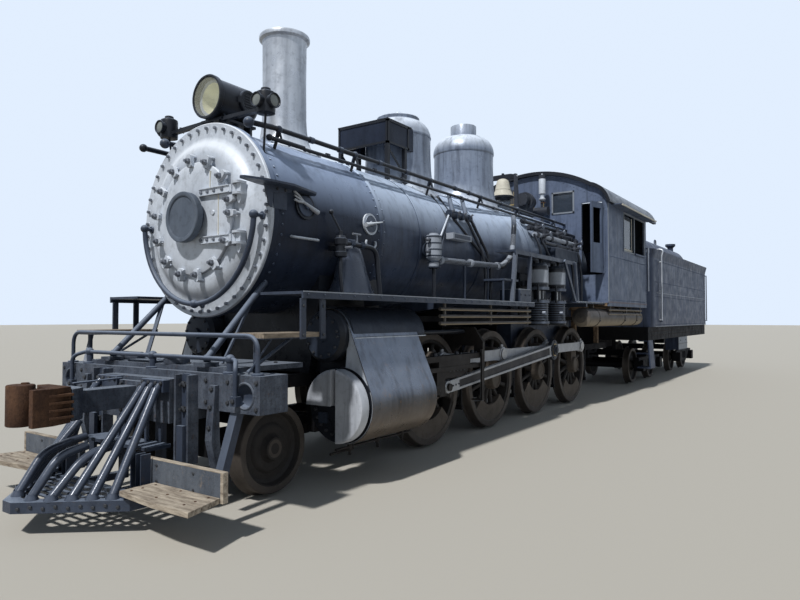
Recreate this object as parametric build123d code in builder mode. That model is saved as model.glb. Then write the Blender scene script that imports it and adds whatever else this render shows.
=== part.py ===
from build123d import *
import math
import os

os.makedirs("parts", exist_ok=True)

# Steam locomotive of the 2-8-0 kind with its tender, in millimetres.
# +X points to the front, +Y to the left side, +Z up. The wheel flanges' lowest points are at Z = 0.

# Overall reaches, from the main (third) driving axle
front_reach = 7780
rear_reach = 12850
main_x = (rear_reach - front_reach) / 2

# Running clearances
bore_gap = 0.1
face_gap = 0.3
moving_gap = 8

# Wheels: every wheel stands on its flange, the rail top is one flange depth up
flange_depth = 28
rail_z = flange_depth
wheel_back_y = 680
tyre_width = 140
flange_width = 14
flange_slope = 20
wheel_face_y = wheel_back_y + tyre_width

driver_radius = 690
driver_rim = 92
driver_spacing = 1658
driver_z = rail_z + driver_radius
driver_hub_radius = 150
driver_hub_y = 905
crank_radius = 350
crank_boss_radius = 105
crank_boss_y = 925
driver_axle_radius = 100
spoke_count = 12
spoke_width = 84
spoke_thickness = 56

# Each driving axle: number, place behind or ahead of the main axle, half angle and inner radius of
# its balance weight, crank pin radius
driver_table = [
    (1, main_x + 2 * driver_spacing, 48, 380, 62),
    (2, main_x + driver_spacing, 48, 380, 62),
    (3, main_x, 58, 330, 80),
    (4, main_x - driver_spacing, 48, 380, 62),
]
first_driver_x = driver_table[0][1]
last_driver_x = driver_table[-1][1]

# Rods
side_rod_y = 980
side_rod_thickness = 70
side_rod_height = 145
side_rod_boss = 108
pin_collar = 16
main_rod_y = 1100
main_rod_thickness = 62
main_rod_height_rear = 180
main_rod_height_front = 140
main_rod_flute = 12
big_end_radius = 165
crosshead_pin_x = main_x + 3400
cylinder_z = rail_z + 736
left_pin_z = driver_z + crank_radius
rod_length = math.hypot(crosshead_pin_x - main_x, left_pin_z - cylinder_z)
right_crosshead_x = main_x + crank_radius + math.sqrt(rod_length**2 - (cylinder_z - driver_z) ** 2)

# Leading truck
lead_radius = 398
lead_x = main_x + 5928
lead_z = rail_z + lead_radius
lead_axle_radius = 80
truck_pivot_x = main_x + 4750
truck_bar_y = 470
truck_bar_width = 80
truck_pin_radius = 40

# Main frame
frame_y = 560
frame_width = 100
frame_top_z = rail_z + 1010
frame_bottom_z = rail_z + 470
frame_rail = 120
jaw_width = 300
box_height = 300
frame_front_x = main_x + 6480
frame_rear_x = main_x - 4500
frame_arch_x = main_x + 5180

# Boiler
boiler_z = rail_z + 2490
smokebox_radius = 885
smokebox_wall = 20
smokebox_front_x = main_x + 6060
smokebox_rear_x = main_x + 4420
front_ring_radius = 925
front_ring_width = 60
front_ring_lip = 18
firebox_radius = 960
boiler_rear_x = main_x - 2150
# Boiler courses from the front: station of the rear edge, radius there
course_table = [
    (main_x + 4420, 872),
    (main_x + 2050, 872),
    (main_x + 600, firebox_radius),
    (boiler_rear_x, firebox_radius),
]
front_opening_radius = 500
door_radius = 530
door_thickness = 24
front_bulge = 90
plate_radius = 235
plate_standoff = 85

# Stack and domes
stack_x = main_x + 5015
stack_radius = 242
stack_wall = 18
stack_rim_radius = 274
stack_top_z = rail_z + 4640
sand_dome_x = main_x + 2840
sand_dome_radius = 446
sand_dome_top_z = rail_z + 4300
steam_dome_x = main_x + 995
steam_dome_radius = 474
steam_dome_top_z = rail_z + 4490
dome_cap_radius = 206

# Cylinders
cylinder_y = 1100
cylinder_radius = 345
cylinder_front_x = main_x + 5360
cylinder_rear_x = main_x + 4160
cover_thickness = 105
jacket_rear_x = cylinder_rear_x + 60
jacket_front_x = cylinder_front_x - 30
jacket_gap = 18
jacket_sheet = 6
chest_y = 930
chest_z = rail_z + 1385
chest_radius = 245
chest_web_y = chest_y - 190
saddle_width = 560

# Cab
cab_front_x = main_x - 1870
cab_rear_x = main_x - 4670
cab_half_width = 1450
cab_wall = 24
cab_floor_z = rail_z + 1840
floor_thickness = 60
eave_z = rail_z + 3740
roof_crown_z = rail_z + 4440
roof_half_width = 1515
roof_shoulder_y = 1160
roof_shoulder_z = rail_z + 4110
roof_thickness = roof_half_width - cab_half_width - face_gap
roof_front_x = main_x - 1790
roof_rear_x = main_x - 5330
door_sill_z = rail_z + 2370
door_head_z = rail_z + 3740
door_inner_y = 955
door_outer_y = 1345
leaf_thickness = 30
leaf_open_angle = 75

# Walkways
walkway_z = rail_z + 1780
walkway_thickness = 60
walkway_outer_y = 1400
walkway_front_x = main_x + 6180
walkway_rear_x = main_x + 1450
shelf_z = rail_z + 2500
shelf_front_x = main_x + 1950
shelf_rear_x = main_x - 420
apron_front_x = main_x - 350

# Front end
beam_front_x = main_x + 6660
beam_depth = 290
beam_half_width = 1420
beam_bottom_z = rail_z + 830
beam_top_z = rail_z + 1120
pilot_base_z = rail_z + 150
pilot_rail_height = 82 - face_gap
pilot_half_width = 700
pilot_rear_x = main_x + 7230
coupler_z = rail_z + 900
coupler_front_x = main_x + 7740

# Tender
tender_front_x = main_x - 4980
tender_rear_x = main_x - 12050
tender_half_width = 1450
tender_frame_bottom_z = rail_z + 1050
tender_floor_z = rail_z + 1350
tender_top_z = rail_z + 3150
tender_wheel_radius = 419
tender_axle_radius = 72
tender_wheelbase = 1700
drawbar_x = main_x - 4600
drawbar_z = rail_z + 760
drawbar_pin_radius = 45
# Tender trucks: name, centre station
truck_table = [
    ("front", main_x - 6750),
    ("rear", main_x - 10950),
]


def block(x_range, y_range, z_range, mode=Mode.ADD):
    """A square-edged block between pairs of coordinates."""
    size = [abs(pair[1] - pair[0]) for pair in (x_range, y_range, z_range)]
    centre = [(pair[0] + pair[1]) / 2 for pair in (x_range, y_range, z_range)]
    with Locations(Location(centre)):
        Box(*size, mode=mode)


def round_x(x_range, y, z, radius, mode=Mode.ADD):
    """A cylinder along X."""
    with Locations(Location(((x_range[0] + x_range[1]) / 2, y, z), (0, 90, 0))):
        Cylinder(radius, abs(x_range[1] - x_range[0]), mode=mode)


def round_y(x, y_range, z, radius, mode=Mode.ADD):
    """A cylinder along Y."""
    with Locations(Location((x, (y_range[0] + y_range[1]) / 2, z), (90, 0, 0))):
        Cylinder(radius, abs(y_range[1] - y_range[0]), mode=mode)


def round_z(x, y, z_range, radius, mode=Mode.ADD):
    """An upright cylinder."""
    with Locations(Location((x, y, (z_range[0] + z_range[1]) / 2))):
        Cylinder(radius, abs(z_range[1] - z_range[0]), mode=mode)


def bar(start, end, width, depth, mode=Mode.ADD):
    """A flat bar between two points: width is level and across it, depth is the other way."""
    along = Vector(*end) - Vector(*start)
    level = Vector(0, 0, 1).cross(along)
    side = level.normalized() if level.length > 1e-6 else Vector(0, 1, 0)
    with BuildSketch(Plane(origin=start, x_dir=side, z_dir=along)) as section:
        Rectangle(width, depth)
    extrude(section.sketch, amount=along.length, mode=mode)


def rod(start, end, radius, mode=Mode.ADD):
    """A round rod between two points."""
    along = Vector(*end) - Vector(*start)
    with BuildSketch(Plane(origin=start, z_dir=along)) as section:
        Circle(radius)
    extrude(section.sketch, amount=along.length, mode=mode)


def pipe(points, radius, bend):
    """A round pipe along a run of points, its corners bent to one radius."""
    with BuildLine() as route:
        FilletPolyline(*points, radius=bend)
    with BuildSketch(Plane(origin=points[0], z_dir=route.line % 0)) as section:
        Circle(radius)
    sweep(section.sketch, path=route.line)


def turned_x(profile, y, z, mode=Mode.ADD):
    """A body turned about an axis along X, from points of station and radius."""
    with BuildSketch(Plane(origin=(0, y, z), x_dir=(1, 0, 0), z_dir=(0, -1, 0))) as section:
        with BuildLine():
            Polyline(*profile, close=True)
        make_face()
    revolve(section.sketch, axis=Axis((0, y, z), (1, 0, 0)), mode=mode)


def turned_z(profile, x, y, mode=Mode.ADD):
    """A body turned about an upright axis, from points of radius and height."""
    with BuildSketch(Plane(origin=(x, y, 0), x_dir=(1, 0, 0), z_dir=(0, -1, 0))) as section:
        with BuildLine():
            Polyline(*profile, close=True)
        make_face()
    revolve(section.sketch, axis=Axis((x, y, 0), (0, 0, 1)), mode=mode)


def turned_y(profile, x, z, side, mode=Mode.ADD):
    """A body turned about an axis along Y, from points of distance from the middle and radius."""
    with BuildSketch(Plane(origin=(x, 0, z), x_dir=(0, side, 0), z_dir=(side, 0, 0))) as section:
        with BuildLine():
            Polyline(*profile, close=True)
        make_face()
    revolve(section.sketch, axis=Axis((x, 0, z), (0, 1, 0)), mode=mode)


def slab_y(points, y_range, mode=Mode.ADD):
    """A plate standing along the engine, from points of X and Z, between two Y values."""
    low = min(y_range)
    with BuildSketch(Plane(origin=(0, low, 0), x_dir=(1, 0, 0), z_dir=(0, -1, 0))) as section:
        with BuildLine():
            Polyline(*points, close=True)
        make_face()
    extrude(section.sketch, amount=-abs(y_range[1] - y_range[0]), mode=mode)


def slab_x(points, x_range, mode=Mode.ADD):
    """A plate standing across the engine, from points of Y and Z, between two X values."""
    low = min(x_range)
    with BuildSketch(Plane(origin=(low, 0, 0), x_dir=(0, 1, 0), z_dir=(1, 0, 0))) as section:
        with BuildLine():
            Polyline(*points, close=True)
        make_face()
    extrude(section.sketch, amount=abs(x_range[1] - x_range[0]), mode=mode)


def slab_z(points, z_range, mode=Mode.ADD):
    """A level plate from points of X and Y, between two heights."""
    with BuildSketch(Plane.XY.offset(min(z_range))) as section:
        with BuildLine():
            Polyline(*points, close=True)
        make_face()
    extrude(section.sketch, amount=abs(z_range[1] - z_range[0]), mode=mode)


def boiler_top(y, radius):
    """Height of the boiler's skin at a distance from the middle plane."""
    return boiler_z + math.sqrt(radius**2 - y**2)


def clear_boiler():
    """Cut away what would stand inside the smokebox, its front ring or the boiler."""
    ring_front_x = smokebox_front_x + front_ring_lip + face_gap
    ring_rear_x = smokebox_front_x - front_ring_width - face_gap
    turned_x(
        [(ring_front_x, 0)]
        + [(ring_front_x, front_ring_radius + face_gap), (ring_rear_x, front_ring_radius + face_gap)]
        + [(ring_rear_x, smokebox_radius + face_gap), (smokebox_rear_x, smokebox_radius + face_gap)]
        + [(station, radius + face_gap) for station, radius in course_table]
        + [(boiler_rear_x, 0)],
        0,
        boiler_z,
        mode=Mode.SUBTRACT,
    )


# Main frame: two bar frames with pedestals and axle boxes, and the stays between them
jaw_top_z = driver_z + box_height / 2
with BuildPart() as frame:
    for side in (1, -1):
        outer = side * (frame_y + frame_width / 2)
        inner = side * (frame_y - frame_width / 2)
        block((frame_rear_x, frame_arch_x), (inner, outer), (frame_top_z - frame_rail, frame_top_z))
        block((frame_arch_x - frame_rail, frame_front_x), (inner, outer), (frame_top_z - frame_rail, frame_top_z))
        block(
            (last_driver_x - jaw_width, frame_arch_x),
            (inner, outer),
            (frame_bottom_z - frame_rail / 2, frame_bottom_z + frame_rail / 4),
        )
        for number, axle_x, weight_angle, weight_radius, pin_radius in driver_table:
            for jaw in (-1, 1):
                jaw_x = axle_x + jaw * (jaw_width / 2 + frame_rail / 4)
                block(
                    (jaw_x - frame_rail / 4, jaw_x + frame_rail / 4),
                    (inner, outer),
                    (frame_bottom_z - frame_rail / 2, frame_top_z),
                )
            block(
                (axle_x - jaw_width / 2, axle_x + jaw_width / 2),
                (side * (frame_y - frame_width / 2 - 15), side * (frame_y + frame_width / 2 + 15)),
                (driver_z - box_height / 2, driver_z + box_height / 2),
            )
            round_y(axle_x, (side * 400, side * 700), driver_z, driver_axle_radius + bore_gap, mode=Mode.SUBTRACT)
        block(
            (frame_arch_x - frame_rail, frame_arch_x),
            (inner, outer),
            (frame_bottom_z - frame_rail / 2, frame_top_z),
        )
    inner_face = frame_y - frame_width / 2
    for stay_x in (main_x + 2.5 * driver_spacing, main_x + 1.5 * driver_spacing, main_x + 0.5 * driver_spacing):
        block((stay_x - 60, stay_x + 60), (-inner_face, inner_face), (frame_top_z - frame_rail, frame_top_z))
        block(
            (stay_x - 40, stay_x + 40),
            (-inner_face, inner_face),
            (frame_bottom_z - frame_rail / 2, frame_bottom_z + frame_rail / 4),
        )
    block((frame_rear_x, frame_rear_x + 500), (-inner_face, inner_face), (frame_top_z - frame_rail, frame_top_z))
    beam_rear_x = beam_front_x - beam_depth
    block((beam_rear_x - 150, beam_rear_x - face_gap), (-inner_face, inner_face), (frame_top_z - frame_rail, frame_top_z))
    block((lead_x - 150, lead_x + 150), (-inner_face, inner_face), (frame_top_z - frame_rail, frame_top_z))
    round_z(lead_x, 0, (rail_z + 790, frame_top_z - frame_rail + 5), 140)
    block(
        (truck_pivot_x - 90, truck_pivot_x + 90),
        (-inner_face, inner_face),
        (frame_bottom_z - frame_rail / 2, frame_bottom_z + frame_rail / 4),
    )
    round_z(truck_pivot_x, 0, (rail_z, frame_top_z), truck_pin_radius + bore_gap, mode=Mode.SUBTRACT)
    block((drawbar_x + 125, drawbar_x + 230), (-220, 220), (drawbar_z - 110, frame_top_z - frame_rail + 5))
    block((drawbar_x - 60, drawbar_x + 230), (-220, 220), (drawbar_z + 45, drawbar_z + 95))
    block((drawbar_x - 60, drawbar_x + 230), (-220, 220), (drawbar_z - 110, drawbar_z - 60))
    round_z(drawbar_x, 0, (rail_z, drawbar_z + 200), drawbar_pin_radius + bore_gap, mode=Mode.SUBTRACT)
frame.part.label = "frame"
export_step(frame.part, "parts/frame.step")

# Cylinder saddle under the smokebox, with the steam and exhaust passages to each valve chest
saddle_top_z = boiler_z - smokebox_radius * 0.55
with BuildPart() as cylinder_saddle:
    slab_x(
        [
            (-saddle_width * 1.05, frame_top_z),
            (-saddle_width * 1.25, saddle_top_z - 420),
            (-saddle_width * 1.3, saddle_top_z),
            (saddle_width * 1.3, saddle_top_z),
            (saddle_width * 1.25, saddle_top_z - 420),
            (saddle_width * 1.05, frame_top_z),
        ],
        (cylinder_rear_x + 60, cylinder_front_x - 120),
    )
    round_x((cylinder_rear_x, cylinder_front_x), 0, boiler_z, smokebox_radius, mode=Mode.SUBTRACT)
    for side in (1, -1):
        block(
            (cylinder_rear_x + 160, cylinder_front_x - 220),
            (side * saddle_width, side * (chest_web_y - face_gap)),
            (frame_top_z, chest_z + 90),
        )
        round_x(
            (cylinder_rear_x, cylinder_front_x),
            side * chest_y,
            chest_z,
            chest_radius - 10 + face_gap,
            mode=Mode.SUBTRACT,
        )
cylinder_saddle.part.label = "cylinder_saddle"
export_step(cylinder_saddle.part, "parts/cylinder_saddle.step")

# Cylinders: barrel, valve chest above it, heads, valve stem and piston rod
with BuildPart() as cylinders:
    for side, rod_end_x in ((1, crosshead_pin_x), (-1, right_crosshead_x)):
        chest = side * chest_y
        middle = side * cylinder_y
        turned_x(
            [
                (cylinder_rear_x - 20, 0),
                (cylinder_rear_x - 20, 120),
                (cylinder_rear_x + 20, 150),
                (cylinder_rear_x + 20, cylinder_radius - 30),
                (cylinder_front_x, cylinder_radius - 30),
                (cylinder_front_x, 0),
            ],
            middle,
            cylinder_z,
        )
        for flange_x in (jacket_rear_x, jacket_front_x - 30):
            round_x((flange_x, flange_x + 30), middle, cylinder_z, cylinder_radius + jacket_gap - jacket_sheet - face_gap)
        turned_x(
            [
                (cylinder_rear_x - 60, 0),
                (cylinder_rear_x - 60, chest_radius - 60),
                (cylinder_front_x - 170, chest_radius - 40),
                (cylinder_front_x - 170, chest_radius - 10),
                (cylinder_front_x - 90, chest_radius - 10),
                (cylinder_front_x - 90, chest_radius + 8),
                (cylinder_front_x + 20, chest_radius + 8),
                (cylinder_front_x + 55, chest_radius - 30),
                (cylinder_front_x + 55, 0),
            ],
            chest,
            chest_z,
        )
        slab_x(
            [
                (side * chest_web_y, chest_z),
                (side * chest_web_y, cylinder_z + 100),
                (middle + side * 150, cylinder_z + 100),
                (chest + side * 150, chest_z),
            ],
            (cylinder_rear_x + 60, cylinder_front_x - 120),
        )
        round_x((rod_end_x + 250, cylinder_rear_x + 20), middle, cylinder_z, 45)
        round_x((main_x + 2700, cylinder_rear_x - 40), chest, chest_z, 28)
cylinders.part.label = "cylinders"
export_step(cylinders.part, "parts/cylinders.step")

# Jackets: the sheet wrapped from the valve chest round the cylinder, with a cap sheet on the chest
with BuildPart() as cylinder_jackets:
    for side in (1, -1):
        for outer_sheet in (True, False):
            grow = jacket_gap if outer_sheet else jacket_gap - jacket_sheet
            with BuildSketch(Plane(origin=(jacket_rear_x, 0, 0), x_dir=(0, 1, 0), z_dir=(1, 0, 0))) as wrap:
                with Locations((side * cylinder_y, cylinder_z)):
                    Circle(cylinder_radius + grow)
                with Locations((side * chest_y, chest_z)):
                    Circle(chest_radius + grow)
                make_hull()
            extrude(
                wrap.sketch,
                amount=jacket_front_x - jacket_rear_x,
                mode=Mode.ADD if outer_sheet else Mode.SUBTRACT,
            )
        block(
            (jacket_rear_x - 10, jacket_front_x + 10),
            (0, side * (chest_y - 120)),
            (rail_z, boiler_z),
            mode=Mode.SUBTRACT,
        )
        with BuildSketch(Plane(origin=(jacket_rear_x - 150, 0, 0), x_dir=(0, 1, 0), z_dir=(1, 0, 0))) as cap:
            with Locations((side * chest_y, chest_z)):
                Circle(chest_radius + jacket_gap + jacket_sheet + 8)
                Circle(chest_radius + jacket_gap + 1, mode=Mode.SUBTRACT)
            with Locations((side * chest_y, chest_z - 500 + 20)):
                Rectangle(1200, 1000, mode=Mode.SUBTRACT)
        extrude(cap.sketch, amount=jacket_front_x - jacket_rear_x + 130)
        block(
            (jacket_rear_x - 200, jacket_front_x + 20),
            (0, side * (chest_y - 120)),
            (chest_z, boiler_z),
            mode=Mode.SUBTRACT,
        )
cylinder_jackets.part.label = "cylinder_jackets"
export_step(cylinder_jackets.part, "parts/cylinder_jackets.step")

# Front covers: the left one has lost its lower inner quarter, and shows the joint of its halves
with BuildPart() as cylinder_covers:
    for side in (1, -1):
        turned_x(
            [
                (cylinder_front_x + face_gap, 0),
                (cylinder_front_x + face_gap, cylinder_radius),
                (cylinder_front_x + cover_thickness - 22, cylinder_radius),
                (cylinder_front_x + cover_thickness, cylinder_radius - 22),
                (cylinder_front_x + cover_thickness, 0),
            ],
            side * cylinder_y,
            cylinder_z,
        )
    block(
        (cylinder_front_x + 35, cylinder_front_x + cover_thickness + 10),
        (cylinder_y - cylinder_radius - 10, cylinder_y + 30),
        (cylinder_z - cylinder_radius - 10, cylinder_z),
        mode=Mode.SUBTRACT,
    )
    block(
        (cylinder_front_x + 60, cylinder_front_x + cover_thickness + 10),
        (cylinder_y - 45, cylinder_y + 15),
        (cylinder_z, cylinder_z + cylinder_radius + 10),
        mode=Mode.SUBTRACT,
    )
cylinder_covers.part.label = "cylinder_covers"
export_step(cylinder_covers.part, "parts/cylinder_covers.step")

# Smokebox: a hollow drum, open at the front and under the stack
with BuildPart() as smokebox:
    turned_x(
        [
            (smokebox_rear_x + face_gap, 0),
            (smokebox_rear_x + face_gap, smokebox_radius),
            (smokebox_front_x, smokebox_radius),
            (smokebox_front_x, smokebox_radius - smokebox_wall),
            (smokebox_rear_x + 60, smokebox_radius - smokebox_wall),
            (smokebox_rear_x + 60, 0),
        ],
        0,
        boiler_z,
    )
    round_z(stack_x, 0, (boiler_z, boiler_z + smokebox_radius + 50), stack_radius - stack_wall, mode=Mode.SUBTRACT)
smokebox.part.label = "smokebox"
export_step(smokebox.part, "parts/smokebox.step")

# Smokebox front: the bolted ring and the bulged plate round the door opening, with the hinge lugs
front_face_x = smokebox_front_x + front_bulge
hinge_y = door_radius + 45
hinge_x = front_face_x + 34
hinge_radius = 14
hinge_table = [boiler_z + 220, boiler_z - 220]
with BuildPart() as smokebox_front:
    turned_x(
        [
            (smokebox_front_x - front_ring_width, smokebox_radius + face_gap),
            (smokebox_front_x - front_ring_width, front_ring_radius),
            (smokebox_front_x + front_ring_lip, front_ring_radius),
            (smokebox_front_x + front_ring_lip, front_ring_radius - 165),
            (smokebox_front_x + 62, front_ring_radius - 215),
            (front_face_x, front_ring_radius - 300),
            (front_face_x, front_opening_radius),
            (front_face_x - 30, front_opening_radius),
            (smokebox_front_x + 30, front_ring_radius - 300),
            (smokebox_front_x + face_gap, front_ring_radius - 190),
            (smokebox_front_x + face_gap, smokebox_radius + face_gap),
        ],
        0,
        boiler_z,
    )
    for hinge_z in hinge_table:
        for end in (-1, 1):
            block(
                (front_face_x - 12, hinge_x + 22),
                (hinge_y - 20, hinge_y + 20),
                (hinge_z + end * 36, hinge_z + end * 56),
            )
        round_z(hinge_x, hinge_y, (hinge_z - 56, hinge_z + 56), hinge_radius)
smokebox_front.part.label = "smokebox_front"
export_step(smokebox_front.part, "parts/smokebox_front.step")

# Smokebox door: dished plate with two strap hinges and the round number drum, left blank
door_back_x = front_face_x + face_gap
with BuildPart() as smokebox_door:
    turned_x(
        [
            (door_back_x, 0),
            (door_back_x, door_radius),
            (door_back_x + door_thickness, door_radius),
            (door_back_x + door_thickness + 18, door_radius - 120),
            (door_back_x + door_thickness + 18, plate_radius - 60),
            (door_back_x + door_thickness + plate_standoff, plate_radius - 60),
            (door_back_x + door_thickness + plate_standoff, plate_radius),
            (door_back_x + door_thickness + plate_standoff + 70, plate_radius),
            (door_back_x + door_thickness + plate_standoff + 70, plate_radius - 45),
            (door_back_x + door_thickness + plate_standoff + 58, plate_radius - 45),
            (door_back_x + door_thickness + plate_standoff + 58, 0),
        ],
        0,
        boiler_z,
    )
    for hinge_z in hinge_table:
        block((door_back_x + 10, hinge_x + 14), (100, hinge_y - 10), (hinge_z - 26, hinge_z + 26))
        round_z(hinge_x, hinge_y, (hinge_z - 35, hinge_z + 35), hinge_radius + 16)
        round_z(hinge_x, hinge_y, (hinge_z - 60, hinge_z + 60), hinge_radius + bore_gap, mode=Mode.SUBTRACT)
smokebox_door.part.label = "smokebox_door"
export_step(smokebox_door.part, "parts/smokebox_door.step")

# Stack: open pipe with a rolled rim, on a base that fits the smokebox
stack_foot_z = boiler_top(0, smokebox_radius)
with BuildPart() as stack:
    turned_z(
        [
            (stack_radius - stack_wall, boiler_top(stack_radius + 150, smokebox_radius)),
            (stack_radius - stack_wall, stack_top_z),
            (stack_rim_radius, stack_top_z),
            (stack_rim_radius, stack_top_z - 55),
            (stack_radius + 2, stack_top_z - 75),
            (stack_radius - 6, stack_foot_z + 300),
            (stack_radius + 25, stack_foot_z + 90),
            (stack_radius + 150, stack_foot_z - 30),
            (stack_radius + 150, boiler_top(stack_radius + 150, smokebox_radius)),
        ],
        stack_x,
        0,
    )
    round_x(
        (stack_x - 500, stack_x + 500),
        0,
        boiler_z,
        smokebox_radius + face_gap,
        mode=Mode.SUBTRACT,
    )
stack.part.label = "stack"
export_step(stack.part, "parts/stack.step")

# Boiler: lagged courses that widen to the firebox, with the firebox sides down to the frame
firebox_front_x = main_x + 550
firebox_half_width = 610
with BuildPart() as boiler:
    turned_x(
        [(course_table[0][0], 0)] + course_table + [(boiler_rear_x, 0)],
        0,
        boiler_z,
    )
    block(
        (boiler_rear_x + 60, firebox_front_x),
        (-firebox_half_width, firebox_half_width),
        (frame_top_z + face_gap, boiler_z),
    )
boiler.part.label = "boiler"
export_step(boiler.part, "parts/boiler.step")

# Backhead in the cab: end plate, fire door, throttle lever, brake stand and gauges
with BuildPart() as backhead:
    round_x((boiler_rear_x - 40, boiler_rear_x - face_gap), 0, boiler_z, firebox_radius - 40)
    round_x((boiler_rear_x - 70, boiler_rear_x - 30), 0, boiler_z - 420, 210)
    round_x((boiler_rear_x - 130, boiler_rear_x - 30), 0, boiler_z + 620, 90)
    bar((boiler_rear_x - 110, 40, boiler_z + 545), (boiler_rear_x - 110, -620, boiler_z + 590), 30, 40)
    for gauge_y in (-330, 0, 330):
        round_x((boiler_rear_x - 95, boiler_rear_x - 30), gauge_y, boiler_z + 300, 85)
    for glass_y in (-180, 180):
        round_z(boiler_rear_x - 75, glass_y, (boiler_z - 60, boiler_z + 170), 16)
        block((boiler_rear_x - 90, boiler_rear_x - 30), (glass_y - 20, glass_y + 20), (boiler_z - 70, boiler_z - 30))
        block((boiler_rear_x - 90, boiler_rear_x - 30), (glass_y - 20, glass_y + 20), (boiler_z + 130, boiler_z + 170))
backhead.part.label = "backhead"
export_step(backhead.part, "parts/backhead.step")

# Domes: body, shoulder and cap, on a flared skirt that fits the boiler
# Columns: name, station, body radius, boiler radius under it, top height, cap radius, knob radius and height
sand_skin = course_table[1][1]
steam_skin = firebox_radius - (firebox_radius - sand_skin) * 0.3
dome_table = [
    ("sand_dome", sand_dome_x, sand_dome_radius, sand_skin, sand_dome_top_z, dome_cap_radius, 60, 90),
    ("steam_dome", steam_dome_x, steam_dome_radius, steam_skin, steam_dome_top_z, 250, dome_cap_radius, 155),
]
for dome_name, dome_x, dome_radius, skin_radius, top_z, cap_radius, knob_radius, knob_height in dome_table:
    skirt_z = boiler_top(dome_radius + 60, skin_radius) - 60
    shoulder_z = top_z - dome_radius * 0.62
    with BuildPart() as dome:
        with BuildSketch(Plane(origin=(dome_x, 0, 0), x_dir=(1, 0, 0), z_dir=(0, -1, 0))) as dome_section:
            with BuildLine():
                Polyline((0, top_z + knob_height), (0, skirt_z), (dome_radius + 70, skirt_z))
                Line((dome_radius + 70, skirt_z), (dome_radius + 70, boiler_top(0, skin_radius) - 130))
                TangentArc(
                    (dome_radius, boiler_top(0, skin_radius) + 40),
                    (dome_radius + 70, boiler_top(0, skin_radius) - 130),
                    tangent=(0, 1),
                    tangent_from_first=False,
                )
                Line((dome_radius, boiler_top(0, skin_radius) + 40), (dome_radius, shoulder_z))
                ThreePointArc(
                    (dome_radius, shoulder_z),
                    (dome_radius * 0.88, shoulder_z + (top_z - shoulder_z) * 0.56),
                    (cap_radius, top_z - 30),
                )
                Polyline(
                    (cap_radius, top_z - 30),
                    (cap_radius, top_z),
                    (knob_radius, top_z),
                    (knob_radius, top_z + knob_height),
                    (0, top_z + knob_height),
                )
            make_face()
        revolve(axis=Axis((dome_x, 0, 0), (0, 0, 1)))
        clear_boiler()
    dome.part.label = dome_name
    export_step(dome.part, "parts/" + dome_name + ".step")

# Headlight on its bracket over the smokebox
headlight_z = rail_z + 3690
headlight_radius = 213
headlight_front_x = main_x + 6060
with BuildPart() as headlight:
    turned_x(
        [
            (headlight_front_x - 560, 0),
            (headlight_front_x - 560, headlight_radius - 90),
            (headlight_front_x - 480, headlight_radius - 30),
            (headlight_front_x - 50, headlight_radius - 20),
            (headlight_front_x - 50, headlight_radius),
            (headlight_front_x, headlight_radius),
            (headlight_front_x, headlight_radius - 30),
            (headlight_front_x - 40, headlight_radius - 30),
            (headlight_front_x - 260, 60),
            (headlight_front_x - 260, 0),
        ],
        0,
        headlight_z,
    )
    for foot_x in (headlight_front_x - 440, headlight_front_x - 120):
        block(
            (foot_x - 20, foot_x + 20),
            (-130, 130),
            (boiler_top(0, smokebox_radius) - 60, headlight_z - headlight_radius + 60),
        )
    block(
        (headlight_front_x - 500, headlight_front_x - 60),
        (-150, 150),
        (headlight_z - headlight_radius - 14, headlight_z - headlight_radius + 14),
    )
    clear_boiler()
headlight.part.label = "headlight"
export_step(headlight.part, "parts/headlight.step")

# Class lamps on brackets, one each side, with a lens to the front and one to the side
class_lamp_x = main_x + 5960
class_lamp_y = 715
class_lamp_z = rail_z + 3515
with BuildPart() as class_lamps:
    for side in (1, -1):
        lamp_y = side * class_lamp_y
        round_z(class_lamp_x, lamp_y, (class_lamp_z - 105, class_lamp_z + 95), 88)
        round_z(class_lamp_x, lamp_y, (class_lamp_z + 95, class_lamp_z + 140), 45)
        round_x((class_lamp_x, class_lamp_x + 125), lamp_y, class_lamp_z, 66)
        round_y(class_lamp_x, (lamp_y, lamp_y + side * 125), class_lamp_z, 66)
        foot_y = side * 560
        foot_z = boiler_top(560, smokebox_radius)
        bar((class_lamp_x - 120, foot_y, foot_z - 10), (class_lamp_x, lamp_y, class_lamp_z - 100), 60, 24)
    clear_boiler()
class_lamps.part.label = "class_lamps"
export_step(class_lamps.part, "parts/class_lamps.step")

# Number box on four legs round the front of the sand dome, left blank
number_box_front_x = main_x + 3630
number_box_length = 620
number_box_half_width = 395
number_box_z = rail_z + 3735
number_box_height = 300
with BuildPart() as number_box:
    rear_x = number_box_front_x - number_box_length
    block(
        (rear_x, number_box_front_x),
        (-number_box_half_width, number_box_half_width),
        (number_box_z, number_box_z + number_box_height),
    )
    block(
        (rear_x + 20, number_box_front_x - 20),
        (-number_box_half_width + 20, number_box_half_width - 20),
        (number_box_z - 10, number_box_z + number_box_height - 20),
        mode=Mode.SUBTRACT,
    )
    round_z(sand_dome_x, 0, (boiler_z, sand_dome_top_z), sand_dome_radius + 6, mode=Mode.SUBTRACT)
    for leg_x in (rear_x + 225, number_box_front_x - 20):
        for leg_y in (-number_box_half_width + 20, number_box_half_width - 20):
            block(
                (leg_x - 20, leg_x + 20),
                (leg_y - 20, leg_y + 20),
                (boiler_z + 600, number_box_z + number_box_height - 10),
            )
    clear_boiler()
number_box.part.label = "number_box"
export_step(number_box.part, "parts/number_box.step")

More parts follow.
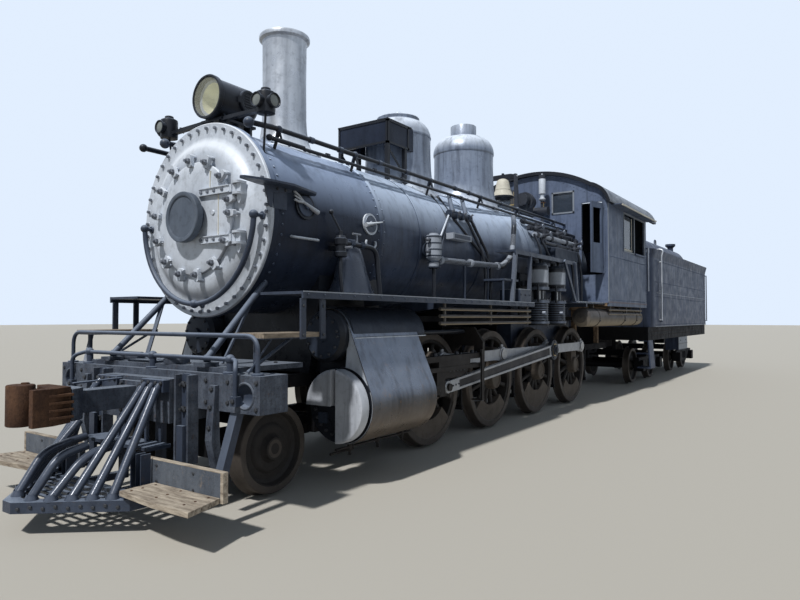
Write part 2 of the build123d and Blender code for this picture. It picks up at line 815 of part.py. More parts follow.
# Bell: the yoke swings on two trunnions across the engine
bell_x = main_x - 460
bell_mouth_z = rail_z + 3720
bell_height = 350
bell_mouth_radius = 190
bell_pivot_z = bell_mouth_z + bell_height + 20
bell_post_y = 250
bell_pin_radius = 18
with BuildPart() as bell:
    with BuildSketch(Plane(origin=(bell_x, 0, 0), x_dir=(1, 0, 0), z_dir=(0, -1, 0))) as bell_section:
        with BuildLine():
            Polyline(
                (0, bell_mouth_z + bell_height - 20),
                (0, bell_mouth_z + bell_height),
                (90, bell_mouth_z + bell_height),
            )
            ThreePointArc(
                (90, bell_mouth_z + bell_height),
                (125, bell_mouth_z + bell_height * 0.6),
                (bell_mouth_radius, bell_mouth_z),
            )
            Line((bell_mouth_radius, bell_mouth_z), (bell_mouth_radius - 30, bell_mouth_z))
            ThreePointArc(
                (bell_mouth_radius - 30, bell_mouth_z),
                (105, bell_mouth_z + bell_height * 0.55),
                (75, bell_mouth_z + bell_height - 20),
            )
            Line((75, bell_mouth_z + bell_height - 20), (0, bell_mouth_z + bell_height - 20))
        make_face()
    revolve(axis=Axis((bell_x, 0, 0), (0, 0, 1)))
    round_z(bell_x, 0, (bell_mouth_z + bell_height - 30, bell_pivot_z + 10), 40)
    round_z(bell_x, 0, (bell_mouth_z + 60, bell_mouth_z + bell_height - 10), 10)
    with Locations((bell_x, 0, bell_mouth_z + 50)):
        Sphere(32)
    block((bell_x - 22, bell_x + 22), (-bell_post_y + 25, bell_post_y - 25), (bell_pivot_z - 22, bell_pivot_z + 22))
    round_y(bell_x, (-bell_post_y - 30, bell_post_y + 30), bell_pivot_z, bell_pin_radius)
bell.part.label = "bell"
export_step(bell.part, "parts/bell.step")

# Steam fittings ahead of the cab: bell posts, dynamo, whistle, safety valves and turret
with BuildPart() as steam_fittings:
    for side in (1, -1):
        slab_x(
            [
                (side * (bell_post_y - 20), bell_pivot_z + 40),
                (side * (bell_post_y - 20), boiler_z + firebox_radius - 60),
                (side * (bell_post_y + 60), boiler_z + firebox_radius - 60),
                (side * (bell_post_y + 20), bell_pivot_z + 40),
            ],
            (bell_x - 35, bell_x + 35),
        )
        round_y(
            bell_x,
            (side * (bell_post_y - 40), side * (bell_post_y + 40)),
            bell_pivot_z,
            bell_pin_radius + bore_gap,
            mode=Mode.SUBTRACT,
        )
    dynamo_x = main_x - 1080
    dynamo_z = rail_z + 3740
    round_x((dynamo_x - 210, dynamo_x + 210), 170, dynamo_z, 120)
    round_x((dynamo_x - 60, dynamo_x + 60), 170, dynamo_z, 160)
    block((dynamo_x - 150, dynamo_x + 150), (90, 250), (boiler_z + 820, dynamo_z))
    for valve_x, valve_y, valve_top_z, valve_radius in (
        (main_x - 1560, 300, rail_z + 4300, 62),
        (main_x - 1350, -180, rail_z + 4020, 78),
        (main_x - 1640, -230, rail_z + 3980, 78),
    ):
        round_z(valve_x, valve_y, (boiler_z + 800, valve_top_z - 330), valve_radius * 0.5)
        round_z(valve_x, valve_y, (valve_top_z - 340, valve_top_z), valve_radius)
    round_y(main_x - 1560, (-420, 420), rail_z + 3600, 85)
    block((main_x - 1640, main_x - 1480), (-60, 60), (boiler_z + 820, rail_z + 3600))
    clear_boiler()
steam_fittings.part.label = "steam_fittings"
export_step(steam_fittings.part, "parts/steam_fittings.step")

# Boiler pipes and handrails of each side, with their brackets
rail_y = 620
rail_height_z = rail_z + 3350
feed_y = 985
with BuildPart() as boiler_pipes:
    for side in (1, -1):
        rod((main_x + 5780, side * rail_y, rail_height_z), (cab_front_x + face_gap, side * rail_y, rail_height_z), 24)
        rod(
            (main_x + 5400, side * (rail_y + 40), rail_height_z - 130),
            (cab_front_x + face_gap, side * (rail_y + 40), rail_height_z - 110),
            18,
        )
        for bracket_x, skin in (
            (main_x + 5700, smokebox_radius),
            (main_x + 4550, smokebox_radius),
            (main_x + 3000, course_table[1][1]),
            (main_x + 1600, course_table[1][1] + 10),
            (main_x + 300, firebox_radius),
            (main_x - 1300, firebox_radius),
        ):
            foot = boiler_top(rail_y - 70, skin) - 30
            rod((bracket_x, side * (rail_y - 70), foot), (bracket_x, side * (rail_y + 8), rail_height_z), 16)
            rod((bracket_x, side * rail_y, rail_height_z), (bracket_x, side * (rail_y + 42), rail_height_z - 125), 12)
        pipe(
            [
                (main_x + 3450, side * feed_y, rail_z + 2260),
                (main_x + 1640, side * feed_y, rail_z + 2300),
                (main_x + 1300, side * feed_y, rail_z + 2480),
                (main_x + 1180, side * (feed_y - 20), rail_z + 2950),
                (main_x + 900, side * (feed_y - 160), rail_z + 3120),
            ],
            38,
            110,
        )
        turned_z(
            [
                (0, rail_z + 2150),
                (58, rail_z + 2150),
                (58, rail_z + 2260),
                (90, rail_z + 2280),
                (90, rail_z + 2540),
                (0, rail_z + 2540),
            ],
            main_x + 3500,
            side * feed_y,
        )
        round_z(main_x + 3500, side * feed_y, (walkway_z + face_gap, rail_z + 2150), 22)
        for sand_x, foot_x, sand_radius in ((main_x + 2870, main_x + 3350, 16), (main_x + 2700, main_x + 1960, 22)):
            pipe(
                [
                    (sand_x, side * 545, boiler_top(545, sand_skin) + 20),
                    (sand_x, side * 800, boiler_top(800, sand_skin) + 20),
                    (foot_x, side * (feed_y - 15), rail_z + 2290),
                ],
                sand_radius,
                60,
            )
    clear_boiler()
boiler_pipes.part.label = "boiler_pipes"
export_step(boiler_pipes.part, "parts/boiler_pipes.step")

# Walkways: running boards, the raised shelf over the pumps with its legs and step, and brackets
walkway_inner_y = 900
# Brackets: station, distance of the root from the middle, depth at the root
bracket_table = [
    (main_x + 4600, chest_web_y + 60, 100),
    (main_x + 3350, 400, 160),
    (main_x + 2050, 400, 160),
]
with BuildPart() as walkways:
    for side in (1, -1):
        inner = side * walkway_inner_y
        outer = side * walkway_outer_y
        block((walkway_rear_x, walkway_front_x), (inner, outer), (walkway_z - 24, walkway_z))
        block(
            (walkway_rear_x, walkway_front_x),
            (outer - side * 20, outer),
            (walkway_z - walkway_thickness, walkway_z),
        )
        block((shelf_rear_x, shelf_front_x), (inner + side * 130, outer - side * 60), (shelf_z - 30, shelf_z))
        block((shelf_rear_x, shelf_front_x), (outer - side * 80, outer - side * 60), (shelf_z - 60, shelf_z))
        for top_x, foot_x in ((shelf_front_x - 60, walkway_rear_x + 620), (shelf_front_x - 560, walkway_rear_x + 60)):
            bar(
                (top_x, outer - side * 90, shelf_z - 25),
                (foot_x, outer - side * 60, walkway_z - 4),
                50,
                70,
            )
        block((shelf_front_x - 100, shelf_front_x + 330), (inner + side * 120, outer - side * 70), (rail_z + 2060, rail_z + 2085))
        rod(
            (shelf_front_x + 310, outer - side * 100, rail_z + 2070),
            (shelf_front_x + 310, outer - side * 100, walkway_z - 4),
            14,
        )
        block((walkway_rear_x + 80, walkway_rear_x + 420), (inner + side * 160, outer - side * 30), (walkway_z - 10, walkway_z + 170))
        for bracket_x, root_y, drop in bracket_table:
            slab_x(
                [
                    (side * root_y, walkway_z - 20),
                    (outer - side * 30, walkway_z - 20),
                    (outer - side * 30, walkway_z - 60),
                    (side * root_y, walkway_z - drop),
                ],
                (bracket_x - 15, bracket_x + 15),
            )
        block((cab_front_x + 6, apron_front_x), (inner, outer - side * 20), (cab_floor_z - 30, cab_floor_z))
        block((apron_front_x - 600, apron_front_x - 540), (inner - side * 60, outer - side * 40), (cab_floor_z - 90, cab_floor_z - 25))
        for leg_x, lean in ((main_x + 120, 0), (main_x - 380, -120)):
            bar(
                (leg_x, outer - side * 48, shelf_z - 20),
                (apron_front_x - 30 + lean, outer - side * 48, cab_floor_z - 5),
                28,
                60,
            )
    clear_boiler()
walkways.part.label = "walkways"
export_step(walkways.part, "parts/walkways.step")

# Two air pumps on the left side, steam cylinder over air cylinder, hung on the shelf's side plate
pump_y = 1190
pump_table = [main_x + 810, main_x + 90]
pump_bottom_z = rail_z + 1450
with BuildPart() as air_pumps:
    for pump_x in pump_table:
        turned_z(
            [
                (0, pump_bottom_z),
                (150, pump_bottom_z),
                (158, pump_bottom_z + 25),
                (158, pump_bottom_z + 55),
                (140, pump_bottom_z + 60),
                (140, pump_bottom_z + 330),
                (158, pump_bottom_z + 335),
                (158, pump_bottom_z + 375),
                (75, pump_bottom_z + 385),
                (75, pump_bottom_z + 520),
                (158, pump_bottom_z + 535),
                (158, pump_bottom_z + 575),
                (150, pump_bottom_z + 580),
                (150, pump_bottom_z + 900),
                (120, pump_bottom_z + 940),
                (0, pump_bottom_z + 940),
            ],
            pump_x,
            pump_y,
        )
        round_z(pump_x + 60, pump_y - 20, (pump_bottom_z + 930, pump_bottom_z + 985), 45)
        block(
            (pump_x - 90, pump_x + 90),
            (walkway_inner_y + 42, pump_y),
            (pump_bottom_z + 600, pump_bottom_z + 680),
        )
        block(
            (pump_x - 90, pump_x + 90),
            (walkway_inner_y + 42, pump_y),
            (pump_bottom_z + 180, pump_bottom_z + 260),
        )
    block(
        (pump_table[1] - 160, pump_table[0] + 160),
        (walkway_inner_y + 20, walkway_inner_y + 50),
        (pump_bottom_z + 120, pump_bottom_z + 800),
    )
    for hanger_x in (pump_table[1] - 130, pump_table[0] + 130):
        block((hanger_x - 30, hanger_x + 30), (580, walkway_inner_y + 30), (pump_bottom_z + 500, pump_bottom_z + 560))
    clear_boiler()
    block(
        (boiler_rear_x, firebox_front_x + face_gap),
        (0, firebox_half_width + face_gap),
        (rail_z + 1000, boiler_z),
        mode=Mode.SUBTRACT,
    )
air_pumps.part.label = "air_pumps"
export_step(air_pumps.part, "parts/air_pumps.step")

# Air reservoirs under the cab and the cooling pipes beside and ahead of them
reservoir_y = 1250
reservoir_z = rail_z + 1570
reservoir_radius = 165
reservoir_front_x = main_x - 950
reservoir_rear_x = main_x - 4450
apron_bottom_z = cab_floor_z - 30
floor_bottom_z = cab_floor_z - floor_thickness
# Straps round each reservoir: station, height they hang from
strap_table = [
    (main_x - 1500, apron_bottom_z - face_gap),
    (main_x - 3100, floor_bottom_z - face_gap),
    (main_x - 4000, floor_bottom_z - face_gap),
]
# Cooling pipe runs: front and rear ends, distance from the middle, top pipe, number, height they hang from
cooling_table = [
    (main_x + 3950, main_x + 1480, 1340, rail_z + 1660, 3, walkway_z - 24),
    (main_x - 2000, main_x - 4350, 1410, rail_z + 1715, 2, floor_bottom_z),
]
with BuildPart() as air_reservoirs:
    for side in (1, -1):
        turned_x(
            [
                (reservoir_rear_x - 45, 0),
                (reservoir_rear_x - 35, reservoir_radius * 0.6),
                (reservoir_rear_x, reservoir_radius),
                (reservoir_front_x, reservoir_radius),
                (reservoir_front_x + 35, reservoir_radius * 0.6),
                (reservoir_front_x + 45, 0),
            ],
            side * reservoir_y,
            reservoir_z,
        )
        for strap_x, strap_top_z in strap_table:
            turned_x(
                [
                    (strap_x - 20, reservoir_radius - 5),
                    (strap_x - 20, reservoir_radius + 10),
                    (strap_x + 20, reservoir_radius + 10),
                    (strap_x + 20, reservoir_radius - 5),
                ],
                side * reservoir_y,
                reservoir_z,
            )
            block(
                (strap_x - 20, strap_x + 20),
                (side * (reservoir_y - 40), side * (reservoir_y + 40)),
                (reservoir_z + reservoir_radius - 5, strap_top_z),
            )
        for first_x, last_x, pipe_y, top_pipe_z, pipe_count, hang_from_z in cooling_table:
            for level in range(pipe_count):
                pipe_z = top_pipe_z - 80 * level
                rod((last_x, side * pipe_y, pipe_z), (first_x, side * pipe_y, pipe_z), 19)
            for hanger_x in (first_x - 100, (first_x + last_x) / 2, last_x + 100):
                bar(
                    (hanger_x, side * pipe_y, top_pipe_z - 80 * pipe_count + 50),
                    (hanger_x, side * pipe_y, hang_from_z - face_gap),
                    24,
                    30,
                )
air_reservoirs.part.label = "air_reservoirs"
export_step(air_reservoirs.part, "parts/air_reservoirs.step")


def cab_arch(inset):
    """The cab's cross-section as a face: straight sides, rounded shoulders and a flat arch."""
    half = roof_half_width - inset
    shoulder = roof_shoulder_y - inset * 0.5
    with BuildSketch(Plane.YZ) as arch:
        with BuildLine():
            Line((-half, eave_z), (-half, cab_floor_z))
            Line((-half, cab_floor_z), (half, cab_floor_z))
            Line((half, cab_floor_z), (half, eave_z))
            ThreePointArc(
                (half, eave_z),
                ((half + shoulder) / 2 + 55, (eave_z + roof_shoulder_z) / 2 + 45 - inset * 0.6),
                (shoulder, roof_shoulder_z - inset),
            )
            ThreePointArc(
                (shoulder, roof_shoulder_z - inset),
                (0, roof_crown_z - inset),
                (-shoulder, roof_shoulder_z - inset),
            )
            ThreePointArc(
                (-shoulder, roof_shoulder_z - inset),
                (-(half + shoulder) / 2 - 55, (eave_z + roof_shoulder_z) / 2 + 45 - inset * 0.6),
                (-half, eave_z),
            )
        make_face()
    return arch.sketch


# Cab floor
with BuildPart() as cab_floor:
    block(
        (cab_rear_x, cab_front_x),
        (-cab_half_width + cab_wall + face_gap, cab_half_width - cab_wall - face_gap),
        (cab_floor_z - floor_thickness, cab_floor_z),
    )
    for side in (1, -1):
        block(
            (cab_rear_x + 300, cab_front_x - 300),
            (side * (frame_y - 20), side * (frame_y + 80)),
            (cab_floor_z - floor_thickness - 60, cab_floor_z - floor_thickness + 5),
        )
        block(
            (cab_rear_x + 700, cab_rear_x + 800),
            (side * (frame_y - 40), side * (frame_y + 40)),
            (frame_top_z + face_gap, cab_floor_z - 20),
        )
        block(
            (cab_front_x - 700, cab_front_x - 600),
            (side * (frame_y - 40), side * (frame_y + 40)),
            (frame_top_z + face_gap, cab_floor_z - 20),
        )
    round_x((boiler_rear_x - 41, cab_front_x + 10), 0, boiler_z, firebox_radius + face_gap, mode=Mode.SUBTRACT)
    block(
        (boiler_rear_x, cab_front_x + 10),
        (-firebox_half_width - face_gap, firebox_half_width + face_gap),
        (frame_top_z, boiler_z),
        mode=Mode.SUBTRACT,
    )
cab_floor.part.label = "cab_floor"
export_step(cab_floor.part, "parts/cab_floor.step")

# Cab front: wall cut round the firebox, with a window and a doorway on each side
window_inner_y = 390
window_outer_y = 795
window_bottom_z = rail_z + 3590
window_top_z = rail_z + 3980
with BuildPart() as cab_front:
    front_arch = cab_arch(roof_half_width - cab_half_width)
    extrude(front_arch.moved(Location((cab_front_x - cab_wall, 0, 0))), amount=cab_wall)
    block(
        (cab_front_x - 50, cab_front_x + 50),
        (-2000, 2000),
        (cab_floor_z - 200, cab_floor_z + face_gap),
        mode=Mode.SUBTRACT,
    )
    round_x((cab_front_x - 50, cab_front_x + 50), 0, boiler_z, firebox_radius + face_gap, mode=Mode.SUBTRACT)
    block(
        (cab_front_x - 50, cab_front_x + 50),
        (-firebox_half_width - face_gap, firebox_half_width + face_gap),
        (cab_floor_z - 100, boiler_z),
        mode=Mode.SUBTRACT,
    )
    for side in (1, -1):
        block(
            (cab_front_x - 50, cab_front_x + 50),
            (side * window_inner_y, side * window_outer_y),
            (window_bottom_z, window_top_z),
            mode=Mode.SUBTRACT,
        )
        block(
            (cab_front_x - 50, cab_front_x + 50),
            (side * door_inner_y, side * door_outer_y),
            (door_sill_z, door_head_z),
            mode=Mode.SUBTRACT,
        )
        round_z(cab_front_x + 22, side * (door_outer_y + 18), (door_sill_z + 20, door_head_z - 60), 9)
        for lug_z in (door_sill_z + 60, door_head_z - 90):
            block(
                (cab_front_x - 4, cab_front_x + 24),
                (side * (door_outer_y + 14), side * (door_outer_y + 40)),
                (lug_z - 40, lug_z + 10),
            )
cab_front.part.label = "cab_front"
export_step(cab_front.part, "parts/cab_front.step")

# Cab sides: windows and the rounded gangway edge
side_window_front_x = main_x - 2920
side_window_rear_x = main_x - 4480
side_window_bottom_z = rail_z + 2900
side_window_top_z = rail_z + 3640
with BuildPart() as cab_sides:
    for side in (1, -1):
        block(
            (cab_rear_x, cab_front_x - cab_wall - face_gap),
            (side * (cab_half_width - cab_wall), side * cab_half_width),
            (cab_floor_z - floor_thickness, eave_z),
        )
        block(
            (side_window_rear_x, side_window_front_x),
            (side * (cab_half_width - 100), side * (cab_half_width + 20)),
            (side_window_bottom_z, side_window_top_z),
            mode=Mode.SUBTRACT,
        )
        block(
            (side_window_front_x - 780, side_window_front_x - 740),
            (side * (cab_half_width - cab_wall), side * cab_half_width),
            (side_window_bottom_z - 10, side_window_top_z + 10),
        )
        block(
            (side_window_rear_x, side_window_front_x - 760),
            (side * (cab_half_width - 60), side * (cab_half_width + 40)),
            (side_window_bottom_z - 30, side_window_bottom_z),
        )
        bar(
            (roof_front_x - 300, side * (cab_half_width + 90), eave_z - 40),
            (cab_rear_x - 120, side * (cab_half_width + 90), eave_z - 40),
            200,
            14,
        )
        rod(
            (cab_rear_x + 12, side * (cab_half_width + 45), rail_z + 2150),
            (cab_rear_x + 12, side * (cab_half_width + 45), rail_z + 3100),
            14,
        )
        for end_z in (rail_z + 2160, rail_z + 3090):
            rod(
                (cab_rear_x + 12, side * (cab_half_width - 10), end_z),
                (cab_rear_x + 12, side * (cab_half_width + 45), end_z),
                12,
            )
cab_sides.part.label = "cab_sides"
export_step(cab_sides.part, "parts/cab_sides.step")

# Cab roof: arched sheet with rounded shoulders and a sliding hatch
with BuildPart() as cab_roof:
    extrude(cab_arch(0).moved(Location((roof_rear_x, 0, 0))), amount=roof_front_x - roof_rear_x)
    extrude(
        cab_arch(roof_thickness).moved(Location((roof_rear_x - 10, 0, 0))),
        amount=roof_front_x - roof_rear_x + 20,
        mode=Mode.SUBTRACT,
    )
    block(
        (roof_rear_x - 10, roof_front_x + 10),
        (-2000, 2000),
        (cab_floor_z - 10, eave_z - 30),
        mode=Mode.SUBTRACT,
    )
    block((main_x - 4100, main_x - 2900), (-420, 420), (roof_crown_z - 60, roof_crown_z + 45))
cab_roof.part.label = "cab_roof"
export_step(cab_roof.part, "parts/cab_roof.step")

# Cab front doors, standing open
leaf_width = door_outer_y - door_inner_y - 20
for side, leaf_name in ((1, "cab_door_left"), (-1, "cab_door_right")):
    pin_x = cab_front_x + 22
    pin_y = side * (door_outer_y + 18)
    swing = math.radians(leaf_open_angle)
    along = Vector(math.sin(swing), -side * math.cos(swing), 0)
    leaf_plane = Plane(origin=(pin_x, pin_y, 0), x_dir=along, z_dir=(0, 0, 1))
    leaf_bottom_z = door_sill_z + 25
    leaf_height = door_head_z - door_sill_z - 70
    with BuildPart() as leaf:
        with BuildSketch(leaf_plane.offset(leaf_bottom_z)) as leaf_plan:
            with Locations((leaf_width / 2 + 16, 0)):
                Rectangle(leaf_width, leaf_thickness)
        extrude(amount=leaf_height)
        with BuildSketch(leaf_plane.offset(leaf_bottom_z + leaf_height * 0.42)) as glass_cut:
            with Locations((leaf_width / 2 + 16, 0)):
                Rectangle(leaf_width - 110, leaf_thickness + 20)
        extrude(amount=leaf_height * 0.5, mode=Mode.SUBTRACT)
        for knuckle_z in (leaf_bottom_z + 140, leaf_bottom_z + leaf_height - 190):
            round_z(pin_x, pin_y, (knuckle_z, knuckle_z + 90), 17)
        round_z(pin_x, pin_y, (leaf_bottom_z - 100, leaf_bottom_z + leaf_height + 200), 9 + bore_gap, mode=Mode.SUBTRACT)
    leaf.part.label = leaf_name
    export_step(leaf.part, "parts/" + leaf_name + ".step")

# Pilot beam and the front deck over the frame
deck_top_z = frame_top_z + 90
with BuildPart() as pilot_beam:
    block(
        (beam_front_x - beam_depth, beam_front_x),
        (-beam_half_width, beam_half_width),
        (beam_bottom_z, beam_top_z),
    )
    for side in (1, -1):
        round_x((beam_front_x - 60, beam_front_x + 20), side * 1255, beam_bottom_z + 135, 88, mode=Mode.SUBTRACT)
        block(
            (beam_front_x - beam_depth - 2, frame_front_x + 2),
            (side * (frame_y - frame_width / 2 - face_gap), side * (frame_y + frame_width / 2 + face_gap)),
            (frame_top_z - frame_rail - face_gap, frame_top_z + face_gap),
            mode=Mode.SUBTRACT,
        )
        for web_y in (530, 690):
            block(
                (beam_front_x - 5, beam_front_x + 95),
                (side * (web_y - 12), side * (web_y + 12)),
                (rail_z + 390, beam_top_z - 20),
            )
        block(
            (beam_front_x - 5, beam_front_x + 20),
            (side * 530, side * 690),
            (rail_z + 390, beam_top_z - 20),
        )
        slab_y(
            [
                (beam_front_x + 2, beam_bottom_z + 200),
                (beam_front_x + 40, beam_bottom_z + 200),
                (beam_front_x + 70, rail_z + 600),
                (beam_front_x + 20, rail_z + 380),
                (beam_front_x - 40, rail_z + 380),
                (beam_front_x - 10, rail_z + 600),
            ],
            (side * 880, side * 960),
        )
    block(
        (beam_front_x - 260, beam_front_x + 110),
        (-480, 480),
        (rail_z + 700, beam_bottom_z + 230),
    )
    block(
        (beam_front_x - 262, frame_front_x + 2),
        (-frame_y + frame_width / 2 + 40, frame_y - frame_width / 2 - 40),
        (rail_z + 600, frame_top_z + face_gap),
        mode=Mode.SUBTRACT,
    )
    block(
        (beam_front_x - 900, beam_front_x - 60),
        (-1000, 1000),
        (beam_top_z - 2, beam_top_z + 40),
    )
pilot_beam.part.label = "pilot_beam"
export_step(pilot_beam.part, "parts/pilot_beam.step")

# Pilot: pointed base frame, back plate and the sloping tubes, the middle ones cut short under the coupler
tube_radius = 32
pilot_top_x = beam_front_x + 150
pilot_top_z = rail_z + 985
with BuildPart() as pilot:
    tip_x = main_x + front_reach
    slab_z(
        [
            (tip_x, -60),
            (tip_x, 60),
            (pilot_rear_x + 20, pilot_half_width),
            (pilot_rear_x - 120, pilot_half_width + 10),
            (pilot_rear_x - 120, pilot_half_width - 60),
            (pilot_rear_x, pilot_half_width - 70),
            (tip_x - 110, 30),
            (tip_x - 110, -30),
            (pilot_rear_x, -pilot_half_width + 70),
            (pilot_rear_x - 120, -pilot_half_width + 60),
            (pilot_rear_x - 120, -pilot_half_width - 10),
            (pilot_rear_x + 20, -pilot_half_width),
        ],
        (pilot_base_z, pilot_base_z + pilot_rail_height),
    )
    block(
        (pilot_rear_x - 170, pilot_rear_x - 100),
        (-pilot_half_width, pilot_half_width),
        (pilot_base_z, pilot_base_z + pilot_rail_height),
    )
    block((beam_front_x + 20, pilot_rear_x - 110), (-300, -240), (pilot_base_z, pilot_base_z + 60))
    block((beam_front_x + 20, pilot_rear_x - 110), (240, 300), (pilot_base_z, pilot_base_z + 60))
    for side in (1, -1):
        block(
            (beam_front_x + 20, beam_front_x + 60),
            (side * 220, side * 320),
            (pilot_base_z, rail_z + 700 - face_gap),
        )
        block(
            (beam_front_x + 110 + face_gap, pilot_top_x + 20),
            (side * 180, side * 480),
            (pilot_top_z - 30, pilot_top_z + 70),
        )
        for foot_y, top_y in ((560, 430), (430, 330), (300, 220)):
            foot_x = tip_x - 40 + (pilot_rear_x - tip_x) * foot_y / pilot_half_width
            rod(
                (foot_x, side * foot_y, pilot_base_z + pilot_rail_height - 15),
                (pilot_top_x, side * top_y, pilot_top_z + 5),
                tube_radius,
            )
        for foot_y, knee_reach in ((180, 330), (70, 250)):
            foot_x = tip_x - 60 + (pilot_rear_x - tip_x) * foot_y / pilot_half_width
            pipe(
                [
                    (foot_x, side * foot_y, pilot_base_z + pilot_rail_height - 15),
                    (foot_x - knee_reach * 0.75, side * (foot_y + 15), rail_z + 520),
                    (foot_x - knee_reach * 1.6, side * (foot_y + 30), rail_z + 560),
                ],
                tube_radius,
                90,
            )
        block(
            (pilot_top_x - 60, pilot_top_x + 160),
            (side * 30, side * 480),
            (rail_z + 505, rail_z + 535),
        )
        block(
            (pilot_top_x - 30, pilot_top_x - 10),
            (side * 185, side * 225),
            (rail_z + 510, pilot_top_z - 20),
        )
pilot.part.label = "pilot"
export_step(pilot.part, "parts/pilot.step")

# Footboards: a weathered tread and back board each side of the pilot, on iron brackets
with BuildPart() as footboards:
    for side in (1, -1):
        slab_z(
            [
                (beam_front_x + 345, side * 645),
                (beam_front_x + 640, side * 645),
                (beam_front_x + 690, side * 1500),
                (beam_front_x + 345, side * 1400),
            ],
            (rail_z + 262, rail_z + 302),
        )
        block(
            (beam_front_x + 300, beam_front_x + 345),
            (side * 420, side * 1430),
            (rail_z + 262, rail_z + 480),
        )
footboards.part.label = "footboards"
export_step(footboards.part, "parts/footboards.step")

with BuildPart() as footboard_brackets:
    for side in (1, -1):
        block(
            (beam_front_x + 98, beam_front_x + 600),
            (side * 600, side * 680),
            (rail_z + 232, rail_z + 262 - face_gap),
        )
        block(
            (beam_front_x + 98, beam_front_x + 600),
            (side * 1060, side * 1140),
            (rail_z + 232, rail_z + 262 - face_gap),
        )
        block(
            (beam_front_x + 98, beam_front_x + 130),
            (side * 600, side * 680),
            (rail_z + 232, rail_z + 700),
        )
        slab_y(
            [
                (beam_front_x - 30, beam_bottom_z - face_gap),
                (beam_front_x - 100, beam_bottom_z - face_gap),
                (beam_front_x + 98, rail_z + 232),
                (beam_front_x + 168, rail_z + 232),
            ],
            (side * 1060, side * 1140),
        )
footboard_brackets.part.label = "footboard_brackets"
export_step(footboard_brackets.part, "parts/footboard_brackets.step")

# Front steps: a wooden tread each side between the walkway and the beam, on flat posts
tread_z = rail_z + 1440
with BuildPart() as front_steps:
    for side in (1, -1):
        block(
            (main_x + 5860, main_x + 6560),
            (side * 1010, side * 1350),
            (tread_z - 45, tread_z),
        )
        for post_x in (main_x + 5900, main_x + 6140):
            bar(
                (post_x, side * 1370, tread_z - 60),
                (post_x, side * 1370, walkway_z - walkway_thickness - face_gap),
                18,
                60,
            )
            block((post_x - 30, post_x + 30), (side * 1350, side * 1379), (tread_z - 70, tread_z - 45))
        bar((main_x + 6500, side * 1200, tread_z - 47), (main_x + 6500, side * 1200, beam_top_z + face_gap), 60, 18)
        bar((main_x + 5950, side * 1050, tread_z - 47), (main_x + 6450, side * 1050, beam_top_z - 10), 60, 18)
    block(
        (beam_rear_x, beam_front_x),
        (-beam_half_width, beam_half_width),
        (beam_bottom_z, beam_top_z + face_gap),
        mode=Mode.SUBTRACT,
    )
front_steps.part.label = "front_steps"
export_step(front_steps.part, "parts/front_steps.step")

# Front handrails: hoops at the beam's ends, the cross bars, and the braces up to the smokebox
brace_foot_x = beam_front_x - 90
brace_y = 750
with BuildPart() as front_handrails:
    for side in (1, -1):
        pipe(
            [
                (beam_front_x + 26, side * 1180, rail_z + 900),
                (beam_front_x + 40, side * 1180, rail_z + 1330),
                (beam_front_x - 60, side * 1310, rail_z + 1420),
                (beam_front_x - 60, side * 1330, beam_top_z + 5),
            ],
            22,
            60,
        )
        block(
            (beam_front_x + face_gap, beam_front_x + 50),
            (side * 1150, side * 1210),
            (rail_z + 890, rail_z + 960),
        )
        rod(
            (smokebox_front_x - 150, side * brace_y, boiler_z - 540),
            (brace_foot_x, side * (brace_y - 60), beam_top_z + 42),
            38,
        )
        block(
            (brace_foot_x - 60, brace_foot_x + 70),
            (side * (brace_y - 120), side * brace_y),
            (beam_top_z + 40 + face_gap, beam_top_z + 62),
        )
    rod((beam_front_x - 60, -1200, beam_top_z + 110), (beam_front_x - 60, 1200, beam_top_z + 110), 24)
    for post_y in (-1150, 0, 1150):
        round_z(beam_front_x - 60, post_y, (beam_top_z + 5, beam_top_z + 110), 30)
    block(
        (beam_front_x - 900, beam_front_x - 60 + face_gap),
        (-1000, 1000),
        (beam_top_z - 10, beam_top_z + 40 + face_gap),
        mode=Mode.SUBTRACT,
    )
    block(
        (beam_rear_x, beam_front_x),
        (-beam_half_width, beam_half_width),
        (beam_bottom_z, beam_top_z + face_gap),
        mode=Mode.SUBTRACT,
    )
    clear_boiler()
front_handrails.part.label = "front_handrails"
export_step(front_handrails.part, "parts/front_handrails.step")

# Front rail: the pipe round the lower half of the smokebox front, on three studs, and the side steps
front_rail_radius = 800
front_rail_x = smokebox_front_x + 110
with BuildPart() as smokebox_rails:
    with BuildLine() as rail_line:
        CenterArc((0, 0, 0), front_rail_radius, 180, 180)
    rail_route = Plane(origin=(front_rail_x, 0, boiler_z), x_dir=(0, 1, 0), z_dir=(1, 0, 0)) * rail_line.line
    with BuildSketch(Plane(origin=rail_route @ 0, z_dir=rail_route % 0)) as rail_section:
        Circle(24)
    sweep(path=rail_route)
    for angle in (182, 270, 358):
        stud_y = front_rail_radius * math.cos(math.radians(angle))
        stud_z = boiler_z + front_rail_radius * math.sin(math.radians(angle))
        round_x((smokebox_front_x + front_ring_lip + face_gap, front_rail_x + 20), stud_y, stud_z, 20)
    for side in (1, -1):
        slab_z(
            [
                (smokebox_front_x + 400, side * 935),
                (smokebox_front_x + 150, side * 860),
                (smokebox_front_x - 520, side * 840),
                (smokebox_front_x - 560, side * 940),
                (smokebox_front_x - 100, side * 1080),
            ],
            (boiler_z + 222, boiler_z + 240),
        )
        slab_y(
            [
                (smokebox_front_x - 220, boiler_z + 223),
                (smokebox_front_x + 120, boiler_z + 223),
                (smokebox_front_x + 60, boiler_z + 40),
                (smokebox_front_x + 22, boiler_z + 30),
                (smokebox_front_x + 20, boiler_z + 160),
                (smokebox_front_x - 200, boiler_z + 190),
            ],
            (side * 905, side * 925),
        )
    clear_boiler()
smokebox_rails.part.label = "smokebox_rails"
export_step(smokebox_rails.part, "parts/smokebox_rails.step")

# Couplers: shank, head with its guard arm, and the knuckle rusted shut
shank_half = 80


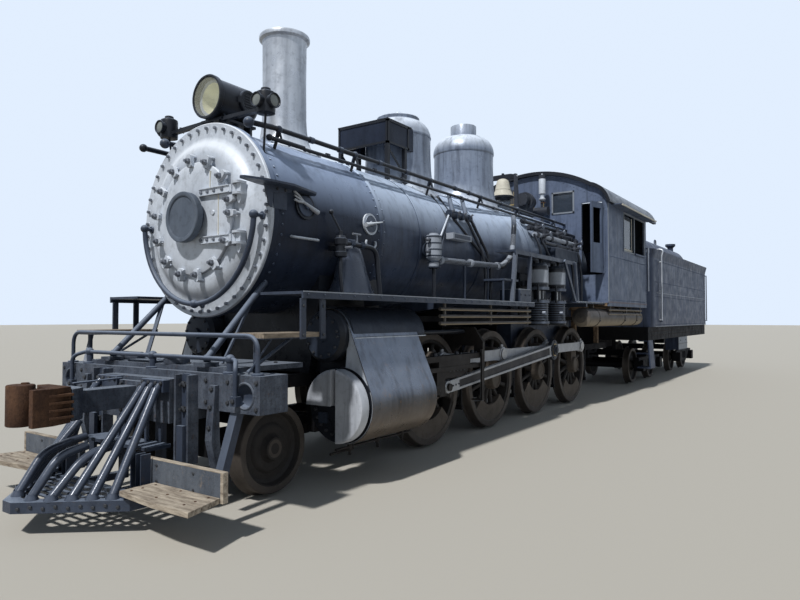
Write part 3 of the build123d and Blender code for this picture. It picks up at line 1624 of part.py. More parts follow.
def coupler_head(face_x, facing, root_x):
    """A coupler with its head's pulling face at one station, looking forward (1) or back (-1)."""
    block((root_x, face_x - facing * 330), (-shank_half, shank_half), (coupler_z - 85, coupler_z + 75))
    slab_z(
        [
            (face_x - facing * 340, -facing * 110),
            (face_x - facing * 340, facing * 150),
            (face_x - facing * 180, facing * 215),
            (face_x - facing * 30, facing * 210),
            (face_x - facing * 30, facing * 150),
            (face_x - facing * 170, facing * 120),
            (face_x - facing * 200, -facing * 40),
            (face_x - facing * 250, -facing * 190),
            (face_x - facing * 330, -facing * 170),
        ],
        (coupler_z - 140, coupler_z + 140),
    )
    slab_z(
        [
            (face_x - facing * 258, -facing * 180),
            (face_x - facing * 208, -facing * 40),
            (face_x - facing * 130, -facing * 20),
            (face_x - facing * 40, -facing * 50),
            (face_x, -facing * 100),
            (face_x, -facing * 180),
            (face_x - facing * 60, -facing * 215),
            (face_x - facing * 180, -facing * 225),
        ],
        (coupler_z - 150, coupler_z + 150),
    )
    round_z(face_x - facing * 150, -facing * 160, (coupler_z - 165, coupler_z + 165), 30)


with BuildPart() as coupler_front:
    coupler_head(coupler_front_x, 1, beam_front_x + 110 + face_gap)
    block((beam_front_x + 110 + face_gap, beam_front_x + 150), (-170, 170), (coupler_z - 170, coupler_z + 130))
coupler_front.part.label = "coupler_front"
export_step(coupler_front.part, "parts/coupler_front.step")

# Guides and yoke for each crosshead, with the strap that hangs round the main rod
guide_front_x = cylinder_rear_x - 24
guide_rear_x = main_x + 2620
guide_top_z = rail_z + 1115
with BuildPart() as guides:
    for side in (1, -1):
        block((guide_rear_x, guide_front_x), (side * 1060, side * 1180), (guide_top_z - 65, guide_top_z))
        for bar_y in (1060, 1150):
            block(
                (guide_rear_x, guide_front_x),
                (side * bar_y, side * (bar_y + 30)),
                (rail_z + 935, rail_z + 985),
            )
        block(
            (guide_front_x - 60, guide_front_x),
            (side * 1060, side * 1090),
            (rail_z + 935, guide_top_z),
        )
        block(
            (guide_front_x - 60, guide_front_x),
            (side * 1150, side * 1180),
            (rail_z + 935, guide_top_z),
        )
        slab_x(
            [
                (side * (frame_y + frame_width / 2 + face_gap), frame_top_z - 100),
                (side * (frame_y + frame_width / 2 + face_gap), rail_z + 1440),
                (side * 1060, rail_z + 1440),
                (side * 1190, rail_z + 1250),
                (side * 1190, rail_z + 930),
                (side * 1150, rail_z + 930),
                (side * 1150, guide_top_z - 20),
                (side * 1060, guide_top_z - 20),
                (side * 1060, rail_z + 1200),
                (side * 860, rail_z + 1200),
            ],
            (guide_rear_x - 30, guide_rear_x + 20),
        )
        bar(
            (guide_rear_x + 60, side * 1205, rail_z + 1160),
            (guide_rear_x + 60, side * 1205, rail_z + 520),
            16,
            70,
        )
        block(
            (guide_rear_x + 25, guide_rear_x + 95),
            (side * 1062, side * 1213),
            (rail_z + 510, rail_z + 526),
        )
        block(
            (guide_rear_x + 25, guide_rear_x + 95),
            (side * 1150, side * 1213),
            (rail_z + 1080, guide_top_z),
        )
guides.part.label = "guides"
export_step(guides.part, "parts/guides.step")

# Crossheads: slipper between the guide bars, body with two cheeks, and the wrist pin
with BuildPart() as crossheads:
    for side, pin_x in ((1, crosshead_pin_x), (-1, right_crosshead_x)):
        block((pin_x - 450, pin_x + 300), (side * 1063, side * 1177), (rail_z + 986, guide_top_z - 66))
        slab_y(
            [
                (pin_x - 450, rail_z + 990),
                (pin_x + 300, rail_z + 990),
                (pin_x + 300, cylinder_z - 60),
                (pin_x + 160, cylinder_z - 95),
                (pin_x - 110, cylinder_z - 95),
                (pin_x - 150, cylinder_z + 70),
                (pin_x - 450, cylinder_z + 170),
            ],
            (side * 1091, side * 1149),
        )
        block((pin_x - 160, pin_x + 230), (side * 1056, side * 1144), (cylinder_z - 95, cylinder_z + 100))
        round_y(pin_x, (side * 1054, side * 1158), cylinder_z, 50)
        block(
            (pin_x - 500, pin_x + 110),
            (side * (main_rod_y - main_rod_thickness / 2 - face_gap), side * (main_rod_y + main_rod_thickness / 2 + 60)),
            (cylinder_z - 110, cylinder_z + 110),
            mode=Mode.SUBTRACT,
        )
        round_y(pin_x, (side * 1060, side * 1158), cylinder_z, 45)
        round_x((pin_x + 240, pin_x + 320), side * cylinder_y, cylinder_z, 62)
        round_x(
            (pin_x + 250 - face_gap, pin_x + 400),
            side * cylinder_y,
            cylinder_z,
            45 + face_gap,
            mode=Mode.SUBTRACT,
        )
crossheads.part.label = "crossheads"
export_step(crossheads.part, "parts/crossheads.step")

# Main rods: fluted bar, small end in the crosshead, big end over the main crank pin
with BuildPart() as main_rods:
    for side, pin_x, crank_x, crank_z in (
        (1, crosshead_pin_x, main_x, left_pin_z),
        (-1, right_crosshead_x, main_x + crank_radius, driver_z),
    ):
        inner = main_rod_y - main_rod_thickness / 2
        along = Vector(pin_x - crank_x, 0, cylinder_z - crank_z)
        rod_plane = Plane(origin=(crank_x, side * inner, crank_z), x_dir=along, z_dir=(0, side, 0))
        with BuildSketch(rod_plane) as rod_outline:
            with BuildLine():
                Polyline(
                    (0, main_rod_height_rear / 2),
                    (rod_length, main_rod_height_front / 2),
                    (rod_length, -main_rod_height_front / 2),
                    (0, -main_rod_height_rear / 2),
                    close=True,
                )
            make_face()
            Circle(big_end_radius)
            with Locations((rod_length, 0)):
                Circle(main_rod_height_front / 2 + 5)
        extrude(amount=main_rod_thickness)
        for flute_face in (0, main_rod_thickness - main_rod_flute):
            with BuildSketch(rod_plane.offset(flute_face)) as flute:
                with BuildLine():
                    Polyline(
                        (big_end_radius + 40, main_rod_height_rear / 2 - 38),
                        (rod_length - 260, main_rod_height_front / 2 - 36),
                        (rod_length - 260, -main_rod_height_front / 2 + 36),
                        (big_end_radius + 40, -main_rod_height_rear / 2 + 38),
                        close=True,
                    )
                make_face()
            extrude(amount=main_rod_flute, mode=Mode.SUBTRACT)
        round_y(pin_x, (side * (inner - 10), side * (main_rod_y + 80)), cylinder_z, 45 + face_gap, mode=Mode.SUBTRACT)
        round_y(crank_x, (side * (main_rod_y + main_rod_thickness / 2 - 1), side * (main_rod_y + 60)), crank_z, 82)
        round_y(crank_x, (side * (main_rod_y + 59), side * (main_rod_y + 85)), crank_z, 48)
main_rods.part.label = "main_rods"
export_step(main_rods.part, "parts/main_rods.step")

# Ash pan between the frames under the firebox
with BuildPart() as ash_pan:
    pan_front_x = main_x - 190
    pan_rear_x = last_driver_x + 190
    slab_y(
        [
            (pan_front_x, frame_top_z - 100),
            (pan_rear_x, frame_top_z - 100),
            (pan_rear_x + 90, rail_z + 410),
            (pan_front_x - 90, rail_z + 410),
        ],
        (-430, 430),
    )
    block(
        (boiler_rear_x + 80, firebox_front_x - 20),
        (-480, 480),
        (frame_top_z - 110, frame_top_z),
    )
ash_pan.part.label = "ash_pan"
export_step(ash_pan.part, "parts/ash_pan.step")

# Brake gear: hangers between the drivers with shoes against the treads
shoe_gap = 6
with BuildPart() as brake_gear:
    for side in (1, -1):
        for number, axle_x, weight_angle, weight_radius, pin_radius in driver_table:
            hanger_x = axle_x - driver_spacing / 2
            with BuildSketch(
                Plane(origin=(axle_x, side * 726, driver_z), x_dir=(1, 0, 0), z_dir=(0, side, 0))
            ) as shoe:
                Circle(driver_radius + shoe_gap + 60)
                Circle(driver_radius + shoe_gap, mode=Mode.SUBTRACT)
                with Locations((-driver_radius, side * 0)):
                    Rectangle(320, 340, mode=Mode.INTERSECT)
            extrude(amount=80)
            block(
                (hanger_x - 32, axle_x - driver_radius - shoe_gap - 10),
                (side * 740, side * 792),
                (driver_z - 60, driver_z + 60),
            )
            bar(
                (hanger_x - 10, side * 766, driver_z - 80),
                (hanger_x - 10, side * 766, frame_top_z - 15),
                52,
                50,
            )
            round_y(
                hanger_x - 10,
                (side * (frame_y + frame_width / 2 + face_gap), side * 800),
                frame_top_z - frame_rail / 2,
                32,
            )
    for number, axle_x, weight_angle, weight_radius, pin_radius in driver_table:
        round_y(axle_x - driver_spacing / 2 - 10, (-800, 800), driver_z - 330, 30)
        for side in (1, -1):
            bar(
                (axle_x - driver_spacing / 2 - 10, side * 766, driver_z - 345),
                (axle_x - driver_spacing / 2 - 10, side * 766, driver_z - 60),
                40,
                40,
            )
brake_gear.part.label = "brake_gear"
export_step(brake_gear.part, "parts/brake_gear.step")

# A wheel's tyre section, from its back: distance from the back and radius
def tyre_profile(tread_radius, inner_radius):
    """The section of a flanged tyre, from the wheel's back face outward."""
    return [
        (wheel_back_y, inner_radius),
        (wheel_back_y, tread_radius + flange_depth),
        (wheel_back_y + flange_width, tread_radius + flange_depth),
        (wheel_back_y + flange_width + flange_slope, tread_radius),
        (wheel_face_y, tread_radius),
        (wheel_face_y, inner_radius),
    ]


# Driving axles: spoked wheels with balance weights, hubs, cranks and pins. The right side leads by a quarter
for number, axle_x, weight_angle, weight_radius, pin_radius in driver_table:
    rim_radius = driver_radius - driver_rim
    pin_end_y = side_rod_y + side_rod_thickness / 2 + pin_collar
    with BuildPart() as driver:
        round_y(axle_x, (-wheel_face_y, wheel_face_y), driver_z, driver_axle_radius)
        for side, crank_angle in ((1, 90), (-1, 0)):
            turned_y(tyre_profile(driver_radius, rim_radius), axle_x, driver_z, side)
            crank = math.radians(crank_angle)
            crank_dir = (math.cos(crank), 0, math.sin(crank))
            wheel_plane = Plane(origin=(axle_x, 0, driver_z), x_dir=crank_dir, z_dir=(0, side, 0))
            with BuildSketch(wheel_plane.offset(wheel_back_y + 42)) as spokes:
                with PolarLocations(0, spoke_count, start_angle=15):
                    with Locations((rim_radius / 2 + 60, 0)):
                        Rectangle(rim_radius - 100, spoke_width * 0.8)
            extrude(amount=spoke_thickness)
            with BuildSketch(wheel_plane.offset(wheel_back_y + 22)) as weight:
                Circle(rim_radius + 4)
                Circle(weight_radius, mode=Mode.SUBTRACT)
                half = math.radians(weight_angle)
                with BuildLine():
                    Polyline(
                        (0, 0),
                        (-2 * rim_radius * math.cos(half), 2 * rim_radius * math.sin(half)),
                        (-2 * rim_radius * math.cos(half) - 200, 0),
                        (-2 * rim_radius * math.cos(half), -2 * rim_radius * math.sin(half)),
                        close=True,
                    )
                make_face(mode=Mode.INTERSECT)
            extrude(amount=tyre_width - 34)
            with BuildSketch(wheel_plane.offset(wheel_back_y - 20)) as hub:
                Circle(driver_hub_radius)
            extrude(amount=driver_hub_y - wheel_back_y + 20)
            with BuildSketch(wheel_plane.offset(wheel_back_y + 50)) as crank_web:
                Circle(driver_hub_radius)
                with Locations((crank_radius, 0)):
                    Circle(crank_boss_radius)
                make_hull()
            extrude(amount=crank_boss_y - wheel_back_y - 70)
            with BuildSketch(wheel_plane.offset(wheel_back_y + 60)) as crank_pin:
                with Locations((crank_radius, 0)):
                    Circle(pin_radius)
            extrude(amount=pin_end_y - wheel_back_y - 60)
            with BuildSketch(wheel_plane.offset(side_rod_y + side_rod_thickness / 2 + 2)) as collar:
                with Locations((crank_radius, 0)):
                    Circle(pin_radius + 18)
            extrude(amount=pin_collar - 2)
    driver.part.label = "driver_axle_" + str(number)
    export_step(driver.part, "parts/driver_axle_" + str(number) + ".step")

# Side rods: one bar over the four crank pins of each side, with a boss at each pin
pin_fit = 0.5
for side, rod_name in ((1, "side_rod_left"), (-1, "side_rod_right")):
    offset_x = 0 if side > 0 else crank_radius
    pin_z = left_pin_z if side > 0 else driver_z
    with BuildPart() as side_rod:
        block(
            (last_driver_x + offset_x, first_driver_x + offset_x),
            (side * (side_rod_y - side_rod_thickness / 2 + 12), side * (side_rod_y + side_rod_thickness / 2 - 12)),
            (pin_z - side_rod_height / 2, pin_z + side_rod_height / 2),
        )
        for number, axle_x, weight_angle, weight_radius, pin_radius in driver_table:
            boss = side_rod_boss + (25 if number == 3 else 0)
            round_y(
                axle_x + offset_x,
                (side * (side_rod_y - side_rod_thickness / 2), side * (side_rod_y + side_rod_thickness / 2)),
                pin_z,
                boss,
            )
        for number, axle_x, weight_angle, weight_radius, pin_radius in driver_table:
            fit = bore_gap if number == 3 else pin_fit
            round_y(
                axle_x + offset_x,
                (side * (side_rod_y - side_rod_thickness), side * (side_rod_y + side_rod_thickness)),
                pin_z,
                pin_radius + fit,
                mode=Mode.SUBTRACT,
            )
    side_rod.part.label = rod_name
    export_step(side_rod.part, "parts/" + rod_name + ".step")

# Leading truck: side bars, axle boxes, bolster and the tongue back to its pivot pin
with BuildPart() as pony_truck:
    for side in (1, -1):
        block(
            (lead_x - 330, lead_x + 330),
            (side * (truck_bar_y - truck_bar_width / 2), side * (truck_bar_y + truck_bar_width / 2)),
            (lead_z + 110, lead_z + 190),
        )
        block(
            (lead_x - 150, lead_x + 150),
            (side * (truck_bar_y - truck_bar_width / 2 - 20), side * (truck_bar_y + truck_bar_width / 2 + 20)),
            (lead_z - 120, lead_z + 150),
        )
        round_y(lead_x, (side * 300, side * 600), lead_z, lead_axle_radius + bore_gap, mode=Mode.SUBTRACT)
        bar(
            (lead_x - 300, side * (truck_bar_y - 20), lead_z + 150),
            (truck_pivot_x + 60, side * 60, rail_z + 330),
            70,
            50,
        )
    block((lead_x - 110, lead_x + 110), (-truck_bar_y, truck_bar_y), (lead_z + 190, lead_z + 300))
    round_z(lead_x, 0, (lead_z + 250, rail_z + 790 - moving_gap), 140)
    for end_x in (lead_x - 300, lead_x + 300):
        block((end_x - 30, end_x + 30), (-truck_bar_y, truck_bar_y), (lead_z + 115, lead_z + 185))
    round_z(truck_pivot_x, 0, (rail_z + 290, frame_bottom_z - frame_rail / 2 - face_gap), 110)
    round_z(truck_pivot_x, 0, (rail_z + 290, frame_bottom_z - face_gap), truck_pin_radius)
pony_truck.part.label = "pony_truck"
export_step(pony_truck.part, "parts/pony_truck.step")

with BuildPart() as leading_wheels:
    round_y(lead_x, (-wheel_face_y, wheel_face_y), lead_z, lead_axle_radius)
    for side in (1, -1):
        turned_y(
            [
                (wheel_back_y, 0),
                (wheel_back_y, lead_radius + flange_depth),
                (wheel_back_y + flange_width, lead_radius + flange_depth),
                (wheel_back_y + flange_width + flange_slope, lead_radius),
                (wheel_face_y, lead_radius),
                (wheel_face_y, lead_radius - 62),
                (wheel_face_y - 45, lead_radius - 82),
                (wheel_face_y - 55, 190),
                (wheel_face_y + 8, 140),
                (wheel_face_y + 8, 0),
            ],
            lead_x,
            lead_z,
            side,
        )
leading_wheels.part.label = "leading_wheels"
export_step(leading_wheels.part, "parts/leading_wheels.step")

# Tender frame: channels, end beams, centre sill and the drawbar with its pin
tender_sill_y = 1330
with BuildPart() as tender_frame:
    for side in (1, -1):
        block(
            (tender_rear_x, tender_front_x),
            (side * tender_sill_y, side * (tender_sill_y + 70)),
            (tender_frame_bottom_z, tender_floor_z - face_gap),
        )
        block(
            (tender_rear_x, tender_front_x),
            (side * 170, side * 240),
            (tender_frame_bottom_z, tender_floor_z - face_gap),
        )
    for beam_x, next_x in ((tender_front_x, tender_front_x - 160), (tender_rear_x - 120, tender_rear_x + 80)):
        block(
            (beam_x, next_x),
            (-tender_sill_y - 70, tender_sill_y + 70),
            (tender_frame_bottom_z, tender_floor_z - face_gap),
        )
    for truck_name, truck_x in truck_table:
        block(
            (truck_x - 170, truck_x + 170),
            (-tender_sill_y, tender_sill_y),
            (tender_frame_bottom_z, tender_floor_z - face_gap),
        )
        round_z(truck_x, 0, (tender_frame_bottom_z - 60, tender_frame_bottom_z + 5), 170)
    block(
        (tender_front_x - 1200, tender_front_x),
        (-240, 240),
        (drawbar_z + 100, tender_frame_bottom_z + 5),
    )
    block((tender_front_x - 500, drawbar_x), (-85, 85), (drawbar_z - 35, drawbar_z + 20))
    round_z(drawbar_x, 0, (drawbar_z - 35, drawbar_z + 20), 110)
    block((tender_front_x - 500, tender_front_x - 300), (-85, 85), (drawbar_z - 35, drawbar_z + 110))
    round_z(drawbar_x, 0, (drawbar_z - 150, drawbar_z + 110), drawbar_pin_radius)
    block((tender_rear_x - 320, tender_rear_x - 118), (-170, 170), (coupler_z - 170, tender_frame_bottom_z + 60))
tender_frame.part.label = "tender_frame"
export_step(tender_frame.part, "parts/tender_frame.step")

with BuildPart() as coupler_rear:
    coupler_head(main_x - rear_reach, -1, tender_rear_x - 320 - face_gap)
coupler_rear.part.label = "coupler_rear"
export_step(coupler_rear.part, "parts/coupler_rear.step")

# Tender tank: body with rounded front corners, flared top lip, and the deck behind the fuel tank
tank_corner = 420
fuel_rear_x = main_x - 10250
with BuildPart() as tender_tank:
    tank_rear_x = tender_rear_x
    with BuildSketch(Plane.XY.offset(tender_floor_z)) as tank_plan:
        with BuildLine():
            Polyline(
                (tender_front_x - tank_corner, tender_half_width),
                (tank_rear_x, tender_half_width),
                (tank_rear_x, -tender_half_width),
                (tender_front_x - tank_corner, -tender_half_width),
            )
            RadiusArc(
                (tender_front_x - tank_corner, -tender_half_width),
                (tender_front_x, -tender_half_width + tank_corner),
                -tank_corner,
            )
            Line(
                (tender_front_x, -tender_half_width + tank_corner),
                (tender_front_x, tender_half_width - tank_corner),
            )
            RadiusArc(
                (tender_front_x, tender_half_width - tank_corner),
                (tender_front_x - tank_corner, tender_half_width),
                -tank_corner,
            )
        make_face()
    extrude(amount=tender_top_z - 200 - tender_floor_z)
    with BuildSketch(Plane.XY.offset(tender_top_z - 200)) as lip_plan:
        add(tank_plan.sketch.moved(Location((0, 0, tender_top_z - 200 - tender_floor_z))))
    extrude(lip_plan.sketch, amount=200, taper=-12)
    block(
        (tank_rear_x + 40, tender_front_x - 60),
        (-tender_half_width + 40, tender_half_width - 40),
        (tender_top_z - 100, tender_top_z + 10),
        mode=Mode.SUBTRACT,
    )
tender_tank.part.label = "tender_tank"
export_step(tender_tank.part, "parts/tender_tank.step")

# Fuel tank: the arched tank on the deck
fuel_front_x = tender_front_x - 640
fuel_half_width = 1180
fuel_top_z = rail_z + 3680
with BuildPart() as fuel_tank:
    deck_z = tender_top_z - 100 + face_gap
    with BuildSketch(Plane(origin=(fuel_rear_x, 0, 0), x_dir=(0, 1, 0), z_dir=(1, 0, 0))) as fuel_section:
        with BuildLine():
            Line((-fuel_half_width, tender_top_z + 60), (-fuel_half_width, deck_z))
            Line((-fuel_half_width, deck_z), (fuel_half_width, deck_z))
            Line((fuel_half_width, deck_z), (fuel_half_width, tender_top_z + 60))
            ThreePointArc(
                (fuel_half_width, tender_top_z + 60),
                (fuel_half_width * 0.92, tender_top_z + 260),
                (fuel_half_width * 0.7, tender_top_z + 400),
            )
            ThreePointArc(
                (fuel_half_width * 0.7, tender_top_z + 400),
                (0, fuel_top_z),
                (-fuel_half_width * 0.7, tender_top_z + 400),
            )
            ThreePointArc(
                (-fuel_half_width * 0.7, tender_top_z + 400),
                (-fuel_half_width * 0.92, tender_top_z + 260),
                (-fuel_half_width, tender_top_z + 60),
            )
        make_face()
    extrude(amount=fuel_front_x - fuel_rear_x)
    round_z(fuel_front_x - 1500, 0, (fuel_top_z - 60, fuel_top_z + 90), 230)
fuel_tank.part.label = "fuel_tank"
export_step(fuel_tank.part, "parts/fuel_tank.step")

# Tender fittings: water hatch, vent, lifting hooks, corner handrails, and the steps and toolboxes under the sills
with BuildPart() as tender_fittings:
    deck_z = tender_top_z - 100 + face_gap
    block((main_x - 11350, main_x - 10650), (-420, 420), (deck_z, deck_z + 220))
    turned_z(
        [
            (0, deck_z),
            (95, deck_z),
            (85, deck_z + 740),
            (150, deck_z + 800),
            (150, deck_z + 860),
            (0, deck_z + 860),
        ],
        main_x - 11600,
        520,
    )
    for hook_y in (300, -300):
        pipe(
            [
                (main_x - 10450, hook_y, deck_z),
                (main_x - 10450, hook_y, deck_z + 900),
                (main_x - 10640, hook_y, deck_z + 900),
                (main_x - 10640, hook_y, deck_z + 420),
            ],
            18,
            60,
        )
    for side in (1, -1):
        for rail_x in (tender_front_x - 900, tender_rear_x + 120):
            rod(
                (rail_x, side * (tender_half_width + 50), tender_floor_z + 120),
                (rail_x, side * (tender_half_width + 50), tender_top_z - 260),
                15,
            )
            for end_z in (tender_floor_z + 130, tender_top_z - 270):
                rod(
                    (rail_x, side * (tender_half_width + face_gap), end_z),
                    (rail_x, side * (tender_half_width + 50), end_z),
                    11,
                )
    under_sill_z = tender_frame_bottom_z - face_gap
    for side in (1, -1):
        slab_x(
            [
                (side * 1180, under_sill_z),
                (side * 1400, under_sill_z),
                (side * 1450, rail_z + 480),
                (side * 1450, rail_z + 420),
                (side * 1150, rail_z + 420),
                (side * 1150, rail_z + 445),
                (side * 1420, rail_z + 445),
                (side * 1375, under_sill_z - 25),
                (side * 1180, under_sill_z - 25),
            ],
            (tender_front_x - 420, tender_front_x - 20),
        )
        block(
            (tender_front_x - 430, tender_front_x - 10),
            (side * 1120, side * 1420),
            (rail_z + 740, rail_z + 765),
        )
        block(
            (main_x - 9400, main_x - 8300),
            (side * 1050, side * 1380),
            (rail_z + 700, under_sill_z),
        )
tender_fittings.part.label = "tender_fittings"
export_step(tender_fittings.part, "parts/tender_fittings.step")

# Tender trucks: side frames with axle boxes outside the wheels, springs and bolster, and two axles each
truck_side_y = 960
tender_wheel_z = rail_z + tender_wheel_radius
axle_number = 0
for truck_name, truck_x in truck_table:
    half_base = tender_wheelbase / 2
    axle_places = (truck_x + half_base, truck_x - half_base)
    with BuildPart() as truck:
        for side in (1, -1):
            slab_y(
                [
                    (truck_x - half_base - 170, tender_wheel_z + 190),
                    (truck_x + half_base + 170, tender_wheel_z + 190),
                    (truck_x + half_base + 170, tender_wheel_z + 110),
                    (truck_x + half_base - 150, tender_wheel_z + 100),
                    (truck_x + 260, tender_wheel_z - 160),
                    (truck_x - 260, tender_wheel_z - 160),
                    (truck_x - half_base + 150, tender_wheel_z + 100),
                    (truck_x - half_base - 170, tender_wheel_z + 110),
                ],
                (side * (truck_side_y - 45), side * (truck_side_y + 45)),
            )
            block(
                (truck_x - 200, truck_x + 200),
                (side * (truck_side_y - 60), side * (truck_side_y + 60)),
                (tender_wheel_z - 60, tender_wheel_z + 130),
                mode=Mode.SUBTRACT,
            )
            for spring_x in (truck_x - 95, truck_x + 95):
                round_z(spring_x, side * truck_side_y, (tender_wheel_z - 62, tender_wheel_z + 132), 75)
            for axle_x in axle_places:
                block(
                    (axle_x - 120, axle_x + 120),
                    (side * (truck_side_y - 90), side * (truck_side_y + 130)),
                    (tender_wheel_z - 130, tender_wheel_z + 130),
                )
                round_y(
                    axle_x,
                    (side * (truck_side_y - 200), side * (truck_side_y + 90)),
                    tender_wheel_z,
                    tender_axle_radius + bore_gap,
                    mode=Mode.SUBTRACT,
                )
        block(
            (truck_x - 150, truck_x + 150),
            (-truck_side_y, truck_side_y),
            (tender_wheel_z + 180, tender_wheel_z + 330),
        )
        round_z(
            truck_x,
            0,
            (tender_wheel_z + 300, tender_frame_bottom_z - 60 - face_gap),
            165,
        )
    truck.part.label = "truck_" + truck_name
    export_step(truck.part, "parts/truck_" + truck_name + ".step")
    for axle_x in axle_places:
        axle_number += 1
        with BuildPart() as tender_axle:
            round_y(axle_x, (-truck_side_y - 85, truck_side_y + 85), tender_wheel_z, tender_axle_radius)
            for side in (1, -1):
                turned_y(
                    [
                        (wheel_back_y, 0),
                        (wheel_back_y, tender_wheel_radius + flange_depth),
                        (wheel_back_y + flange_width, tender_wheel_radius + flange_depth),
                        (wheel_back_y + flange_width + flange_slope, tender_wheel_radius),
                        (wheel_face_y, tender_wheel_radius),
                        (wheel_face_y, tender_wheel_radius - 65),
                        (wheel_face_y - 70, tender_wheel_radius - 90),
                        (wheel_face_y - 40, 120),
                        (wheel_face_y + 10, 120),
                        (wheel_face_y + 10, 0),
                    ],
                    axle_x,
                    tender_wheel_z,
                    side,
                )
        tender_axle.part.label = "tender_axle_" + str(axle_number)
        export_step(tender_axle.part, "parts/tender_axle_" + str(axle_number) + ".step")
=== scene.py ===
import math

import bmesh
import bpy
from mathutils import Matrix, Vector


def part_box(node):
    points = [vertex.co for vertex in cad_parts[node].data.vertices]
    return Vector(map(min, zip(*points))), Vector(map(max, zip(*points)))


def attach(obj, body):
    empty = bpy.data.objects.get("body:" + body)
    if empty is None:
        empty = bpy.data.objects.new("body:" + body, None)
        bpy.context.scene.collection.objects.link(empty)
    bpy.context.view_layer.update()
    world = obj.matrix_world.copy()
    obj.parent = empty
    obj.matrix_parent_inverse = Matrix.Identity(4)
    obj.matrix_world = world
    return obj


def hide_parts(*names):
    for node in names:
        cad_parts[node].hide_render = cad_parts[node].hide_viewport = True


# Steam locomotive with its tender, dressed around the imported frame.
# Pieces are built in engine coordinates, in metres: X from the main driving axle to the front, Y to the
# left side, Z from the rail top up. Piece.finish shifts them into the row frame.
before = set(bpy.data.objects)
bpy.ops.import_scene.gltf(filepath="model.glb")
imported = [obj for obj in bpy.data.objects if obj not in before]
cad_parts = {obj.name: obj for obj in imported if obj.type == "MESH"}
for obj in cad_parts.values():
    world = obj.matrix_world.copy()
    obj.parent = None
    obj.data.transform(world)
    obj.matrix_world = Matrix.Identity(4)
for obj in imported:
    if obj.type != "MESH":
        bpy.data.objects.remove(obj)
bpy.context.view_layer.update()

LEFT, RIGHT = SIDES = (1, -1)
RAIL_Z = 0.028
main_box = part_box("driver_axle_3")
SHIFT = Vector(((main_box[0].x + main_box[1].x) / 2, 0, RAIL_Z))

# Camera, fitted to the photograph
CAMERA_AT = Vector((12.49, 4.98, 1.587))
CAMERA_YAW, CAMERA_PITCH = 3.7492, 0.0283
CAMERA_LENS, SENSOR = 28.556, 36.0

# Light: a sun from straight ahead, a weak fill on the left, and the sky
SUN = dict(toward=(-0.61, -0.06, -0.79), strength=3.4, angle=3, colour=(1.0, 0.98, 0.95))
FILL = dict(toward=(-0.35, -0.85, -0.30), strength=0.12, angle=50, colour=(0.84, 0.91, 1.0))
SKY, SKY_STRENGTH = (0.68, 0.82, 1.0, 1), 0.20
BACKDROP, BACKDROP_STRENGTH = (0.76, 0.86, 1.0, 1), 1.0


def link_object(name, data):
    """A new object in the scene, turned by a quaternion."""
    made = bpy.data.objects.new(name, data)
    bpy.context.scene.collection.objects.link(made)
    made.rotation_mode = "QUATERNION"
    return made


def add_camera():
    """The camera at the photograph's viewpoint."""
    data = bpy.data.cameras.new("camera")
    data.lens = CAMERA_LENS
    data.sensor_width = SENSOR
    data.clip_start = 0.05
    data.clip_end = 500
    camera = link_object("camera", data)
    level = math.cos(CAMERA_PITCH)
    ahead = Vector((level * math.cos(CAMERA_YAW), level * math.sin(CAMERA_YAW), math.sin(CAMERA_PITCH)))
    camera.location = CAMERA_AT
    camera.rotation_quaternion = ahead.to_track_quat("-Z", "Y")
    bpy.context.scene.camera = camera


def add_light(name, toward, strength, angle, colour):
    """A distant lamp that shines along one direction."""
    data = bpy.data.lights.new(name, "SUN")
    data.energy = strength
    data.angle = math.radians(angle)
    data.color = colour
    link_object(name, data).rotation_quaternion = Vector(toward).to_track_quat("-Z", "Y")


def wire(tree, kind, inputs=(), **settings):
    """A new node with its settings, and each input either linked to a socket or set to a constant."""
    node = tree.nodes.new("ShaderNode" + kind)
    for key, value in settings.items():
        setattr(node, key, value)
    fill_in(tree, node, inputs)
    return node


def fill_in(tree, node, inputs):
    """Links or sets the named or numbered inputs of a node."""
    for key, value in dict(inputs).items():
        if isinstance(value, bpy.types.NodeSocket):
            tree.links.new(value, node.inputs[key])
        else:
            node.inputs[key].default_value = value


def add_world():
    """Soft light from all round, with a pale backdrop for the camera and for reflections."""
    world = bpy.data.worlds.new("studio")
    bpy.context.scene.world = world
    world.use_nodes = True
    tree = world.node_tree
    tree.nodes.clear()
    paths = wire(tree, "LightPath")
    shown = paths.outputs["Is Camera Ray"]
    for ray in ("Is Glossy Ray", "Is Transmission Ray"):
        shown = wire(tree, "Math", {0: shown, 1: paths.outputs[ray]}, operation="MAXIMUM").outputs[0]
    soft = wire(tree, "Background", {"Color": SKY, "Strength": SKY_STRENGTH})
    pale = wire(tree, "Background", {"Color": BACKDROP, "Strength": BACKDROP_STRENGTH})
    mix = wire(tree, "MixShader", {0: shown, 1: soft.outputs[0], 2: pale.outputs[0]})
    wire(tree, "OutputWorld", {0: mix.outputs[0]})


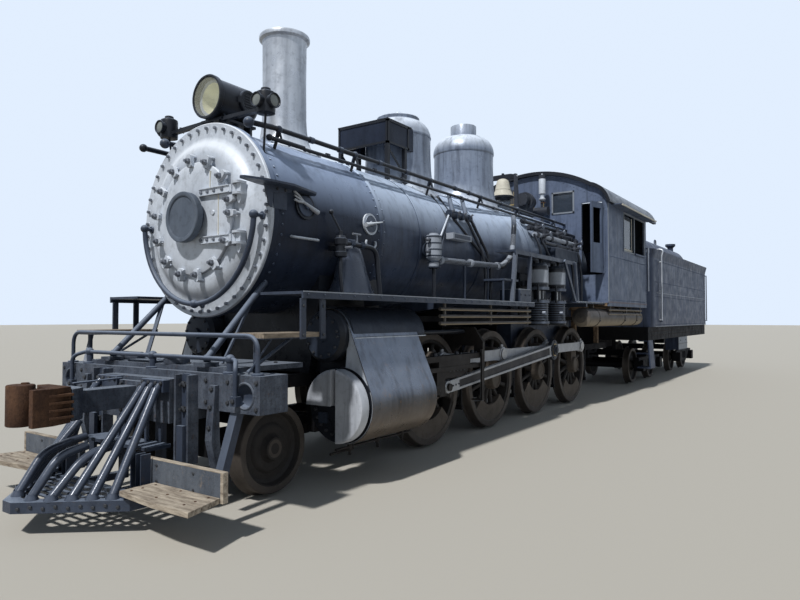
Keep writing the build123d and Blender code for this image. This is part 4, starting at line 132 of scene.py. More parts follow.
class Look:
    """A material in the making, with the few kinds of nodes that the finishes here are made of."""

    def __init__(self, name, constants):
        self.material = bpy.data.materials.new(name)
        self.material.use_nodes = True
        self.tree = self.material.node_tree
        self.set(constants)
        self.place = wire(self.tree, "TexCoord").outputs["Object"]

    def set(self, inputs):
        """Sets or links inputs of the surface shader."""
        fill_in(self.tree, self.tree.nodes["Principled BSDF"], inputs)

    def noise(self, size, stretch=(1, 1, 1), detail=6.0, roughness=0.6):
        """Noise in the object's own space."""
        mapping = wire(self.tree, "Mapping", {"Vector": self.place, "Scale": stretch})
        inputs = {"Vector": mapping.outputs[0], "Scale": size, "Detail": detail, "Roughness": roughness}
        return wire(self.tree, "TexNoise", inputs).outputs["Fac"]

    def ramp(self, value, low, high, top=1.0, bottom=0.0):
        """The value, mapped from low..high to bottom..top."""
        inputs = {"Value": value, "From Min": low, "From Max": high, "To Min": bottom, "To Max": top}
        return wire(self.tree, "MapRange", inputs).outputs[0]

    def blend(self, amount, under, over):
        """One colour laid over another by an amount."""
        under = (*under, 1) if isinstance(under, tuple) else under
        inputs = {"Factor": amount, "A": under, "B": (*over, 1)}
        return wire(self.tree, "Mix", inputs, data_type="RGBA").outputs["Result"]

    def gradient(self, value, *stops):
        """The value, turned into a colour between two stops of place and colour."""
        node = wire(self.tree, "ValToRGB", {"Fac": value})
        for element, (place, colour) in zip(node.color_ramp.elements, stops):
            element.position = place
            element.color = (*colour, 1)
        return node.outputs["Color"]

    def bump(self, height, strength, distance):
        """Fine relief."""
        inputs = {"Height": height, "Strength": strength, "Distance": distance}
        self.set({"Normal": wire(self.tree, "Bump", inputs).outputs[0]})


def painted(name, base, second, dirt, rust=None, metal=0.0, rough=0.5, scale=1.0, patches=0.5, streaks=0.3,
            spots=0.15, edge_wear_and_highlight=0.0, edge=None, bump=0.15, top_highlight=None, underside_dust_and_shade=None, shine=0.12):
    """Weathered paint or metal: patches, streaks, grime, rust, a painted highlight on tops, underside dust and painted
    shade, worn edges with a painted highlight.
    """
    look = Look(name, {"Metallic": metal, "Specular IOR Level": shine})
    geometry = wire(look.tree, "NewGeometry").outputs
    up = wire(look.tree, "SeparateXYZ", {0: geometry["Normal"]}).outputs["Z"]

    def noise(size, *rest):
        return look.noise(size * scale, *rest)

    even = (1, 1, 1)
    layers = [(second, noise(1.7), 0.35, 0.68, patches),
              (dirt, noise(1.0, (9, 9, 0.7), 4), 0.48, 0.72, streaks),
              (dirt, noise(14.0, even, 8, 0.7), 0.50, 0.75, patches * 0.8)]
    if rust:
        layers += [(rust, noise(3.1, (3, 3, 1.2), 7, 0.75), 0.60, 0.74, spots * 3),
                   (rust, noise(42.0, even, 3), 0.62, 0.70, spots * 2)]
    # Upward faces made lighter and bluer: a painted highlight of sun and sky.
    if top_highlight:
        layers += [(top_highlight, up, 0.10, 0.70, 0.92),
                   (dirt, noise(1.3, (7, 7, 0.8), 5), 0.50, 0.76, streaks * 0.8)]
    # Downward faces in another colour: brown dust on the jacket and the reservoirs, painted shade on the silver.
    if underside_dust_and_shade:
        layers += [(underside_dust_and_shade, up, 0.10, -0.75, 0.85)]
    # Pointy edges made lighter: partly worn paint, partly a painted highlight on the rims.
    if edge_wear_and_highlight:
        layers += [(edge, geometry["Pointiness"], 0.52, 0.60, edge_wear_and_highlight)]
    colour = base
    for over, value, low, high, top in layers:
        colour = look.blend(look.ramp(value, low, high, top), colour, over)
    dull = look.ramp(noise(6.0), 0.3, 0.7, min(1.0, rough + 0.16), max(0.05, rough - 0.1))
    look.set({"Base Color": colour, "Roughness": dull})
    look.bump(noise(30.0, even, 8, 0.65), bump, 0.01)
    return look.material


def timber(name, base, dark, stretch):
    """Weathered boards: long grain, checks and grey patches."""
    look = Look(name, {"Roughness": 0.85})
    grain = look.noise(3.0, stretch, 9, 0.7)
    look.set({"Base Color": look.gradient(grain, (0.36, dark), (0.62, base))})
    look.bump(grain, 0.5, 0.004)
    return look.material


def glass(name, colour, alpha, rough=0.08):
    """Dusty pane or lens: mostly clear, with a faint film of dirt."""
    look = Look(name, {"Base Color": (*colour, 1), "Roughness": rough, "IOR": 1.45})
    film = look.noise(4.0, (1, 1, 1), 2, 0.5)
    look.set({"Alpha": look.ramp(film, 0, 1, min(1.0, alpha + 0.3), alpha)})
    return look.material


# A colour given for tops in these finishes is a painted highlight of sun and sky, not fading.
GRAPHITE = painted(
    "graphite", (0.04, 0.053, 0.086), (0.085, 0.11, 0.165), (0.012, 0.015, 0.024), rust=(0.1, 0.068, 0.05),
    metal=0.1, rough=0.34, patches=0.55, streaks=0.5, spots=0.06, top_highlight=(0.66, 0.79, 1.0), shine=0.15)
SOOT = painted(
    "smokebox_black", (0.017, 0.023, 0.04), (0.04, 0.053, 0.085), (0.006, 0.008, 0.013),
    rust=(0.07, 0.05, 0.04), metal=0.1, rough=0.32, streaks=0.4, spots=0.05, top_highlight=(0.38, 0.48, 0.68))
# Silver: its colour for undersides is painted shade, and its colour for tops a painted highlight.
SILVER = painted(
    "silver", (0.5, 0.55, 0.625), (0.64, 0.695, 0.78), (0.15, 0.16, 0.18), rust=(0.3, 0.19, 0.12), metal=0.1,
    rough=0.46, patches=0.6, streaks=0.2, spots=0.05, top_highlight=(0.8, 0.85, 0.92), underside_dust_and_shade=(0.22, 0.225, 0.24))
BRIGHT = painted(
    "bright_silver", (0.36, 0.39, 0.44), (0.6, 0.635, 0.69), (0.13, 0.14, 0.16), metal=0.45, rough=0.32,
    patches=0.7, streaks=0.45, top_highlight=(0.8, 0.85, 0.92))
JACKET = painted(
    "jacket_silver", (0.083, 0.088, 0.1), (0.16, 0.168, 0.186), (0.026, 0.028, 0.033), rust=(0.26, 0.15, 0.07),
    metal=0.5, rough=0.3, patches=0.6, streaks=0.85, spots=0.28, top_highlight=(0.26, 0.31, 0.4),
    underside_dust_and_shade=(0.185, 0.145, 0.11))
BLACK = painted(
    "black_paint", (0.011, 0.013, 0.018), (0.028, 0.033, 0.044), (0.006, 0.006, 0.008), rough=0.32, streaks=0.2,
    top_highlight=(0.065, 0.078, 0.105), shine=0.2)
SLATE = painted(
    "slate_paint", (0.028, 0.038, 0.062), (0.066, 0.083, 0.12), (0.018, 0.022, 0.032), rust=(0.12, 0.075, 0.05),
    rough=0.38, patches=0.7, streaks=0.35, spots=0.1, bump=0.3, top_highlight=(0.17, 0.205, 0.27), shine=0.22)
CAB_PAINT = painted(
    "cab_paint", (0.082, 0.108, 0.17), (0.14, 0.176, 0.25), (0.026, 0.034, 0.052), rough=0.42, streaks=0.6)
# A lighter copy of the cab paint for the front wall: painted light, toned apart from the sides for the sun on that
# wall.
CAB_FRONT_LIT = painted(
    "cab_front_lit_paint", (0.1, 0.13, 0.205), (0.16, 0.2, 0.29), (0.03, 0.04, 0.06), rough=0.42, patches=0.6,
    streaks=0.6)
LAMP_GLASS = painted(
    "lamp_glass", (0.16, 0.175, 0.17), (0.3, 0.32, 0.29), (0.05, 0.055, 0.05), metal=0.1, rough=0.2,
    patches=0.6, streaks=0.0, shine=0.4)
TENDER_PAINT = painted(
    "tender_paint", (0.042, 0.056, 0.098), (0.088, 0.112, 0.172), (0.016, 0.02, 0.029), rough=0.42,
    patches=0.45, streaks=0.8)
IRON = painted(
    "worn_iron", (0.022, 0.02, 0.02), (0.046, 0.041, 0.038), (0.007, 0.007, 0.007), rust=(0.08, 0.05, 0.034),
    rough=0.56, patches=0.6, streaks=0.15, spots=0.16)
UNDER = painted(
    "undercarriage", (0.009, 0.0095, 0.012), (0.022, 0.022, 0.023), (0.004, 0.004, 0.005),
    rust=(0.045, 0.03, 0.022), rough=0.6, patches=0.6, streaks=0.15, spots=0.1, shine=0.05)
TYRE = painted(
    "wheel_rim", (0.06, 0.052, 0.047), (0.1, 0.087, 0.077), (0.022, 0.02, 0.018), metal=0.1, patches=0.6,
    streaks=0.0)
STEEL = painted(
    "rod_steel", (0.34, 0.345, 0.35), (0.46, 0.46, 0.46), (0.15, 0.14, 0.13), rust=(0.24, 0.16, 0.11),
    metal=0.7, rough=0.38, patches=0.6, spots=0.08)
FLUTE = painted(
    "rod_flute", (0.03, 0.029, 0.032), (0.055, 0.052, 0.055), (0.012, 0.012, 0.012), metal=0.3, rough=0.45)
RUST = painted(
    "rusted_iron", (0.06, 0.034, 0.025), (0.15, 0.08, 0.046), (0.018, 0.013, 0.012), metal=0.05, rough=0.82,
    scale=2.5, patches=0.9, bump=0.7)
TAN = painted(
    "tan_paint", (0.068, 0.064, 0.064), (0.11, 0.1, 0.094), (0.026, 0.025, 0.025), streaks=0.2,
    underside_dust_and_shade=(0.3, 0.255, 0.19))
CREAM = painted("cream_paint", (0.6, 0.58, 0.5), (0.72, 0.7, 0.62), (0.3, 0.28, 0.24), rough=0.45, patches=0.4)
BRASS = painted(
    "brass", (0.36, 0.27, 0.13), (0.46, 0.36, 0.19), (0.14, 0.1, 0.05), metal=0.85, rough=0.36, scale=3)
REFLECTOR = painted(
    "reflector", (0.66, 0.66, 0.5), (0.78, 0.78, 0.62), (0.46, 0.46, 0.34), metal=0.2, rough=0.3, patches=0.4,
    streaks=0.1, bump=0.03)
BOARD = timber("weathered_wood", (0.47, 0.41, 0.33), (0.13, 0.1, 0.075), (9, 1.2, 9))
BOARD_LONG = timber("weathered_plank", (0.34, 0.28, 0.215), (0.1, 0.08, 0.06), (1.2, 9, 9))
FLOORING = timber("cab_boards", (0.2, 0.14, 0.09), (0.07, 0.05, 0.035), (1.0, 6, 6))
BOLT = painted(
    "bolt_heads", (0.045, 0.048, 0.055), (0.085, 0.09, 0.1), (0.02, 0.02, 0.022), metal=0.4, rough=0.42,
    streaks=0.0)
NUT = painted(
    "nut_grey", (0.115, 0.126, 0.152), (0.24, 0.26, 0.3), (0.05, 0.053, 0.06), metal=0.3, rough=0.4, scale=3.0,
    patches=0.8, streaks=0.0)
DRUM = painted(
    "drum_slate", (0.08, 0.099, 0.132), (0.13, 0.155, 0.195), (0.035, 0.04, 0.05), rough=0.45, patches=0.7)
DOME = painted(
    "dome_grey", (0.19, 0.23, 0.31), (0.31, 0.36, 0.45), (0.045, 0.056, 0.08), metal=0.2, rough=0.34,
    patches=0.6, streaks=0.8, top_highlight=(0.8, 0.88, 1.0), shine=0.3)
WHEEL = painted(
    "wheel_iron", (0.024, 0.0225, 0.0225), (0.05, 0.045, 0.042), (0.009, 0.009, 0.009), rough=0.6, patches=0.6,
    streaks=0.0)
HUB = painted(
    "hub_dust", (0.095, 0.082, 0.071), (0.15, 0.128, 0.11), (0.036, 0.032, 0.029), rough=0.66, patches=0.7,
    streaks=0.1)
RODS = painted(
    "rod_paint", (0.36, 0.375, 0.4), (0.47, 0.48, 0.5), (0.15, 0.15, 0.155), rust=(0.22, 0.15, 0.1), metal=0.35,
    rough=0.42, patches=0.6, streaks=0.2, spots=0.06)
CAP = painted(
    "cap_sheet", (0.03, 0.038, 0.056), (0.06, 0.074, 0.102), (0.014, 0.016, 0.022), metal=0.1, rough=0.42,
    patches=0.6)
CHEST_PAINT = painted(
    "chest_slate", (0.022, 0.03, 0.048), (0.056, 0.072, 0.104), (0.015, 0.017, 0.022), rough=0.44)
FEED = painted("feed_pipe", (0.29, 0.325, 0.385), (0.4, 0.44, 0.5), (0.12, 0.13, 0.15), rough=0.45, streaks=0.1)
CAB_EDGE = painted(
    "cab_edge", (0.22, 0.245, 0.285), (0.3, 0.33, 0.37), (0.1, 0.11, 0.125), metal=0.15, rough=0.45)
CAB_STRIP = painted("cab_strip", (0.12, 0.105, 0.125), (0.17, 0.145, 0.165), (0.06, 0.05, 0.06), metal=0.1)
STRAP = painted(
    "strap_iron", (0.16, 0.165, 0.18), (0.24, 0.245, 0.26), (0.06, 0.06, 0.065), metal=0.2, rough=0.45)
BIG_END = painted(
    "big_end", (0.04, 0.045, 0.058), (0.07, 0.078, 0.095), (0.016, 0.017, 0.02), metal=0.2, rough=0.45)
# The cover's pale rims are partly worn paint and partly a painted highlight.
COVER = painted(
    "cover_silver", (0.4, 0.43, 0.49), (0.52, 0.555, 0.615), (0.12, 0.13, 0.15), metal=0.1, rough=0.42,
    patches=0.6, streaks=0.65, edge_wear_and_highlight=0.6, edge=(0.62, 0.64, 0.68))
PIPE = painted(
    "pilot_pipe", (0.046, 0.059, 0.09), (0.085, 0.104, 0.142), (0.04, 0.046, 0.06), rust=(0.14, 0.085, 0.06),
    metal=0.1, rough=0.26, streaks=0.2, spots=0.06, shine=0.4)
CAST = painted(
    "chipped_casting", (0.044, 0.054, 0.076), (0.12, 0.142, 0.182), (0.012, 0.013, 0.017),
    rust=(0.13, 0.075, 0.05), scale=3.0, patches=1.0, spots=0.3, bump=0.9, top_highlight=(0.19, 0.22, 0.27))
SIGN = painted(
    "board_slate", (0.085, 0.1, 0.125), (0.145, 0.165, 0.195), (0.035, 0.04, 0.05), rust=(0.28, 0.22, 0.16),
    rough=0.6, scale=1.6, patches=0.8, spots=0.2, bump=0.4)
PUMP = painted(
    "pump_grey", (0.085, 0.102, 0.14), (0.16, 0.186, 0.235), (0.026, 0.03, 0.039), metal=0.1, rough=0.42,
    patches=0.6, streaks=0.4, top_highlight=(0.46, 0.51, 0.6))
TENDER_LIGHT = painted(
    "tender_light", (0.2, 0.225, 0.27), (0.3, 0.325, 0.37), (0.08, 0.09, 0.11), metal=0.1, rough=0.45)
PANE = glass("window_glass", (0.045, 0.06, 0.085), 0.62)
LENS = glass("lamp_lens", (0.78, 0.8, 0.66), 0.06, 0.04)


class Piece:
    """Collects the faces of one visible piece, in engine coordinates, with a material for each form.

    In a loop over piece.sides() every Y is given for the left side and is mirrored for the right one.
    """

    def __init__(self, name):
        self.name = name
        self.verts, self.faces, self.marks, self.materials = [], [], [], []
        self.side = LEFT

    def sides(self):
        """The left side, then the right side."""
        for self.side in SIDES:
            yield self.side
        self.side = LEFT

    def here(self, point):
        """A point or direction, on the side in hand."""
        x, y, z = point
        return Vector((x, y * self.side, z))

    def add(self, verts, faces, material):
        """Faces with their own corners, in final coordinates."""
        start = len(self.verts)
        if material not in self.materials:
            self.materials.append(material)
        self.verts.extend(Vector(v) for v in verts)
        self.faces.extend([start + i for i in face] for face in faces)
        self.marks.extend([self.materials.index(material)] * len(faces))

    def loft(self, rings, material, start=True, end=True, closed=False, wrap=True):
        """A skin over rings of as many points each, with or without a face at its start and its end."""
        count = len(rings[0])
        faces = [list(range(count))[::-1]] if start else []
        if end:
            faces.append([(len(rings) - 1) * count + i for i in range(count)])
        for ring in range(len(rings) if closed else len(rings) - 1):
            low, high = ring * count, (ring + 1) % len(rings) * count
            for i in range(count if wrap else count - 1):
                after = (i + 1) % count
                faces.append((low + i, low + after, high + after, high + i))
        self.add([v for ring in rings for v in ring], faces, material)

    def prism(self, points, along, span, material):
        """A flat shape pushed along X, Y or Z between two coordinates."""
        if along == "y":
            rings = [[self.here((a, c, b)) for a, b in points] for c in span]
        elif along == "x":
            rings = [[self.here((c, a, b)) for a, b in points] for c in span]
        else:
            rings = [[self.here((a, b, c)) for a, b in points] for c in span]
        self.loft(rings, material)

    def box(self, x_range, y_range, z_range, material):
        """A square-edged block between pairs of coordinates."""
        corners = [self.here(corner) for corner in zip(x_range, y_range, z_range)]
        (x0, x1), (y0, y1), (z0, z1) = (sorted(pair) for pair in zip(*corners))
        verts = [(x, y, z) for x in (x0, x1) for y in (y0, y1) for z in (z0, z1)]
        faces = [(0, 1, 3, 2), (4, 6, 7, 5), (0, 4, 5, 1), (2, 3, 7, 6), (0, 2, 6, 4), (1, 5, 7, 3)]
        self.add(verts, faces, material)

    def boxes(self, material, *rows):
        """Blocks, each given as two X, two Y and two Z."""
        for x0, x1, y0, y1, z0, z1 in rows:
            self.box((x0, x1), (y0, y1), (z0, z1), material)

    def lathe(self, profile, centre, along, material, segments=48, closed=False):
        """A body turned about an axis, from points of place along the axis and radius."""
        axis = Vector([along == letter for letter in "xyz"])
        up = Vector((1, 0, 0)) if along == "z" else Vector((0, 0, 1))
        across = axis.cross(up)
        centre = self.here(centre)
        sign = self.side if along == "y" else 1
        turns = [2 * math.pi * step / segments for step in range(segments)]
        arms = [across * math.cos(turn) + up * math.sin(turn) for turn in turns]
        rings = [[centre + axis * place * sign + arm * radius for arm in arms] for place, radius in profile]
        self.loft(rings, material, False, False, closed)

    def disc(self, centre, along, radius, material, depth, segments=32):
        """A round plate with a bevelled rim, from its back face along an axis."""
        bevel = min(depth * 0.4, radius * 0.15)
        profile = [(0, 0), (0, radius), (depth - bevel, radius), (depth, radius - bevel), (depth, 0)]
        self.lathe(profile, centre, along, material, segments)

    def ball(self, centre, radius, material, steps=10):
        """A round knob."""
        turns = [math.pi * i / steps for i in range(steps + 1)]
        self.lathe([(-radius * math.cos(t), radius * math.sin(t)) for t in turns], centre, "z", material, 20)

    def rod(self, start, end, radius, material, sides=14):
        """A round rod between two points, closed at both ends."""
        self.tube([start, end], radius, material, sides)

    def tube(self, points, radius, material, sides=12, end_radius=None):
        """A round tube along a run of points."""
        points = [self.here(p) for p in points]
        end_radius = radius if end_radius is None else end_radius
        last = len(points) - 1
        ways = [(points[min(i + 1, last)] - points[max(i - 1, 0)]).normalized() for i in range(last + 1)]
        across = ways[0].orthogonal().normalized()
        rings = []
        for i, (point, way) in enumerate(zip(points, ways)):
            if i:
                across = (across - way * across.dot(way)).normalized()
            size = radius + (end_radius - radius) * i / last
            rings.append(polygon(point, across, way.cross(across), size, sides))
        self.loft(rings, material)

    def bar(self, start, end, width, depth, material):
        """A flat bar between two points: width is level and across it, depth is the other way."""
        start, end = self.here(start), self.here(end)
        way = (end - start).normalized()
        level = Vector((0, 0, 1)).cross(way)
        level = level.normalized() if level.length > 0.001 else Vector((0, 1, 0))
        wide, deep = level * width / 2, way.cross(level) * depth / 2
        self.loft([[spot - wide - deep, spot + wide - deep, spot + wide + deep, spot - wide + deep]
                   for spot in (start, end)], material)

    def bolt(self, spot, normal, radius, height, material, sides=6):
        """A bolt head or rivet on a face."""
        spot, normal = self.here(spot), self.here(normal).normalized()
        across = normal.orthogonal().normalized()
        rings = [polygon(spot + normal * lift, across, normal.cross(across), radius * size, sides)
                 for lift, size in ((0, 1.0), (height * 0.7, 1.0), (height, 0.72))]
        self.loft(rings, material, start=False)

    def bolts(self, material, normal, radius, height, *spots, sides=6):
        """Equal bolt heads at several spots."""
        for spot in spots:
            self.bolt(spot, normal, radius, height, material, sides)

    def rivets(self, start, end, count, normal, material, radius=0.011, height=0.006):
        """A straight row of rivets."""
        start, end = Vector(start), Vector(end)
        for i in range(count):
            self.bolt(start.lerp(end, i / (count - 1)), normal, radius, height, material, 5)

    def finish(self, body, replaced=(), bevel=0.0, angle=35, slot=None):
        """Makes the object, shifts it into the row frame and hangs it on a body."""
        mesh = bpy.data.meshes.new(self.name)
        mesh.from_pydata([v + SHIFT for v in self.verts], [], self.faces)
        mesh.polygons.foreach_set("material_index", self.marks)
        for material in self.materials:
            mesh.materials.append(material)
        work = bmesh.new()
        work.from_mesh(mesh)
        bmesh.ops.remove_doubles(work, verts=work.verts, dist=1e-6)
        bmesh.ops.recalc_face_normals(work, faces=work.faces)
        work.to_mesh(mesh)
        work.free()
        mesh.polygons.foreach_set("use_smooth", [True] * len(mesh.polygons))
        mesh.set_sharp_from_angle(angle=math.radians(angle))
        piece = bpy.data.objects.new(self.name, mesh)
        bpy.context.scene.collection.objects.link(piece)
        if bevel:
            edge = piece.modifiers.new("edges", "BEVEL")
            edge.width = bevel
            edge.segments = 2
            edge.limit_method = "ANGLE"
            edge.angle_limit = math.radians(40)
            edge.harden_normals = True
        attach(piece, body)
        if replaced:
            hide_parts(*replaced)


def polygon(centre, across, other, radius, sides):
    """Corners of a regular polygon."""
    turns = [2 * math.pi * step / sides for step in range(sides)]
    return [centre + (across * math.cos(turn) + other * math.sin(turn)) * radius for turn in turns]


def rounded(points, radius, steps=5):
    """The run of points with each corner rounded off."""
    points = [Vector(p) for p in points]
    run = [points[0]]
    for before, corner, after in zip(points, points[1:], points[2:]):
        back, ahead = before - corner, after - corner
        reach = min(radius, back.length * 0.45, ahead.length * 0.45)
        start, end = corner + back.normalized() * reach, corner + ahead.normalized() * reach
        for step in range(steps + 1):
            t = step / steps
            run.append(start * (1 - t) ** 2 + corner * 2 * t * (1 - t) + end * t * t)
    return run + [points[-1]]


def arc(centre, radius, start, end, steps):
    """Points along an arc, as pairs."""
    turns = [math.radians(start + (end - start) * i / steps) for i in range(steps + 1)]
    return [(centre[0] + radius * math.cos(turn), centre[1] + radius * math.sin(turn)) for turn in turns]


def circle_spots(count, radius, start=0.0, end=360.0):
    """Offsets spread over the angles from start to end, as pairs; a whole turn leaves out its last one."""
    return arc((0, 0), radius, start, end, count if end - start == 360 else count - 1)[:count]


def spun(points, way, centre):
    """Pairs turned so that their first axis lies along a unit direction, then moved to a centre."""
    (u, v), (p, q) = way, centre
    return [(p + a * u - b * v, q + a * v + b * u) for a, b in points]


# The boiler: height of its middle line and the radius of each part
BOILER_Z = 2.49
AXIS = (0, 0, BOILER_Z)
SMOKEBOX_R, COURSE_R, FIREBOX_R = 0.885, 0.872, 0.96


def skin_z(y, radius):
    """Height of the boiler's skin at a distance from the middle plane."""
    return BOILER_Z + math.sqrt(max(radius ** 2 - y ** 2, 0.0001))


def skin_spot(x, angle, radius, lift=0.0):
    """A point on the boiler's skin, with the angle measured up from the left side, and its normal."""
    normal = Vector((0, math.cos(math.radians(angle)), math.sin(math.radians(angle))))
    return Vector((x, 0, BOILER_Z)) + normal * (radius + lift), normal


def band(piece, x, radius, width, lift, material):
    """A flat band round the boiler."""
    half = width / 2
    profile = [(x - half, radius - 0.01), (x - half, radius + lift * 0.6), (x - half + lift, radius + lift),
               (x + half - lift, radius + lift), (x + half, radius + lift * 0.6), (x + half, radius - 0.01)]
    piece.lathe(profile, AXIS, "x", material, 96, closed=True)


def stand_on_skin(piece, x, rings, radius, material, segments=64):
    """A turned body standing on the boiler. Each ring has a radius, a height and how far it follows the skin."""
    run = []
    for size, height, hug in rings:
        ring = []
        for across, along in circle_spots(segments, size):
            level = skin_z(min(abs(along), radius * 0.98), radius)
            lift = height if hug >= 1 else 0
            ring.append((x + across, along, hug * level + (1 - hug) * height + lift))
        run.append(ring)
    piece.loft(run, material)


FORWARD, OUTWARD, UPWARD = (1, 0, 0), (0, 1, 0), (0, 0, 1)
HINGE_LEVELS = (BOILER_Z - 0.22, BOILER_Z + 0.22)


def smokebox_front():
    """Bolted ring and bulged plate round the door, with the hinge lugs."""
    piece = Piece("smokebox_face")
    profile = [(6.0, 0.888), (6.0, 0.922), (6.004, 0.926), (6.07, 0.926), (6.078, 0.918), (6.078, 0.792),
               (6.083, 0.768), (6.1, 0.738), (6.124, 0.706), (6.142, 0.672), (6.15, 0.63), (6.15, 0.506),
               (6.146, 0.5), (6.11, 0.5), (6.1, 0.64), (6.05, 0.76), (6.03, 0.888)]
    piece.lathe(profile, AXIS, "x", SILVER, 128, closed=True)
    for y, z in circle_spots(44, 0.873, 4):
        piece.bolt((6.078, y, BOILER_Z + z), FORWARD, 0.023, 0.005, SILVER, 12)
        piece.bolt((6.083, y, BOILER_Z + z), FORWARD, 0.0165, 0.026, NUT)
    piece.lathe([(5.984, 0.88), (5.984, 0.89), (6.0, 0.89), (6.0, 0.88)], AXIS, "x", BLACK, 96)
    piece.lathe([(5.998, 0.925), (5.998, 0.9285), (6.046, 0.9285), (6.05, 0.925)], AXIS, "x", SOOT, 128)
    fork = [(6.14, 0.556), (6.206, 0.556), (6.238, 0.6), (6.242, 0.63), (6.236, 0.656), (6.216, 0.67), (6.14, 0.67)]
    for z in HINGE_LEVELS:
        piece.prism(fork, "z", (z - 0.06, z - 0.038), SILVER)
        piece.prism(fork, "z", (z + 0.038, z + 0.06), SILVER)
        piece.box((6.14, 6.204), (0.614, 0.666), (z - 0.038, z + 0.038), SILVER)
        piece.rod((6.184, 0.575, z - 0.07), (6.184, 0.575, z + 0.07), 0.014, NUT)
        web = [(0.604, z - 0.05), (0.668, z - 0.05), (0.664, z - 0.096), (0.64, z - 0.142), (0.612, z - 0.11)]
        piece.prism(web, "x", (6.132, 6.196), SILVER)
    piece.finish("engine", ["smokebox_front"], slot="silver_paint")


def door_dogs(piece):
    """Clamps round the edge of the smokebox door, each with its stud, nut and ear."""
    outline = [(0.484, 0.018), (0.496, 0.03), (0.56, 0.034), (0.596, 0.028), (0.606, 0.018)]
    outline += [(reach, -across) for reach, across in reversed(outline)]
    for way in circle_spots(14, 1, 360 / 28):
        foot, stud, ear_start, ear_end = spun([(0.59, 0), (0.54, 0), (0.505, -0.034), (0.505, 0.034)], way, AXIS[1:])
        piece.prism(spun(outline, way, AXIS[1:]), "x", (6.192, 6.232), SILVER)
        piece.rod((6.158, *foot), (6.2, *foot), 0.02, SILVER, 10)
        piece.rod((6.2, *stud), (6.282, *stud), 0.014, NUT, 10)
        piece.bolt((6.232, *stud), FORWARD, 0.03, 0.03, NUT)
        piece.rod((6.205, *ear_start), (6.205, *ear_end), 0.018, SILVER, 10)


def smokebox_door():
    """Dished door with its dogs, two strap hinges and the blank number drum."""
    piece = Piece("smokebox_door_plate")
    piece.lathe([(6.1505, 0), (6.1505, 0.528), (6.176, 0.532), (6.186, 0.526), (6.194, 0.5), (6.202, 0.43),
                 (6.207, 0.33), (6.21, 0.175), (6.21, 0)], AXIS, "x", SILVER, 96)
    piece.lathe([(6.2, 0), (6.2, 0.176), (6.262, 0.174), (6.262, 0)], AXIS, "x", SLATE, 48)
    piece.lathe([(6.259, 0), (6.259, 0.226), (6.265, 0.234), (6.322, 0.235), (6.329, 0.229), (6.329, 0.2),
                 (6.325, 0.194), (6.315, 0.19), (6.315, 0)], AXIS, "x", DRUM, 64)
    door_dogs(piece)
    for z in HINGE_LEVELS:
        strap = [(0.11, z - 0.02), (0.125, z - 0.032), (0.545, z - 0.036), (0.545, z + 0.036), (0.125, z + 0.032),
                 (0.11, z + 0.02)]
        piece.prism(strap, "x", (6.19, 6.228), SILVER)
        piece.boxes(SILVER, (6.228, 6.24, 0.13, 0.545, z - 0.034, z - 0.026),
                    (6.228, 6.24, 0.13, 0.545, z + 0.026, z + 0.034),
                    (6.168, 6.226, 0.54, 0.57, z - 0.034, z + 0.034))
        piece.bolts(NUT, FORWARD, 0.017, 0.016, *((6.228, y, z) for y in (0.16, 0.25, 0.34, 0.45)))
        piece.rod((6.184, 0.575, z - 0.034), (6.184, 0.575, z + 0.034), 0.031, SILVER, 20)
    piece.boxes(CREAM, (6.196, 6.21, 0.253, 0.261, 2.737, 2.905), (6.196, 6.21, 0.371, 0.379, 2.3, 2.674))
    piece.disc((6.206, 0.306, 2.517), "x", 0.022, SILVER, 0.012)
    piece.finish("smokebox_door", ["smokebox_door"], slot="silver_paint")


def front_rail():
    """Pipe round the lower half of the front on its studs, the wing on the left and the rail on the right."""
    piece = Piece("front_rail_pipe")
    piece.tube([(6.17, y, z) for y, z in arc(AXIS[1:], 0.8, 180, 360, 36)], 0.025, SLATE)
    for y, z in arc(AXIS[1:], 0.8, 182, 358, 2):
        piece.rod((6.08, y * 1.02, z), (6.18, y, z), 0.019, SLATE)
        piece.ball((6.172, y, z), 0.041, SLATE)
        piece.disc((6.079, y * 1.02, z), "x", 0.038, SLATE, 0.014)
    wing = [(6.46, 0.955), (6.44, 0.925), (6.21, 0.875), (5.8, 0.842), (5.54, 0.85), (5.5, 0.905),
            (5.56, 0.975), (5.96, 1.078), (6.24, 1.05), (6.44, 0.985)]
    piece.prism(wing, "z", (2.712, 2.731), SLATE)
    web = [(5.84, 2.713), (6.18, 2.713), (6.12, 2.53), (6.084, 2.52), (6.08, 2.65), (5.86, 2.68)]
    piece.prism(web, "y", (0.928, 0.944), SLATE)
    piece.box((5.9, 6.06), (0.905, 0.93), (2.52, 2.71), SLATE)
    piece.bolts(BOLT, OUTWARD, 0.014, 0.012, (5.93, 0.944, 2.69), (6.03, 0.944, 2.69))
    piece.rod((6.09, -0.95, 3.325), (5.62, -0.95, 3.325), 0.026, BLACK)
    piece.ball((6.1, -0.95, 3.325), 0.042, BLACK)
    piece.rod((5.7, -0.95, 3.325), (5.7, -0.62, 3.11), 0.02, BLACK)
    piece.finish("engine", ["smokebox_rails"], slot="slate_paint")


